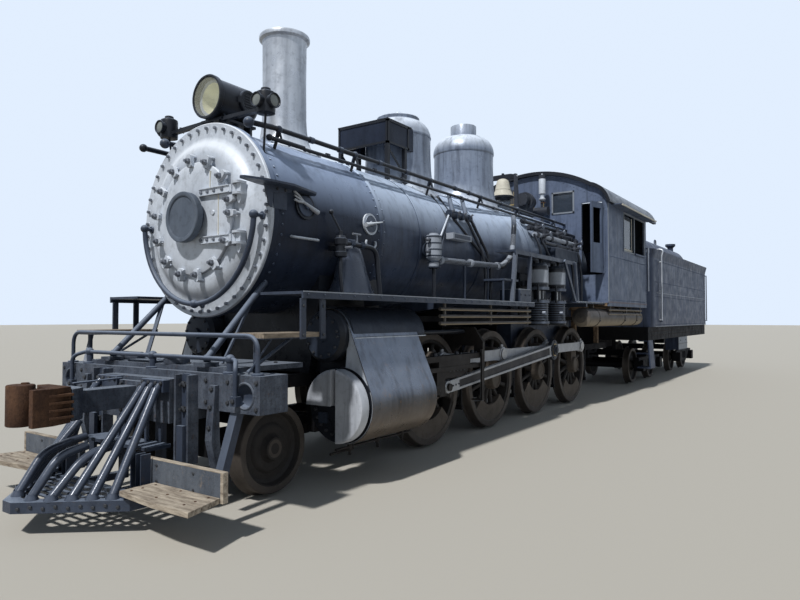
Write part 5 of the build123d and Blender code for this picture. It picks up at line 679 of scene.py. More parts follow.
def stack():
    """Rolled and rimmed stack on its flared base."""
    piece = Piece("stack_pipe")
    rings = [(0.402, -0.012, 1), (0.4, 0.014, 1), (0.372, 3.352, 0.75), (0.33, 3.375, 0.42), (0.29, 3.425, 0.16),
             (0.262, 3.5, 0), (0.247, 3.6, 0), (0.24, 3.72, 0), (0.236, 4.1, 0), (0.239, 4.54, 0),
             (0.245, 4.572, 0), (0.262, 4.582, 0), (0.274, 4.592, 0), (0.276, 4.622, 0), (0.27, 4.636, 0),
             (0.256, 4.64, 0), (0.23, 4.638, 0), (0.224, 4.62, 0), (0.222, 4.0, 0), (0.222, 3.4, 0)]
    x = 5.015
    stand_on_skin(piece, x, rings, SMOKEBOX_R, BRIGHT, 72)
    for y, along in circle_spots(14, 0.375, 10):
        spot = (x + along, y, skin_z(y, SMOKEBOX_R) + 0.012)
        piece.bolt(spot, (along * 0.3, y * 0.6, 1), 0.014, 0.014, BOLT)
    piece.finish("engine", ["stack"], slot="silver_paint")


def dome(piece, x, rings, radius, rivets, reach, start, lift):
    """A dome on the boiler's skin, with rivets round its skirt."""
    stand_on_skin(piece, x, rings, radius, DOME)
    for along, y in circle_spots(rivets, reach, start):
        piece.bolt((x + along, y, skin_z(y, radius) + lift), (along, y, 0.9), 0.01, 0.008, DOME, 5)


def domes():
    """Sand dome and steam dome with rolled shoulders and flared skirts."""
    piece = Piece("sand_dome_casing")
    rings = [(0.568, -0.02, 1), (0.566, 0.006, 1), (0.548, 0.022, 1), (0.516, 3.4, 0.78), (0.49, 3.45, 0.56),
             (0.468, 3.53, 0.34), (0.454, 3.64, 0.14), (0.448, 3.76, 0.04), (0.446, 3.84, 0), (0.446, 4.0, 0),
             (0.452, 4.006, 0), (0.454, 4.022, 0), (0.449, 4.036, 0), (0.443, 4.075, 0), (0.42, 4.135, 0),
             (0.38, 4.19, 0), (0.33, 4.228, 0), (0.296, 4.242, 0), (0.288, 4.246, 0), (0.288, 4.262, 0),
             (0.294, 4.272, 0), (0.294, 4.29, 0), (0.284, 4.302, 0), (0.2, 4.312, 0), (0.066, 4.316, 0),
             (0.06, 4.322, 0), (0.06, 4.372, 0), (0.05, 4.388, 0)]
    x = 2.84
    dome(piece, x, rings, COURSE_R, 24, 0.55, 9, 0.02)
    for y, along in circle_spots(8, 0.17, 22):
        piece.bolt((x + along, y, 4.312), UPWARD, 0.012, 0.012, BOLT)
    piece.finish("engine", ["sand_dome"], slot="boiler_sheet")

    piece = Piece("steam_dome_casing")
    rings = [(0.596, -0.02, 1), (0.594, 0.006, 1), (0.576, 0.024, 1), (0.544, 3.48, 0.76), (0.518, 3.53, 0.55),
             (0.496, 3.61, 0.33), (0.482, 3.72, 0.14), (0.476, 3.84, 0.04), (0.474, 3.92, 0), (0.474, 4.15, 0),
             (0.482, 4.158, 0), (0.487, 4.176, 0), (0.486, 4.205, 0), (0.477, 4.262, 0), (0.454, 4.322, 0),
             (0.412, 4.384, 0), (0.35, 4.43, 0), (0.28, 4.456, 0), (0.222, 4.466, 0), (0.209, 4.47, 0),
             (0.206, 4.48, 0), (0.206, 4.64, 0), (0.203, 4.645, 0), (0.18, 4.645, 0), (0.176, 4.64, 0),
             (0.174, 4.6, 0)]
    dome(piece, 0.995, rings, FIREBOX_R - (FIREBOX_R - COURSE_R) * 0.3, 26, 0.578, 7, 0.022)
    piece.finish("engine", ["steam_dome"], slot="boiler_sheet")


def headlight():
    """Cylindrical lamp with its reflector, ribbed side door and bracket."""
    piece = Piece("headlight_case")
    z = 3.69
    axis = (0, 0, z)
    piece.lathe([(5.5, 0), (5.5, 0.11), (5.512, 0.125), (5.57, 0.172), (5.584, 0.183), (5.588, 0.19), (5.6, 0.193),
                 (6.006, 0.194), (6.01, 0.206), (6.016, 0.212), (6.052, 0.213), (6.06, 0.207), (6.06, 0.192),
                 (6.052, 0.187), (5.985, 0.186), (5.985, 0.18)], axis, "x", BLACK, 64)
    piece.lathe([(5.985, 0.184), (5.992, 0.18), (5.984, 0.152)], axis, "x", FEED, 64)
    bowl = [(5.984, 0.152), (5.95, 0.146), (5.9, 0.13), (5.85, 0.104), (5.815, 0.07), (5.8, 0.03), (5.798, 0)]
    piece.lathe(bowl, axis, "x", REFLECTOR, 64)
    piece.lathe([(6.046, 0.19), (6.05, 0.19), (6.05, 0), (6.046, 0)], axis, "x", LENS)
    piece.ball((5.865, 0, z), 0.026, CREAM)
    bracket = [(0.06, 3.36), (0.15, 3.335), (0.15, 3.5), (0.125, 3.53), (0.06, 3.5)]
    for _ in piece.sides():
        piece.lathe([(0.15, 0.118), (0.205, 0.118), (0.212, 0.11), (0.212, 0.088), (0.206, 0.08), (0.206, 0)],
                    (5.7, 0, z), "y", BLACK, 32)
        for rib in range(5):
            low = z - 0.052 + 0.025 * rib
            piece.box((5.65, 5.75), (0.205, 0.214), (low, low + 0.006), BOLT)
        piece.box((5.805, 5.835), (0.19, 0.215), (3.66, 3.72), BLACK)
        piece.prism(bracket, "x", (5.61, 5.64), BLACK)
        piece.prism(bracket, "x", (5.925, 5.955), BLACK)
    piece.boxes(BLACK, (5.56, 6.0, -0.15, 0.15, 3.462, 3.486), (5.59, 5.97, -0.155, 0.155, 3.352, 3.372))
    piece.finish("engine", ["headlight"], slot="black_paint")


def class_lamps():
    """A marker lamp each side, with a lens to the front and one to the side."""
    piece = Piece("marker_lamps")
    x, y = 5.96, 0.715
    case = [(3.408, 0), (3.408, 0.06), (3.416, 0.086), (3.436, 0.088), (3.59, 0.088), (3.606, 0.084),
            (3.622, 0.056), (3.626, 0.046), (3.644, 0.044), (3.65, 0.034), (3.655, 0)]
    hood = [(0.06, 0.05), (0.06, 0.058), (0.108, 0.06), (0.112, 0.068), (0.124, 0.068), (0.125, 0.06),
            (0.118, 0.056), (0.112, 0.053)]
    arm = [(0.13, 3.452), (0.13, 3.49), (0.47, 3.484), (0.65, 3.474), (0.65, 3.446), (0.43, 3.452)]
    for _ in piece.sides():
        piece.lathe(case, (x, y, 0), "z", BLACK, 32)
        for along in "xy":
            piece.lathe(hood, (x, y, 3.515), along, BLACK, 28)
            piece.lathe([(0.112, 0.055), (0.116, 0.04), (0.119, 0.02), (0.12, 0)], (x, y, 3.515), along, LAMP_GLASS, 28)
        piece.prism(arm, "x", (5.93, 5.985), BLACK)
        piece.rod((x, y, 3.42), (5.93, 0.66, 3.06), 0.011, BLACK)
        piece.rod((5.87, y * 0.93, 3.52), (5.83, y * 0.9, 3.52), 0.03, BLACK)
    piece.finish("engine", ["class_lamps"], slot="black_paint")


def number_box():
    """Blank boards in raised frames, on four legs."""
    piece = Piece("number_board_frames")
    low, high, edge = 3.735, 4.035, 0.026

    def rim(start, end):
        return ((start, end, low, low + edge), (start, end, high - edge, high),
                (start, start + edge, low, high), (end - edge, end, low, high))

    for _ in piece.sides():
        for x0, x1, z0, z1 in rim(3.17, 3.63):
            piece.box((x0, x1), (0.395, 0.405), (z0, z1), BLACK)
        for x, foot in ((3.235, 3.28), (3.61, 3.22)):
            piece.box((x - 0.024, x + 0.024), (0.351, 0.399), (foot, low), BLACK)
        piece.bar((3.235, 0.375, 3.4), (3.61, 0.375, 3.7), 0.012, 0.03, BLACK)
    for y0, y1, z0, z1 in rim(-0.395, 0.395):
        piece.box((3.63, 3.64), (y0, y1), (z0, z1), BLACK)
    piece.box((3.1, 3.642), (-0.402, 0.402), (high - 0.004, high + 0.012), BLACK)
    piece.finish("engine", slot="black_paint")


# Running gear: wheels stand on the rail; the cranks point up on the left and forward on the right
DRIVER_R, THROW, MAIN_AXLE = 0.69, 0.35, 3
AXLES = {1: 3.316, 2: 1.658, 3: 0.0, 4: -1.658}
CRANK_WAYS = {LEFT: (0, 1), RIGHT: (1, 0)}
LEADING_X, LEADING_R = 5.928, 0.398
TENDER_AXLES, TENDER_R = (-5.9, -7.6, -10.1, -11.8), 0.419
# Middle of the cylinder and of the valve chest, as Y and Z; the crossheads' pins are as high as the cylinder
CYLINDER, CHEST = (1.1, 0.736), (0.93, 1.385)


def hoop(start, end, inner, outer):
    """Profile of a square-edged ring, for a lathe."""
    return [(start, inner), (start, outer), (end, outer), (end, inner)]


def crank_spot(side, x=0.0):
    """Middle of a crank pin, as X and Z."""
    along, up = CRANK_WAYS[side]
    return x + THROW * along, DRIVER_R + THROW * up


def tyre(piece, x, radius, inner):
    """Flanged tyre of one wheel."""
    profile = [(0.68, inner), (0.68, radius + 0.022), (0.684, radius + 0.028), (0.69, radius + 0.027),
               (0.7, radius + 0.01), (0.714, radius), (0.8, radius - 0.002), (0.814, radius - 0.006),
               (0.82, radius - 0.014), (0.82, inner + 0.004), (0.817, inner)]
    piece.lathe(profile, (x, 0, radius), "y", TYRE, 80, closed=True)


def spoke(piece, way, centre):
    """One spoke of a driving wheel, from the hub to the rim."""
    section = ((-1, -0.5), (-0.6, -1), (0.6, -1), (1, -0.5), (1, 0.5), (0.6, 1), (-0.6, 1), (-1, 0.5))
    rings = []
    for reach, wide, deep in ((0.12, 0.04, 0.036), (0.26, 0.032, 0.03), (0.46, 0.026, 0.026), (0.575, 0.034, 0.03)):
        corners = spun([(reach, wide * a) for a, _ in section], way, centre)
        rings.append([piece.here((x, 0.75 + deep * b, z)) for (x, z), (_, b) in zip(corners, section)])
    piece.loft(rings, WHEEL, False, False)


def driver(number, x):
    """Spoked driving wheels with balance weights, crank webs and pins on one axle."""
    piece = Piece("driver_wheels_%d" % number)
    centre = (x, 0, DRIVER_R)
    half, weight_inner, pin = (58, 0.33, 0.08) if number == MAIN_AXLE else (48, 0.38, 0.062)
    collar = pin + 0.018
    piece.rod((x, -0.8, DRIVER_R), (x, 0.8, DRIVER_R), 0.1, UNDER, 28)
    rim = [(0.686, 0.56), (0.686, 0.604), (0.806, 0.604), (0.808, 0.598), (0.808, 0.574), (0.8, 0.562)]
    hub = [(0.66, 0.05), (0.66, 0.145), (0.668, 0.152), (0.85, 0.15), (0.896, 0.136), (0.903, 0.126), (0.903, 0.104),
           (0.893, 0.1), (0.893, 0)]
    web = arc((0, 0), 0.15, 90, 270, 16) + arc((THROW, 0), 0.105, -90, 90, 14)
    boss = [(0.85, 0), (0.85, 0.104), (0.88, 0.1), (0.884, 0.09), (0.884, 0)]
    crank_pin = [(0.74, 0), (0.74, pin), (1.017, pin), (1.017, collar - 0.003), (1.02, collar), (1.028, collar),
                 (1.031, collar - 0.004), (1.031, 0)]
    for side in piece.sides():
        way = CRANK_WAYS[side]
        crank = math.degrees(math.atan2(way[1], way[0]))
        tyre(piece, x, DRIVER_R, 0.602)
        piece.lathe(rim, centre, "y", WHEEL, 80, closed=True)
        piece.lathe(hub, centre, "y", HUB, 40)
        for spoke_way in circle_spots(12, 1, crank + 15, crank + 375):
            spoke(piece, spoke_way, centre[::2])
        back = crank + 180
        weight = arc(centre[::2], 0.602, back - half, back + half, 28)
        weight += arc(centre[::2], weight_inner, back + half, back - half, 20)
        piece.prism(weight, "y", (0.704, 0.812), HUB)
        piece.prism(spun(web, way, centre[::2]), "y", (0.73, 0.858), HUB)
        pin_x, pin_z = crank_spot(side, x)
        piece.lathe(boss, (pin_x, 0, pin_z), "y", HUB, 32)
        piece.lathe(crank_pin, (pin_x, 0, pin_z), "y", STEEL, 36)
        if number != MAIN_AXLE:
            piece.bolt((pin_x, 1.03, pin_z), OUTWARD, 0.022, 0.0008, BOLT)
    node = "driver_axle_%d" % number
    piece.finish(node, [node], slot="worn_iron")


def disc_wheels(name, node, x, radius, axle):
    """A pair of plate wheels with stepped rings and hubs on one axle."""
    piece = Piece(name)
    piece.rod((x, -axle[0], radius), (x, axle[0], radius), axle[1], UNDER, 24)
    plate = [(0.69, 0.05), (0.69, radius - 0.066), (0.806, radius - 0.066), (0.806, radius - 0.078),
             (0.77, radius - 0.092), (0.752, radius - 0.12), (0.756, 0.225), (0.778, 0.205), (0.782, 0.19),
             (0.776, 0.13), (0.8, 0.108), (0.828, 0.098), (0.83, 0)]
    for _ in piece.sides():
        tyre(piece, x, radius, radius - 0.068)
        piece.lathe(plate, (x, 0, radius), "y", WHEEL, 64)
        if radius == LEADING_R:
            piece.lathe(hoop(0.826, 0.829, 0, 0.08), (x, 0, radius), "y", TYRE, 32)
    piece.finish(node, [node], slot="worn_iron")


def plate_wheels():
    """The leading pair and the four pairs under the tender."""
    disc_wheels("leading_wheel_pair", "leading_wheels", LEADING_X, LEADING_R, (0.8, 0.075))
    for number, x in enumerate(TENDER_AXLES, 1):
        disc_wheels("tender_wheels_%d" % number, "tender_axle_%d" % number, x, TENDER_R, (1.045, 0.072))


def wrap_outline(big, small):
    """Outline of a sheet round cylinder and valve chest, open on the inner side, as pairs of Y and Z."""
    lean = math.degrees(math.atan2(CHEST[1] - CYLINDER[1], CHEST[0] - CYLINDER[0]))
    opening = math.degrees(math.acos((big - small) / math.dist(CYLINDER, CHEST)))
    points = arc(CHEST, small, min(lean + opening, 118), lean - opening, 20)
    points += arc(CYLINDER, big, lean - opening, lean + opening - 360, 40)
    return [(y, z) for y, z in points if y >= 0.81]


def sheet(piece, outline, span, thickness, material):
    """A thin sheet that follows an open outline across the engine, between two stations."""
    inner, last = [], len(outline) - 1
    for i, (y, z) in enumerate(outline):
        way = (Vector(outline[min(i + 1, last)]) - Vector(outline[max(i - 1, 0)])).normalized()
        inner.append((y + way.y * thickness, z - way.x * thickness))
    piece.prism(outline + inner[::-1], "x", span, material)


def cylinder_jackets():
    """Jacket sheet round each cylinder and the dark cap sheet over the valve chest."""
    piece = Piece("cylinder_jacket_sheets")
    outline = wrap_outline(0.363, 0.263)
    lobe = arc(CYLINDER, 0.352, 30, 84, 8) + [(1.16, 1.365)] + [(y, z) for y, z in outline if z > 0.9 and y > 1.16]
    (out, up), = arc((0, 0), 1, 62, 62, 1)[:1]
    spot = (CHEST[0] + 0.277 * out, CHEST[1] + 0.277 * up)
    for _ in piece.sides():
        sheet(piece, outline, (4.22, 5.33), -0.006, JACKET)
        piece.prism(lobe, "x", (5.316, 5.326), SILVER)
        sheet(piece, [(y, z) for y, z in outline if z < 1.36], (5.318, 5.334), 0.004, BRIGHT)
        sheet(piece, arc(CHEST, 0.277, 112, -4, 24) + [(1.228, 1.372)], (4.07, 5.3), -0.007, CAP)
        piece.box((4.07, 5.3), (1.205, 1.232), (1.364, 1.374), BRIGHT)
        piece.bolts(BOLT, (0, out, up), 0.014, 0.012, *((x, *spot) for x in (4.16, 4.45, 4.75, 5.05, 5.24)))
    piece.finish("engine", ["cylinder_jackets"], slot="silver_paint", angle=30)


def cylinder_covers():
    """Pressed front covers; the left one has a slot and has lost its lower inner quarter."""
    piece = Piece("cylinder_cover_pressings")
    y, z = CYLINDER
    back, front, radius, edge = 5.364, 5.464, 0.34, 0.0305
    full = [(5.362, 0.335), (5.362, 0.345), (5.44, 0.345), (5.458, 0.338), (5.466, 0.322), (5.4665, 0.3), (5.4665, 0)]
    piece.lathe(full, (0, -y, z), "x", COVER, 72)
    for start, end, low, high in ((90, 270, edge, 0.345), (0, 90, -0.345, -edge)):
        rings = [[(x, y + min(max(-a, low), high), z + b) for a, b in arc((0, 0), r, start, end, 48)] for x, r in full]
        piece.loft(rings, COVER, False, False, wrap=False)
    piece.boxes(COVER, (back, front, y + edge, y + edge + 0.004, z - radius, z + radius),
                (back, front, y - edge - 0.004, y - edge, z, z + radius),
                (back, front, y - radius, y - edge, z, z + 0.004))
    piece.lathe(hoop(5.362, 5.395, 0.33, 0.344), (0, y, z), "x", BLACK, 72, closed=True)
    piece.lathe([(5.397, 0), (5.397, 0.343), (5.392, 0.343)], (0, y, z), "x", BLACK, 72)
    piece.bolts(BOLT, FORWARD, 0.016, 0.03, *((5.397, y - a, z + b) for a, b in circle_spots(5, 0.27, 282, 350)))
    piece.box((5.4, 5.42), (y - 0.22, y - 0.12), (z - 0.17, z - 0.07), CHEST_PAINT)
    piece.finish("engine", ["cylinder_covers"], slot="silver_paint")


def cylinder_fittings():
    """Chest heads, head bolts, drain cocks and rod glands."""
    piece = Piece("cylinder_fittings")
    head = [(5.41, 0.215), (5.418, 0.212), (5.424, 0.16), (5.424, 0.062), (5.434, 0.056), (5.452, 0.05), (5.456, 0)]
    gland = [(4.125, 0.075), (4.125, 0.062), (4.06, 0.06), (4.052, 0.048), (4.052, 0.046)]
    for _ in piece.sides():
        y, z = CHEST
        piece.lathe(head, (0, y, z), "x", CHEST_PAINT)
        for a, b in circle_spots(12, 0.188, 15):
            piece.bolt((5.42, y + a * piece.side, z + b), FORWARD, 0.015, 0.018, BOLT)
        y, z = CYLINDER
        for x in (4.35, 4.78, 5.22):
            piece.rod((x, y, 0.385), (x, y, 0.3), 0.022, IRON, 10)
            piece.rod((x, y, 0.302), (x + 0.02, y + 0.02, 0.262), 0.014, IRON, 8)
        piece.bar((4.18, y, 0.33), (5.42, y, 0.33), 0.03, 0.014, IRON)
        piece.rod((5.1, y - 0.05, 0.292), (5.42, y - 0.07, 0.282), 0.012, IRON, 8)
        piece.lathe(gland, (0, y, z), "x", IRON, 24)
    piece.finish("engine", slot="worn_iron")


def main_rods():
    """Fluted main rods with strap ends and capped big ends."""
    piece = Piece("main_rod_pair")
    pin_z = CYLINDER[1]
    length = math.dist((3.4, pin_z), crank_spot(LEFT))
    for side in piece.sides():
        x, z = start = crank_spot(side)
        pin_x = x + math.sqrt(length ** 2 - (pin_z - z) ** 2)
        way = ((pin_x - x) / length, (pin_z - z) / length)
        strap = length - 0.26
        plates = [([(0.12, 0.062), (length - 0.1, 0.046), (length - 0.1, -0.046), (0.12, -0.062)], 1.082, 1.118, FLUTE),
                  ([(0.15, 0.088), (0.205, 0.086), (0.205, -0.086), (0.15, -0.088)], 1.07, 1.13, RODS),
                  ([(strap, 0.075), (strap + 0.21, 0.07), (strap + 0.21, -0.07), (strap, -0.075)], 1.07, 1.13, RODS)]
        for sign in (1, -1):
            flange = [(0.1, 0.09), (length - 0.04, 0.07), (length - 0.04, 0.044), (0.1, 0.058)]
            plates.append(([(reach, across * sign) for reach, across in flange], 1.069, 1.131, RODS))
        for outline, low, high, material in plates:
            piece.prism(spun(outline, way, start), "y", (low, high), material)
        big_end, small_end = (x, 0, z), (pin_x, 0, pin_z)
        big = [(1.069, 0), (1.069, 0.159), (1.074, 0.165), (1.126, 0.165), (1.131, 0.159), (1.131, 0.104), (1.139, 0.1),
               (1.139, 0.086), (1.158, 0.082), (1.162, 0.072), (1.162, 0.048), (1.182, 0.046), (1.186, 0.038),
               (1.186, 0)]
        piece.lathe(big, big_end, "y", BIG_END)
        small = [(1.069, 0), (1.069, 0.069), (1.074, 0.075), (1.126, 0.075), (1.131, 0.069), (1.131, 0)]
        piece.lathe(small, small_end, "y", RODS)
        piece.lathe([(1.139, 0.084), (1.1395, 0.102)], big_end, "y", BRASS, 40)
        for a, b in circle_spots(6, 0.132, 20):
            piece.bolt((x + a, 1.131, z + b), OUTWARD, 0.013, 0.012, BOLT)
        for a, b in spun([(length - 0.08 - reach, 0) for reach in (0.02, 0.09, 0.16)], way, start):
            piece.bolt((a, 1.13, b), OUTWARD, 0.012, 0.01, BOLT)
        piece.lathe([(1.131, 0.03), (1.15, 0.03), (1.154, 0.022), (1.154, 0)], small_end, "y", BRASS, 20)
    piece.finish("engine", ["main_rods"], slot="bare_steel", bevel=0.002)


def side_rods():
    """Coupling rods with bosses and oil cups."""
    for side, name in ((LEFT, "side_rod_left"), (RIGHT, "side_rod_right")):
        piece = Piece(name + "_forging")
        piece.side = side
        bosses = []
        for number, axle_x in AXLES.items():
            x, z = crank_spot(side, axle_x)
            bosses.append((x, 0.133, 0.081) if number == MAIN_AXLE else (x, 0.108, 0.063))
        for (x0, r0, _), (x1, r1, _) in zip(bosses, bosses[1:]):
            top = [(x0 - r0 * 0.5, 0.086), (x0 - r0 - 0.16, 0.0725), (x1 + r1 + 0.16, 0.0725), (x1 + r1 * 0.5, 0.086)]
            outline = [(x, z + rise) for x, rise in top] + [(x, z - rise) for x, rise in reversed(top)]
            piece.prism(outline, "y", (0.958, 1.002), RODS)
        for x, size, bore in bosses:
            profile = [(0.945, bore), (0.945, size - 0.006), (0.951, size), (1.009, size), (1.015, size - 0.006),
                       (1.015, bore + 0.02), (1.0152, bore)]
            piece.lathe(profile, (x, 0, z), "y", RODS, 44, closed=True)
            piece.lathe([(1.0155, bore + 0.002), (1.0155, bore + 0.017)], (x, 0, z), "y", BRASS, 36)
            top = z + size
            cup = [(top - 0.01, 0.024), (top + 0.028, 0.024), (top + 0.034, 0.018), (top + 0.034, 0)]
            piece.lathe(cup, (x, 0.98, 0), "z", RODS, 16)
        piece.finish(name, [name], slot="bare_steel", bevel=0.002)


def boiler_trim():
    """Bands, rivet rows and wash-out plugs of the boiler."""
    piece = Piece("boiler_bands")
    band(piece, 5.975, SMOKEBOX_R, 0.03, 0.01, SOOT)
    band(piece, 4.4, COURSE_R, 0.075, 0.022, GRAPHITE)
    for x in (3.6, 2.06):
        band(piece, x, COURSE_R, 0.06 if x > 3 else 0.055, 0.009, GRAPHITE)
    for x in (0.56, -0.72, -1.82):
        band(piece, x, FIREBOX_R, 0.05, 0.009, GRAPHITE)
    for x, radius, count in ((5.905, SMOKEBOX_R, 60), (4.47, SMOKEBOX_R, 60), (4.372, COURSE_R + 0.016, 44)):
        for i in range(count):
            spot, normal = skin_spot(x, 360 * i / count, radius)
            piece.bolt(spot, normal, 0.013, 0.007, GRAPHITE)
    for _ in piece.sides():
        for angle in (24, 40):
            for i in range(5):
                spot, normal = skin_spot(0.32 - 0.46 * i, angle, FIREBOX_R)
                piece.bolt(spot, normal, 0.03, 0.006, GRAPHITE, 20)
                piece.bolt(spot + normal * 0.006, normal, 0.016, 0.012, GRAPHITE, 4)
    piece.finish("engine", slot="boiler_sheet")


def side_disc(piece, x, angle, plate, face, handle, size):
    """A round cover on the smokebox side with a pointed bar handle."""
    spot, normal = skin_spot(x, angle, SMOKEBOX_R)
    turn = Vector((0, -normal.z, normal.y))
    for start, end, share, material, sides in ((-0.006, 0.016, 1, plate, 32), (0.016, 0.026, 0.78, face, 32),
                                               (0.026, 0.05, 0.26, face, 16)):
        piece.tube([spot + normal * start, spot + normal * end], size * share, material, sides)
    lead = Vector(FORWARD) * math.cos(math.radians(handle)) + turn * math.sin(math.radians(handle))
    hub = spot + normal * 0.05
    piece.tube([hub - lead * size * 1.1, hub, hub + lead * size * 1.5], 0.024, SILVER, 10, 0.007)
    return hub, lead, turn


def smokebox_sides():
    """Cleaning covers and handles on both sides of the smokebox."""
    piece = Piece("smokebox_side_fittings")
    for _ in piece.sides():
        hub, lead, turn = side_disc(piece, 5.62, 7, BLACK, GRAPHITE, 22, 0.125)
        for spread in (-0.03, 0.03):
            fork = [hub + lead * 0.06, hub + lead * 0.13 + turn * spread, hub + lead * 0.19 + turn * spread * 1.3]
            piece.tube(fork, 0.012, SILVER, 8)
        side_disc(piece, 4.63, 4, SILVER, PUMP, 168, 0.116)
        spot, _ = skin_spot(4.62, -9, SMOKEBOX_R, 0.02)
        loop = [spot + Vector((0.085 * a, 0, 0.055 * b)) for a, b in arc((0, 0), 1, 150, 390, 12)]
        piece.tube(loop, 0.012, SILVER, 8)
        (start, normal), (end, _) = skin_spot(5.46, -12, SMOKEBOX_R), skin_spot(5.78, -12, SMOKEBOX_R)
        piece.tube(rounded([start, start + normal * 0.055, end + normal * 0.055, end], 0.03), 0.013, SILVER, 10)
    piece.finish("engine", slot="silver_paint")


def steam_pipe_casings():
    """The casing from the smokebox down to each cylinder."""
    piece = Piece("steam_pipe_casings")
    stations = [(2.36, 0.13, 0.06, 4.93, 0.84), (2.22, 0.155, 0.085, 4.915, 0.85), (2.08, 0.18, 0.11, 4.9, 0.852),
                (1.96, 0.215, 0.13, 4.88, 0.842), (1.86, 0.265, 0.15, 4.86, 0.826), (1.8, 0.32, 0.17, 4.84, 0.812),
                (1.775, 0.35, 0.185, 4.84, 0.806)]
    for _ in piece.sides():
        rings = [[piece.here((x + long * math.copysign(abs(c) ** 0.7, c),
                              y + deep * math.copysign(abs(s) ** 0.8, s), z)) for c, s in circle_spots(32, 1)]
                 for z, long, deep, x, y in stations]
        piece.loft(rings, PIPE)
        piece.bolts(BOLT, (0, 0.5, 1), 0.013, 0.012, *((4.6 + 0.08 * i, 0.985, 1.8) for i in range(7)))
    piece.finish("engine", slot="boiler_sheet", angle=50)


def lubricator():
    """The lubricator with its pipes on the left side, and two pipe ends on the right."""
    piece = Piece("lubricator")
    x, y = 5.22, 0.985
    body = [(2.15, 0), (2.15, 0.05), (2.16, 0.062), (2.2, 0.062), (2.206, 0.052), (2.27, 0.052), (2.276, 0.066),
            (2.33, 0.066), (2.34, 0.05), (2.36, 0.044), (2.366, 0.02), (2.41, 0.018), (2.415, 0)]
    piece.lathe(body, (x, y, 0), "z", BLACK, 28)
    piece.box((5.18, 5.26), (0.86, 1.0), (2.22, 2.26), BLACK)
    piece.tube(rounded([(x, y, 2.3), (4.66, y + 0.01, 2.285), (4.62, y + 0.03, 1.79)], 0.12), 0.026, BLACK, 14)
    piece.tube(rounded([(x, y, 2.16), (5.24, y + 0.01, 2.0), (x, y + 0.02, 1.79)], 0.06), 0.018, BLACK, 10)
    for nut_x in (5.06, 4.9):
        piece.rod((nut_x - 0.025, y + 0.003, 2.296), (nut_x + 0.025, y + 0.003, 2.295), 0.04, CHEST_PAINT, 6)
    piece.rod((4.98, y + 0.005, 2.295), (4.98, y + 0.005, 2.4), 0.012, NUT, 8)
    piece.rod((4.92, y + 0.005, 2.4), (5.04, y + 0.005, 2.4), 0.012, NUT, 8)
    piece.rod((x, y + 0.06, 2.24), (x, y + 0.14, 2.24), 0.014, NUT, 8)
    piece.rod((x, y, 2.4), (5.3, 0.93, 2.58), 0.01, BLACK, 8)
    piece.ball((5.3, 0.93, 2.59), 0.024, BLACK)
    for z in (2.2, 2.3):
        piece.tube([(5.5, -1.02, z), (5.76, -1.0, z + 0.01)], 0.018, BLACK)
    piece.finish("engine", slot="black_paint")


def flange(piece, spot, way, radius, material, bolts=0, depth=0.022):
    """A pipe flange with optional bolts; their circle starts at the same angle on both sides."""
    spot, way = Vector(spot), Vector(way)
    top = spot + way * depth / 2
    piece.tube([spot - way * depth / 2, top], radius, material, 24)
    across = way.orthogonal().normalized()
    if bolts:
        for a, b in circle_spots(bolts, radius * 0.76):
            piece.bolt(top + piece.here(across * a + way.cross(across) * b), way, radius * 0.15, 0.012, BOLT)


def rails(piece):
    """Knobs, studs and couplings of the two rails along the boiler."""
    y, z, low_y, low_z = 0.62, 3.35, 0.66, 3.23
    piece.rod((5.78, y, z), (6.05, y, 3.33), 0.026, BLACK)
    piece.ball((6.075, y, 3.325), 0.05, SLATE)
    piece.rod((5.4, low_y, low_z), (5.86, low_y, low_z), 0.022, BLACK)
    piece.ball((5.86, low_y, low_z), 0.032, BLACK)
    piece.ball((-1.84, y, z), 0.032, SLATE)
    for x in (5.7, 4.55, 3.0, 1.6, 0.3, -1.3):
        piece.ball((x, y, z), 0.036, SLATE)
        piece.rod((x, y, z), (x, 0.575, 3.24), 0.019, SLATE)
    for x in (5.25, 4.8, 4.1, 3.55, 2.35, 1.95, 0.9):
        piece.rod((x - 0.026, y, z), (x + 0.026, y, z), 0.033, SLATE, 12)
    for x in (5.05, 4.25, 3.7, 2.25, 1.25, 0.45):
        piece.rod((x - 0.022, low_y, low_z), (x + 0.022, low_y, low_z), 0.027, BLACK, 6)


def check_valve(piece):
    """The check valve and the feed pipe that leaves it."""
    x, y = 3.5, 0.985
    body = [(2.158, 0.06), (2.252, 0.06), (2.278, 0.0915), (2.542, 0.0915), (2.548, 0.086), (2.556, 0.058),
            (2.572, 0.052), (2.576, 0)]
    piece.lathe(body, (x, y, 0), "z", FEED, 32)
    for z, radius, bolts in ((2.165, 0.082, 0), (2.23, 0.072, 0), (2.3, 0.0965, 6), (2.375, 0.095, 0),
                             (2.45, 0.095, 0), (2.53, 0.0975, 6)):
        flange(piece, (x, y, z), UPWARD, radius, CHEST_PAINT, bolts, 0.014)
    for z in (2.35, 2.49):
        piece.rod((x, y, z), (x + 0.125, y, z), 0.018, CHEST_PAINT, 10)
        piece.ball((x + 0.135, y, z), 0.026, NUT)
    piece.rod((x, y, 2.35), (x, 0.86, 2.38), 0.052, CHEST_PAINT, 18)
    flange(piece, (x, 0.885, 2.375), OUTWARD, 0.088, CHEST_PAINT)
    feed = [(3.45, y, 2.26), (1.64, y, 2.3), (1.3, y, 2.48), (1.18, 0.965, 2.95), (0.9, 0.825, 3.12)]
    piece.tube(rounded(feed, 0.16), 0.0385, FEED, 14)
    for x, z in ((3.36, 2.262), (2.6, 2.279), (1.8, 2.296)):
        piece.rod((x - 0.03, y, z), (x + 0.03, y, z + 0.001), 0.052, FEED, 16)


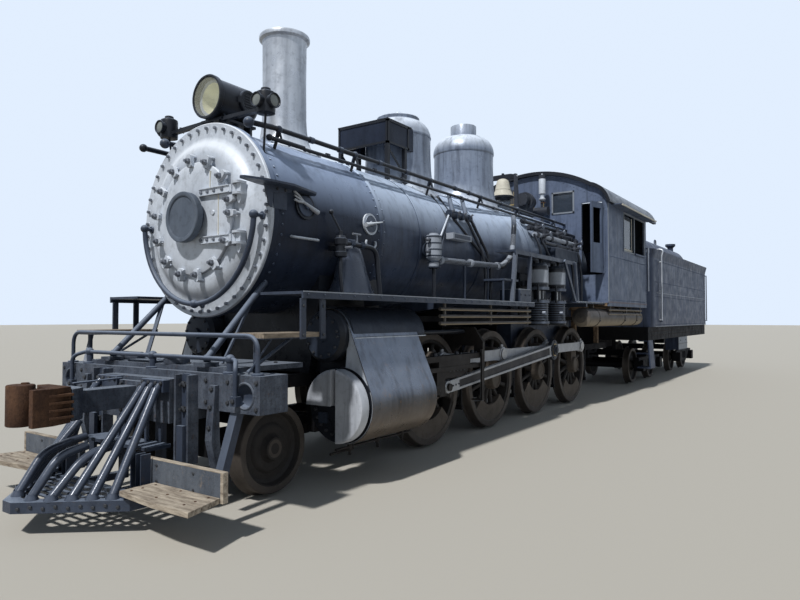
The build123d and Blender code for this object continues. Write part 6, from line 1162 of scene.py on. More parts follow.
def sand_gear(piece):
    """Sand pipes, their valves and the box under them."""
    for x in (2.42, 2.06):
        run = [(x, 0.56, 3.25), (x + 0.14, 0.655, 3.17), (x + 0.28, 0.76, 3.04), (x + 0.36, 0.826, 2.93)]
        piece.tube(rounded(run, 0.1), 0.028, SLATE)
    piece.rod((2.9, 0.832, 2.9), (2.28, 0.826, 2.925), 0.03, CHEST_PAINT, 16)
    for x in (2.86, 2.7, 2.54, 2.36):
        piece.rod((x - 0.022, 0.83, 2.915), (x + 0.022, 0.83, 2.913), 0.052, CHEST_PAINT, 8)
        piece.rod((x, 0.83, 2.91), (x, 0.905, 2.955), 0.014, NUT, 8)
    piece.tube([(2.92, 0.85, 2.88), (3.44, 0.935, 2.3)], 0.012, BRIGHT, 8)
    for x, foot in ((2.3, 1.98), (2.42, 2.14)):
        run = [(x, 0.835, 2.9), (foot, 0.96, 2.4), (foot + 0.02, 0.99, 2.05), (foot + 0.04, 0.99, 1.79)]
        piece.tube(rounded(run, 0.16), 0.02, BLACK, 10)
    piece.box((2.56, 3.04), (0.87, 0.99), (2.56, 2.636), FEED)
    piece.box((2.6, 3.0), (0.99, 0.996), (2.575, 2.62), SLATE)
    for x in (2.75, 2.1):
        piece.rod((x, 0.985, 2.27), (x, 0.985, 1.79), 0.02, SLATE, 12)
        piece.rod((x, 0.985, 2.24), (x, 0.985, 2.31), 0.036, SLATE, 12)


def pipe_fittings():
    """Rail knobs and couplings, the check valve and the sand gear of each side."""
    piece = Piece("pipe_fittings")
    for _ in piece.sides():
        rails(piece)
        check_valve(piece)
        sand_gear(piece)
    piece.finish("engine", slot="slate_paint")


def valves():
    """Safety valves, whistle, dynamo rings and the turret's stop valves."""
    piece = Piece("steam_valve_details")
    radius = 0.078
    for x, y, top in ((-1.35, -0.18, 4.02), (-1.64, -0.23, 3.98)):
        piece.lathe([(top - 0.3, radius + 0.026), (top - 0.275, radius + 0.026), (top - 0.27, radius),
                     (top - 0.04, radius), (top, radius - 0.02), (top, radius - 0.03), (top - 0.02, radius - 0.032),
                     (top - 0.02, 0)], (x, y, 0), "z", BRASS, 28)
    whistle = [(3.8, 0.04), (3.83, 0.064), (3.85, 0.064), (3.86, 0.04), (3.93, 0.036), (3.94, 0.064), (4.22, 0.064),
               (4.26, 0.05), (4.29, 0.018), (4.33, 0.016), (4.335, 0)]
    piece.lathe(whistle, (-1.56, 0.3, 0), "z", SILVER, 32)
    for step in range(6):
        x = -1.28 + 0.07 * step
        piece.lathe(hoop(x, x + 0.015, 0.122, 0.126), (0, 0.17, 3.74), "x", BLACK, 32, closed=True)
    for y in (-0.32, -0.12, 0.12, 0.32):
        piece.rod((-1.56, y, 3.66), (-1.56, y, 3.76), 0.016, BRASS, 10)
        piece.tube([(a, b, 3.765) for a, b in arc((-1.56, y), 0.045, 0, 360, 15)], 0.008, RUST, 6)
    piece.finish("engine", slot="black_paint")


def bell():
    """Cast bell with its dark lip, on a black yoke."""
    piece = Piece("bell_casting")
    centre = x, _, _ = (-0.46, 0, 0)
    shell = [(3.748, 0.19), (3.79, 0.168), (3.85, 0.143), (3.93, 0.126), (4.0, 0.114), (4.035, 0.098), (4.056, 0.07),
             (4.066, 0.04), (4.068, 0)]
    lip = [(3.748, 0.1905), (3.736, 0.1945), (3.718, 0.1925), (3.716, 0.184), (3.722, 0.18)]
    inside = [(3.722, 0.18), (3.76, 0.166), (3.82, 0.132), (3.93, 0.112), (4.0, 0.1), (4.03, 0.07), (4.036, 0)]
    piece.lathe(shell, centre, "z", CREAM)
    piece.lathe(lip, centre, "z", BLACK)
    piece.lathe(inside, centre, "z", BLACK, 40)
    bead = [(3.862, 0.141), (3.862, 0.1455), (3.872, 0.144), (3.872, 0.139)]
    piece.lathe(bead, centre, "z", CREAM, closed=True)
    piece.ball((x, 0, 3.77), 0.032, BLACK)
    piece.rod((x, 0, 3.78), (x, 0, 4.04), 0.01, BLACK, 8)
    hanger = [(-0.225, 4.055), (-0.225, 4.125), (-0.16, 4.14), (0.16, 4.14), (0.225, 4.125), (0.225, 4.055),
              (0.1, 4.05), (-0.1, 4.05)]
    piece.prism(hanger, "x", (x - 0.022, x + 0.022), BLACK)
    piece.rod((x, -0.28, 4.09), (x, 0.28, 4.09), 0.0175, STEEL, 16)
    piece.bolt((x, 0, 4.14), UPWARD, 0.026, 0.03, BLACK)
    piece.finish("bell", ["bell"], slot="pale_paint")


def cab_shade_sheets():
    """Black sheets across the cab's rear, standing in for the shade inside the cab, with the gangway to the tender left
    open between them.
    """
    piece = Piece("cab_shade_sheets")
    outline = [(0.34, 1.862), (1.43, 1.862), (1.43, 3.7), (1.1, 3.9), (0.8, 4.06), (0.34, 4.23)]
    for _ in piece.sides():
        piece.prism(outline, "x", (-4.64, -4.628), BLACK)
        piece.box((-4.652, -4.616), (0.325, 0.35), (1.862, 4.2), BLACK)
    piece.box((-4.64, -4.628), (-0.34, 0.34), (3.08, 4.23), BLACK)
    piece.finish("engine", slot="black_paint")


def firebox_pipes():
    """Steam and air pipes with their valves along the firebox, in front of the cab."""
    piece = Piece("firebox_pipes")
    rear = -1.48
    cocks = [(x, 0.96 + (3.01 - z) * 0.4, z)
             for x, z in ((0.34, 3.0), (0.12, 2.9), (-0.62, 3.01), (-1.38, 2.9), (-1.2, 2.79))]
    for _ in piece.sides():
        for z, y, start, radius, finish in ((3.115, 0.8, 0.55, 0.03, BLACK), (3.01, 0.9, 0.5, 0.034, BIG_END),
                                            (2.9, 0.965, 0.42, 0.04, FEED), (2.79, 1.01, 0.2, 0.032, BLACK)):
            inner = min(y, 0.86)
            run = [(start, y, z), (rear, y, z), (-1.62, inner, z), (-1.88, inner, z)]
            piece.tube(rounded(run, 0.06), radius, finish, 14)
            for share in (0.04, 0.36, 0.72, 0.96):
                x = start + (rear - start) * share
                piece.rod((x - 0.03, y, z), (x + 0.03, y, z), radius * 1.5, BIG_END, 8)
        piece.box((-0.1, -1.15), (0.96, 1.12), (2.56, 2.72), CHEST_PAINT)
        piece.box((-0.12, -1.17), (0.955, 1.125), (2.72, 2.732), PUMP)
        for x, y, z in cocks:
            piece.rod((x, y, z - 0.09), (x, y, z + 0.1), 0.026, BIG_END, 10)
            piece.rod((x, y, z), (x, y + 0.12, z + 0.02), 0.022, BIG_END, 10)
            piece.ball((x, y, z), 0.048, BIG_END)
        for x, foot in ((0.42, 0.4), (0.2, -0.2), (-0.95, -1.0), (-1.4, -1.42)):
            run = [(x, 0.965, 2.9), (x, 1.06, 2.7), (foot, 1.1, 2.3), (foot, 1.1, 1.85)]
            piece.tube(rounded(run, 0.1), 0.021, BLACK, 10)
    for side in SIDES:
        for x, y, z in cocks:
            piece.disc((x, side * (y + 0.12), z + 0.02), "y", 0.045, PUMP, 0.012)
    piece.finish("engine", slot="black_paint")


CAB_FRONT_X, CAB_REAR_X, CAB_HALF = -1.87, -4.67, 1.45


def cab_trim():
    """Rivet rows, window frames and panes, corner posts, roof edge and awning strip of the cab."""
    piece = Piece("cab_trim")
    x0, x1, y = CAB_FRONT_X, CAB_REAR_X, CAB_HALF
    for _ in piece.sides():
        for left, low, right, high, count in (
                (x0 - 0.035, 1.92, x0 - 0.035, 3.62, 34), (x1 + 0.035, 1.92, x1 + 0.035, 3.62, 34),
                (x0 - 0.12, 1.9, x1 + 0.12, 1.9, 44), (x0 - 0.12, 2.72, x1 + 0.12, 2.72, 44),
                (-2.8, 2.78, -2.8, 3.62, 16)):
            piece.rivets((left, y, low), (right, y, high), count, OUTWARD, CAB_PAINT)
        piece.box((x0, x1), (y, y + 0.006), (1.84, 1.868), CAB_STRIP)
        piece.box((x0 + 0.002, x0 - 0.03), (y, y + 0.008), (1.86, 3.7), CAB_EDGE)
        low, high, edge = 2.9, 3.64, 0.022
        for left, right in ((-2.92, -3.66), (-3.7, -4.48)):
            for a0, a1, z0, z1 in ((left + edge, right - edge, low - edge, low),
                                   (left + edge, right - edge, high, high + edge),
                                   (left + edge, left, low, high), (right, right - edge, low, high)):
                piece.box((a0, a1), (y - 0.01, y + 0.012), (z0, z1), CAB_EDGE)
        for left, right, top in ((-2.95, -3.66, 2.96), (-2.95, -2.98, 3.62), (-3.6, -3.63, 3.62)):
            piece.box((left, right), (y - 0.04, y - 0.03), (2.92, top), CREAM)
        piece.box((-2.98, -3.6), (y - 0.037, y - 0.034), (2.95, 3.62), PANE)
        piece.box((-2.12, -4.76), (1.44, 1.655), (3.694, 3.702), CAB_EDGE)
        piece.box((-2.12, -4.76), (1.64, 1.66), (3.676, 3.702), CREAM)
        front = [(0.385, 3.585), (0.805, 3.585), (0.805, 3.985), (0.385, 3.985)]
        for (a0, z0), (a1, z1) in zip(front, front[1:] + front[:1]):
            y_range = min(a0, a1) - 0.014, max(a0, a1) + 0.014
            z_range = min(z0, z1) - 0.014, max(z0, z1) + 0.014
            piece.box((x0, x0 + 0.014), y_range, z_range, CAB_EDGE)
        piece.box((x0 - 0.018, x0 - 0.014), (0.39, 0.795), (3.59, 3.98), PANE)
        rows = [((0.965, z), (0.965, z + 0.2), 5) for z in (3.0, 3.25, 3.5)]
        rows += [((1.405, 2.42), (1.405, 3.66), 26), ((1.405, 1.9), (0.95, 1.9), 9), ((1.36, 3.79), (0.2, 4.36), 18)]
        for start, end, count in rows:
            piece.rivets((x0, *start), (x0, *end), count, FORWARD, CAB_PAINT, 0.01)
        piece.tube([(-4.658, 1.495, 2.15), (-4.658, 1.495, 3.1)], 0.018, BRIGHT)
    piece.finish("engine", slot="slate_paint")


def pilot():
    """Pilot of bent pipes with flattened feet on a bolted base strip, with slats and plates behind."""
    piece = Piece("pilot_pipes")
    base = [(7.78, 0), (7.78, 0.06), (7.25, 0.7), (7.11, 0.71), (7.11, 0.64), (7.23, 0.63), (7.67, 0.03), (7.67, 0)]
    start, end = Vector((7.78, 0.06, 0)), Vector((7.25, 0.7, 0))
    along = (end - start).normalized()
    long_pipes = ((7.3, 0.56, 0.43), (7.392, 0.45, 0.335), (7.484, 0.34, 0.24))
    bent_pipes = ((7.579, 0.23, 0.33), (7.655, 0.1, 0.25))
    for side in piece.sides():
        piece.prism(base, "z", (0.15, 0.232), SLATE)
        for i in range(9):
            spot = start.lerp(end, 0.06 + 0.105 * i)
            piece.bolt((spot.x, spot.y, 0.197 if i % 2 else 0.185), (along.y, -along.x, 0), 0.014, 0.012, BOLT)
        for x, y, top_y in long_pipes:
            foot, top = Vector((x, y, 0.245)), Vector((6.86, top_y, 0.985))
            if side == RIGHT and y < 0.5:
                piece.tube([foot, foot.lerp(top, 0.62)], 0.033, PIPE, 18)
            else:
                piece.tube([foot, top], 0.033, PIPE, 18)
                tip = [top - (top - foot).normalized() * 0.06, top + Vector((-0.03, 0, 0.035))]
                piece.tube(tip, 0.034, PIPE, 14, 0.022)
        for x, y, reach in bent_pipes:
            knee = Vector((x - 0.75 * reach, y + 0.015, 0.52))
            tip = Vector((x - 1.6 * reach, y + 0.03, 0.565))
            piece.tube(rounded([(x, y, 0.245), knee, tip], 0.16, 7), 0.033, PIPE, 18)
            piece.tube([tip, tip + (tip - knee).normalized() * 0.003], 0.028, CREAM, 18)
        for x, y, _ in long_pipes + bent_pipes:
            collar = [(0.226, 0), (0.226, 0.052), (0.238, 0.05), (0.262, 0.036), (0.275, 0.032)]
            piece.lathe(collar, (x, y, 0), "z", PIPE, 18)
        piece.bolts(BOLT, FORWARD, 0.017, 0.018, *((6.83, y, 1.03) for y in (0.21, 0.29, 0.385, 0.455)))
        piece.boxes(SLATE, (6.77, 6.83, 0.18, 0.48, 0.955, 1.055), (6.68, 7.12, 0.24, 0.3, 0.15, 0.21),
                    (6.68, 6.72, 0.22, 0.32, 0.15, 0.7), (6.78, 6.8, 0.185, 0.225, 0.51, 0.965),
                    (6.75, 6.97, 0.03, 0.48, 0.505, 0.535),
                    *((7.02, 7.105, y, y + 0.01, 0.214, 0.52) for y in (0.47, 0.535, 0.6)))
    piece.box((7.06, 7.13), (-0.7, 0.7), (0.15, 0.214), SLATE)
    for i in range(6):
        x, reach = 7.185 + 0.078 * i, 0.645 - 0.078 * 1.16 * i
        piece.box((x, x + 0.03), (-reach, reach), (0.205, 0.217), SLATE)
    piece.finish("engine", ["pilot"], slot="slate_paint", bevel=0.003)


def beam_details():
    """Bolts, corner brackets and caps on the front beam and its posts."""
    piece = Piece("beam_details")
    face = [(0.545, 0.39), (0.675, 0.39), (0.675, 1.075), (0.64, 1.105), (0.56, 1.105), (0.545, 1.09)]
    rim = [(6.656, 0.088), (6.664, 0.09), (6.668, 0.098), (6.664, 0.106), (6.656, 0.108)]
    plug = [(6.601, 0), (6.601, 0.04), (6.618, 0.078), (6.652, 0.0875)]
    cap = [(1.16, 0), (1.16, 0.105), (1.168, 0.11), (1.205, 0.11), (1.212, 0.1), (1.222, 0.095), (1.226, 0)]
    for _ in piece.sides():
        piece.prism(face, "x", (6.68, 6.7), SLATE)
        for z in (0.47, 0.64, 0.82, 1.02):
            for y in (0.58, 0.64):
                piece.bolt((6.7, y, z), FORWARD, 0.027, 0.03, BOLT)
                piece.rod((6.728, y, z), (6.748, y, z), 0.013, BOLT, 8)
        piece.bolts(BOLT, FORWARD, 0.02, 0.018, (6.701, 0.92, 1), (6.714, 0.92, 0.86), (6.722, 0.92, 0.7))
        piece.bolts(BOLT, FORWARD, 0.018, 0.014, (6.66, 1.06, 1.06), (6.66, 1.06, 0.9), (6.66, 1.38, 1.07),
                    (6.66, 1.38, 0.87), (6.66, 0.8, 1.06), (6.66, 0.8, 0.89))
        piece.lathe(rim, (0, 1.255, 0.965), "x", CAST, 40)
        piece.lathe(plug, (0, 1.255, 0.965), "x", SLATE, 36)
        piece.bolts(BOLT, UPWARD, 0.02, 0.014, *((x, y, 1.16) for x in (5.95, 6.45) for y in (0.3, 0.85)))
        piece.box((6.5, 6.645), (0.62, 0.76), (1.16, 1.172), CAST)
    piece.lathe(cap, (6.5, 0.2, 0), "z", CAST, 32)
    piece.rod((6.42, -0.45, 1.195), (6.42, -0.85, 1.195), 0.045, CAST, 16)
    piece.box((6.3, 6.56), (-0.45, -0.05), (1.16, 1.178), CAST)
    piece.box((6.385, 6.4), (-0.54, 0.54), (0.36, 0.84), UNDER)
    piece.finish("engine", slot="slate_paint")


def footboards():
    """Plank treads and painted back boards with worn ends."""
    piece = Piece("footboard_planks")
    for _ in piece.sides():
        for x0, x1 in ((7.008, 7.098), (7.102, 7.205), (7.209, 7.345)):
            outer0, outer1 = (1.4 + 0.1 * (x - 7.005) / 0.345 for x in (x0, x1))
            inner = 1.096 if x1 > 7.31 else 0.646
            plank = [(x0, 0.646), (min(x1, 7.3), 0.646), (x1, inner), (x1, outer1), (x0, outer0)]
            piece.prism(plank, "z", (0.264, 0.302), BOARD)
        nails = ((x, y, 0.302) for y in (0.72, 1.02, 1.33) for x in (7.05, 7.16, 7.25))
        piece.bolts(RUST, UPWARD, 0.011, 0.004, *nails, sides=8)
        piece.box((6.962, 7.003), (0.424, 1.426), (0.264, 0.476), SIGN)
        piece.boxes(BOARD, (6.96, 7.006, 1.4, 1.431, 0.262, 0.48), (6.959, 7.004, 0.43, 1.4, 0.47, 0.48))
        screws = ((7.003, y, z) for y in (0.66, 1.1) for z in (0.31, 0.43))
        piece.bolts(BOLT, FORWARD, 0.013, 0.006, *screws, sides=10)
    piece.finish("engine", ["footboards"], slot="weathered_wood", bevel=0.003)


def front_rails():
    """Two grab rails across the whole beam, with their posts and lugs."""
    piece = Piece("beam_grab_rails")
    high = [(6.6, -1.33, 1.122), (6.6, -1.33, 1.42), (6.6, 1.33, 1.42), (6.6, 1.33, 1.122)]
    piece.tube(rounded(high, 0.13, 8), 0.0185, SLATE, 14)
    low = [(6.69, -1.18, 0.905), (6.69, -1.18, 1.19), (6.605, -1.09, 1.232), (6.605, 1.09, 1.232), (6.69, 1.18, 1.19),
           (6.69, 1.18, 0.905)]
    piece.tube(rounded(low, 0.1, 7), 0.0185, SLATE, 14)
    for y in (-1.02, 0, 1.02):
        piece.rod((6.6, y, 1.118), (6.602, y, 1.225), 0.03, SLATE)
        piece.lathe([(1.118, 0.062), (1.134, 0.06), (1.138, 0.032)], (6.6, y, 0), "z", SLATE, 20)
        piece.ball((6.604, y, 1.232), 0.04, SLATE)
    foot = (6.56, 0.685, 1.225)
    for _ in piece.sides():
        piece.box((6.66, 6.712), (1.148, 1.212), (0.885, 0.96), SLATE)
        piece.bolt((6.712, 1.18, 0.925), FORWARD, 0.02, 0.016, BOLT)
        piece.lathe([(1.12, 0.05), (1.134, 0.048), (1.138, 0.026)], (6.6, 1.33, 0), "z", SLATE, 18)
        piece.rod((5.88, 0.64, 1.89), foot, 0.029, SLATE, 20)
        piece.ball(foot, 0.036, SLATE)
        piece.box((6.5, 6.64), (0.61, 0.76), (1.172, 1.196), CAST)
        piece.rod((6.56, 0.685, 1.19), foot, 0.028, CAST)
        piece.bar((6.06, 0.655, 1.7), (6.3, 0.56, 1.165), 0.04, 0.016, SLATE)
    piece.finish("engine", ["front_handrails"], slot="slate_paint")


def front_step_treads():
    """Wooden treads on painted iron hangers."""
    piece = Piece("front_step_irons")
    for _ in piece.sides():
        for y0, y1 in ((1.012, 1.122), (1.126, 1.236), (1.24, 1.348)):
            piece.box((5.862, 6.558), (y0, y1), (1.402, 1.44), BOARD_LONG)
        piece.box((5.862, 6.558), (1.012, 1.348), (1.394, 1.402), SLATE)
        for x in (5.9, 6.14):
            piece.box((x - 0.03, x + 0.03), (1.349, 1.369), (1.385, 1.72), SLATE)
            piece.bolts(BOLT, OUTWARD, 0.014, 0.01, (x, 1.369, 1.42), (x, 1.369, 1.66))
        piece.rod((6.5, 1.2, 1.12), (6.5, 1.2, 1.394), 0.022, SLATE, 12)
        piece.bar((5.95, 1.05, 1.39), (6.45, 1.05, 1.122), 0.04, 0.014, SLATE)
        piece.bar((6.43, 1.3, 1.394), (6.56, 1.18, 1.125), 0.04, 0.014, SLATE)
    piece.finish("engine", ["front_steps"], slot="weathered_wood", bevel=0.002)


def coupler():
    """Rusted knuckle and guard arm, with the painted and chipped shank behind them."""
    piece = Piece("front_coupler_casting")
    face, z = 7.74, 0.9

    def slab(material, low, high, *points):
        piece.prism([(face - back, y) for back, y in points], "z", (z + low, z + high), material)

    slab(RUST, -0.138, 0.138, (0.34, 0.15), (0.18, 0.213), (0.032, 0.208), (0.032, 0.152), (0.17, 0.122),
         (0.2, -0.04), (0.25, -0.188), (0.33, -0.168))
    knuckle = [(-0.155, 0), (-0.155, 0.094), (-0.146, 0.1), (0.146, 0.1), (0.155, 0.094), (0.155, 0)]
    piece.lathe([(z + a, b) for a, b in knuckle], (face - 0.1, -0.122, 0), "z", RUST, 36)
    slab(RUST, -0.11, 0.11, (0.256, -0.178), (0.206, -0.04), (0.13, -0.024), (0.06, -0.06), (0.12, -0.214),
         (0.18, -0.222))
    piece.rod((face - 0.15, -0.16, z - 0.165), (face - 0.15, -0.16, z + 0.165), 0.03, RUST, 16)
    for level in (0.815, 0.87, 0.925, 0.98):
        piece.box((face - 0.33, face - 0.15), (0.15, 0.216), (level - 0.008, level + 0.012), RUST)
    slab(CAST, -0.128, 0.118, (0.345, 0.165), (0.345, -0.165), (0.42, -0.13), (0.47, -0.085), (0.47, 0.085),
         (0.42, 0.13))
    piece.boxes(CAST, (6.812, face - 0.44, -0.079, 0.079, z - 0.088, z + 0.088),
                (6.772, 6.812, -0.168, 0.168, z - 0.168, z + 0.128))
    piece.bolts(BOLT, FORWARD, 0.02, 0.018, *((6.812, y, level) for y in (-0.135, 0.135) for level in (0.77, 0.99)))
    piece.bar((6.83, -0.1, 1.045), (7.24, -0.13, 1.03), 0.03, 0.014, SLATE)
    piece.finish("engine", ["coupler_front"], slot="rusted_iron", bevel=0.004)


def driving_springs():
    """Leaf springs with their saddles and hangers over the frame, and the equalising bars between them."""
    piece = Piece("driving_springs")
    y = 0.56
    bends = ((-1, 0.03), (-0.5, 0.008), (0, 0), (0.5, 0.008), (1, 0.03))
    for _ in piece.sides():
        for x in AXLES.values():
            for leaf in range(7):
                half, z = 0.46 - 0.05 * leaf, 1.235 - 0.0165 * leaf
                run = [(x + half * share, y, z + rise) for share, rise in bends]
                for start, end in zip(run, run[1:]):
                    piece.bar(start, end, 0.095, 0.013, IRON)
            piece.box((x - 0.045, x + 0.045), (y - 0.056, y + 0.056), (1.1, 1.262), IRON)
            piece.bar((x, y, 1.11), (x, y, 1.005), 0.07, 0.05, IRON)
            for hanger_x in (x - 0.43, x + 0.43):
                piece.rod((hanger_x, y, 1.29), (hanger_x, y, 1.012), 0.016, IRON, 8)
                piece.bolt((hanger_x, y, 1.285), UPWARD, 0.03, 0.022, BOLT)
        piece.bar((4.05, 0.72, 1.545), (-1.75, 0.86, 1.545), 0.02, 0.07, UNDER)
    piece.finish("engine", slot="worn_iron")


def frame_gap_shade_sheets():
    """Dark plates across and along the frame, between it and the boiler, standing in for the shade in that gap."""
    piece = Piece("frame_gap_shade_sheets")
    piece.boxes(UNDER, *((x - 0.008, x + 0.008, -0.5, 0.5, 1.15, 1.7) for x in (4.02, 2.49, 0.83, -0.83)),
                (-1.75, 4, -0.012, 0.012, 1.12, 1.64))
    piece.finish("engine", slot="worn_iron")


def guide_details():
    """Oil slots, bolts and gibs on the crossheads, guides and their yokes."""
    piece = Piece("crosshead_details")
    for side in piece.sides():
        pin_x = 3.4 if side == LEFT else 3.763
        for i in range(5):
            x = pin_x - 0.36 + 0.085 * i
            piece.box((x, x + 0.04), (1.15, 1.154), (0.915, 0.945), BLACK)
        piece.bolts(BOLT, OUTWARD, 0.016, 0.01, (pin_x - 0.4, 1.149, 0.87), (pin_x + 0.24, 1.149, 0.72),
                    (pin_x + 0.24, 1.149, 0.95), (pin_x + 0.1, 1.149, 0.95))
        for x in (2.7, 3.1, 3.6, 4.05):
            piece.bolt((x, 1.12, 1.115), UPWARD, 0.017, 0.02, BOLT)
            piece.lathe([(1.115, 0.026), (1.15, 0.026), (1.156, 0.018), (1.156, 0)], (x + 0.1, 1.12, 0), "z", BOLT, 14)
        piece.bar((2.68, 1.205, 0.512), (2.68, 1.09, 0.5), 0.07, 0.016, STRAP)
        piece.box((2.645, 2.715), (1.192, 1.2125), (0.51, 1.16), STRAP)
    piece.finish("engine", slot="worn_iron")


def pumps():
    """Two air pumps with finned air cylinders, bolted heads and pipes, on the left side only."""
    piece = Piece("air_pump_details")
    y, base = 1.19, 1.45
    for x in (0.81, 0.09):
        axis = (x, y, 0)
        for z, top in ((1.475, 1.505), (1.785, 1.825), (1.985, 2.025)):
            piece.lathe(hoop(z, top, 0.158, 0.164), axis, "z", PUMP)
            spots = ((x + a, y + b, top) for a, b in circle_spots(14, 0.15, 8))
            piece.bolts(BOLT, UPWARD, 0.011, 0.014, *spots)
        for fin in range(7):
            z = base + 0.085 + 0.036 * fin
            piece.lathe(hoop(z, z + 0.012, 0.139, 0.15), axis, "z", PUMP, 40)
        piece.lathe(hoop(base + 0.62, base + 0.86, 0.1505, 0.154), axis, "z", FEED)
        for z in (base + 0.63, base + 0.85):
            piece.lathe(hoop(z - 0.012, z + 0.012, 0.153, 0.1565), axis, "z", BOLT)
        for rod_x in (x + 0.06, x - 0.06):
            piece.rod((rod_x, y + 0.045, base + 0.39), (rod_x, y + 0.045, base + 0.53), 0.015, STEEL, 10)
        steam = [(x - 0.05, 1.21, base + 0.935), (x - 0.05, 1.21, base + 1.06), (x - 0.05, 1.06, base + 1.09)]
        piece.tube(rounded(steam, 0.06), 0.022, BLACK, 10)
        piece.ball((x + 0.06, y - 0.02, base + 0.985), 0.046, PUMP)
        air = [(x + 0.13, 1.25, base + 0.36), (x + 0.2, 1.27, base + 0.36), (x + 0.2, 1.27, base + 0.62)]
        piece.tube(rounded(air, 0.05), 0.015, BLACK, 10)
        piece.rod((x + 0.1, 1.3, base + 0.18), (x + 0.1, 1.35, base + 0.18), 0.03, PUMP)
    piece.finish("engine", slot="black_paint")


def reservoir_straps():
    """Black straps round the main reservoirs, and their end rings."""
    piece = Piece("reservoir_straps")
    axis = (0, 1.25, 1.57)
    for _ in piece.sides():
        for x in (-1.5, -3.1, -4):
            piece.lathe(hoop(x - 0.024, x + 0.024, 0.1655, 0.171), axis, "x", BLACK)
            piece.bolt((x, 1.411627, 1.511173), (0, 1, -0.4), 0.016, 0.014, BOLT)
        for x in (-0.995, -4.405):
            piece.lathe(hoop(x - 0.006, x + 0.006, 0.1652, 0.1675), axis, "x", TAN)
    piece.finish("engine", slot="black_paint")


def walkway_trim():
    """Edge rivets and pale edge strips of the running boards, and the step plate on each with its bolts."""
    piece = Piece("walkway_trim")
    for _ in piece.sides():
        piece.rivets((6.12, 1.402, 1.752), (1.5, 1.402, 1.752), 24, OUTWARD, SLATE, 0.01)
        piece.rivets((-0.4, 1.382, 1.815), (-1.82, 1.382, 1.815), 9, OUTWARD, SLATE, 0.01)
        piece.boxes(FEED, (1.452, 6.178, 1.398, 1.4035, 1.772, 1.7815), (-1.862, -0.352, 1.378, 1.3835, 1.832, 1.8415))
        piece.bolts(BOLT, OUTWARD, 0.012, 0.01, (1.55, 1.372, 1.88), (1.7, 1.372, 1.88), (1.85, 1.372, 1.88))
        piece.box((1.535, 1.865), (1.068, 1.372), (1.9505, 1.962), CAB_EDGE)
    piece.finish("engine", slot="slate_paint")


TENDER_FRONT_X, TENDER_REAR_X, TENDER_HALF = -4.98, -12.05, 1.45


def tender_trim():
    """Rivet rows, the mid seam, the lip's strip, corner handrails and the bolts of the tender's frame."""
    piece = Piece("tender_trim")
    front, rear, y = TENDER_FRONT_X, TENDER_REAR_X, TENDER_HALF
    rail_x, rail_y = front - 0.86, 1.515
    for _ in piece.sides():
        for z in (1.4, 2.06, 2.4, 2.9):
            piece.rivets((front - 0.47, y, z), (rear + 0.05, y, z), 84, OUTWARD, TENDER_PAINT, 0.01, 0.005)
        for x in (-5.95, -7.97, -10, -11.98):
            piece.rivets((x, y, 1.46), (x, y, 2.86), 20, OUTWARD, TENDER_PAINT, 0.01, 0.005)
        piece.boxes(TENDER_LIGHT, (front - 0.6, rear + 0.02, y, y + 0.007, 2.14, 2.156),
                    (front - 0.44, rear + 0.02, y, y + 0.012, 1.352, 1.372))
        for z in (1.16, 1.25):
            piece.rivets((front - 0.2, 1.402, z), (rear + 0.1, 1.402, z), 70, OUTWARD, TYRE)
        run = [(rail_x, rail_y, 1.5), (rail_x, rail_y, 3), (rail_x - 0.02, 1.545, 3.155),
               (rail_x - 0.02, 1.47, 3.19), (rail_x - 0.02, 1.3, 3.16)]
        piece.tube(rounded(run, 0.05), 0.016, BRIGHT, 10)
        for z in (1.52, 2.2, 2.88):
            piece.rod((rail_x, y, z), (rail_x, rail_y, z), 0.013, BRIGHT, 8)
        piece.box((-9.42, -8.28), (1.38, 1.392), (0.72, 1.046), CAB_EDGE)
        piece.box((-9.44, -8.26), (1.375, 1.4), (0.862, 0.876), BLACK)
        piece.bolts(BOLT, OUTWARD, 0.018, 0.012, (-9.2, 1.392, 0.96), (-8.5, 1.392, 0.96))
        for x in (-5.55, -7, -8.45, -9.9):
            piece.rivets((x, 1.181, 3.16), (x, 1.181, 3.21), 2, OUTWARD, TENDER_PAINT)
    half = [(1.183, 3.15), (1.183, 3.212), (0.924, 3.412), (0.828, 3.553), (0.45, 3.655)]
    seam = half + [(0, 3.684)] + [(-across, z) for across, z in half[::-1]]
    for x in (-5.7, -7.95, -10.17):
        piece.tube([(x, across, z) for across, z in seam], 0.007, TENDER_PAINT, 6)
    piece.finish("tender", slot="tender_paint")


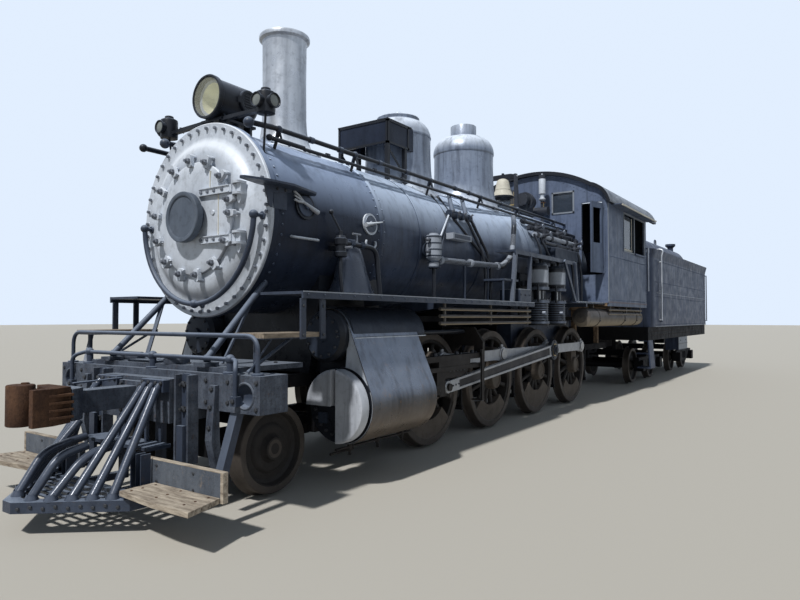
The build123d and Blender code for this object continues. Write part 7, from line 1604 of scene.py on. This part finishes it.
# What each CAD node that stays is made of; iron where no other finish is named
FINISHES = (
    (GRAPHITE, "boiler sand_dome steam_dome"), (SOOT, "smokebox number_box"), (SILVER, "smokebox_front smokebox_door"),
    (BRIGHT, "stack cylinder_covers"), (JACKET, "cylinder_jackets"),
    (BLACK, "cylinder_saddle cylinders headlight class_lamps boiler_pipes air_pumps cab_roof backhead"),
    (CREAM, "bell"), (BIG_END, "steam_fittings"), (TAN, "air_reservoirs"), (FLOORING, "cab_floor"),
    (SLATE, "walkways pilot footboard_brackets front_handrails smokebox_rails"), (CAB_FRONT_LIT, "cab_front"),
    (CAB_PAINT, "cab_sides cab_door_left cab_door_right"), (CAST, "pilot_beam"), (BOARD, "footboards"),
    (BOARD_LONG, "front_steps"), (RUST, "coupler_front coupler_rear"),
    (STEEL, "main_rods side_rod_left side_rod_right"),
    (UNDER, "ash_pan brake_gear frame pony_truck tender_frame truck_front truck_rear"),
    (TENDER_PAINT, "tender_tank fuel_tank tender_fittings"),
)
FLOOR_REACH = 150


def dress_nodes():
    """Gives every CAD node that stays its own finish."""
    for name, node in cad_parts.items():
        node.data.materials.clear()
        node.data.materials.append(next((finish for finish, names in FINISHES if name in names.split()), IRON))


def add_floor():
    """The plain pale floor."""
    mesh = bpy.data.meshes.new("floor")
    reach = FLOOR_REACH
    mesh.from_pydata([(-reach, -reach, 0), (reach, -reach, 0), (reach, reach, 0), (-reach, reach, 0)], [],
                     [(0, 1, 2, 3)])
    look = Look("pale_floor", {"Roughness": 0.9})
    grain = wire(look.tree, "TexNoise", {"Scale": 0.35, "Detail": 8}).outputs["Fac"]
    look.set({"Base Color": look.gradient(grain, (0, (0.44, 0.42, 0.375)), (1, (0.52, 0.5, 0.45)))})
    mesh.materials.append(look.material)
    link_object("floor", mesh)


add_camera()
add_world()
add_light("key", **SUN)
add_light("fill", **FILL)
add_floor()
dress_nodes()
for build in (smokebox_front, smokebox_door, front_rail, stack, domes, headlight, class_lamps, number_box, plate_wheels,
              cylinder_jackets, cylinder_covers, cylinder_fittings, main_rods, side_rods, boiler_trim, smokebox_sides,
              steam_pipe_casings, lubricator, pipe_fittings, valves, bell, cab_shade_sheets, firebox_pipes, cab_trim, pilot,
              beam_details, footboards, front_rails, front_step_treads, coupler, driving_springs, frame_gap_shade_sheets,
              guide_details, pumps, reservoir_straps, walkway_trim, tender_trim):
    build()
for axle, axle_x in AXLES.items():
    driver(axle, axle_x)

bpy.context.scene.view_settings.view_transform = "Standard"
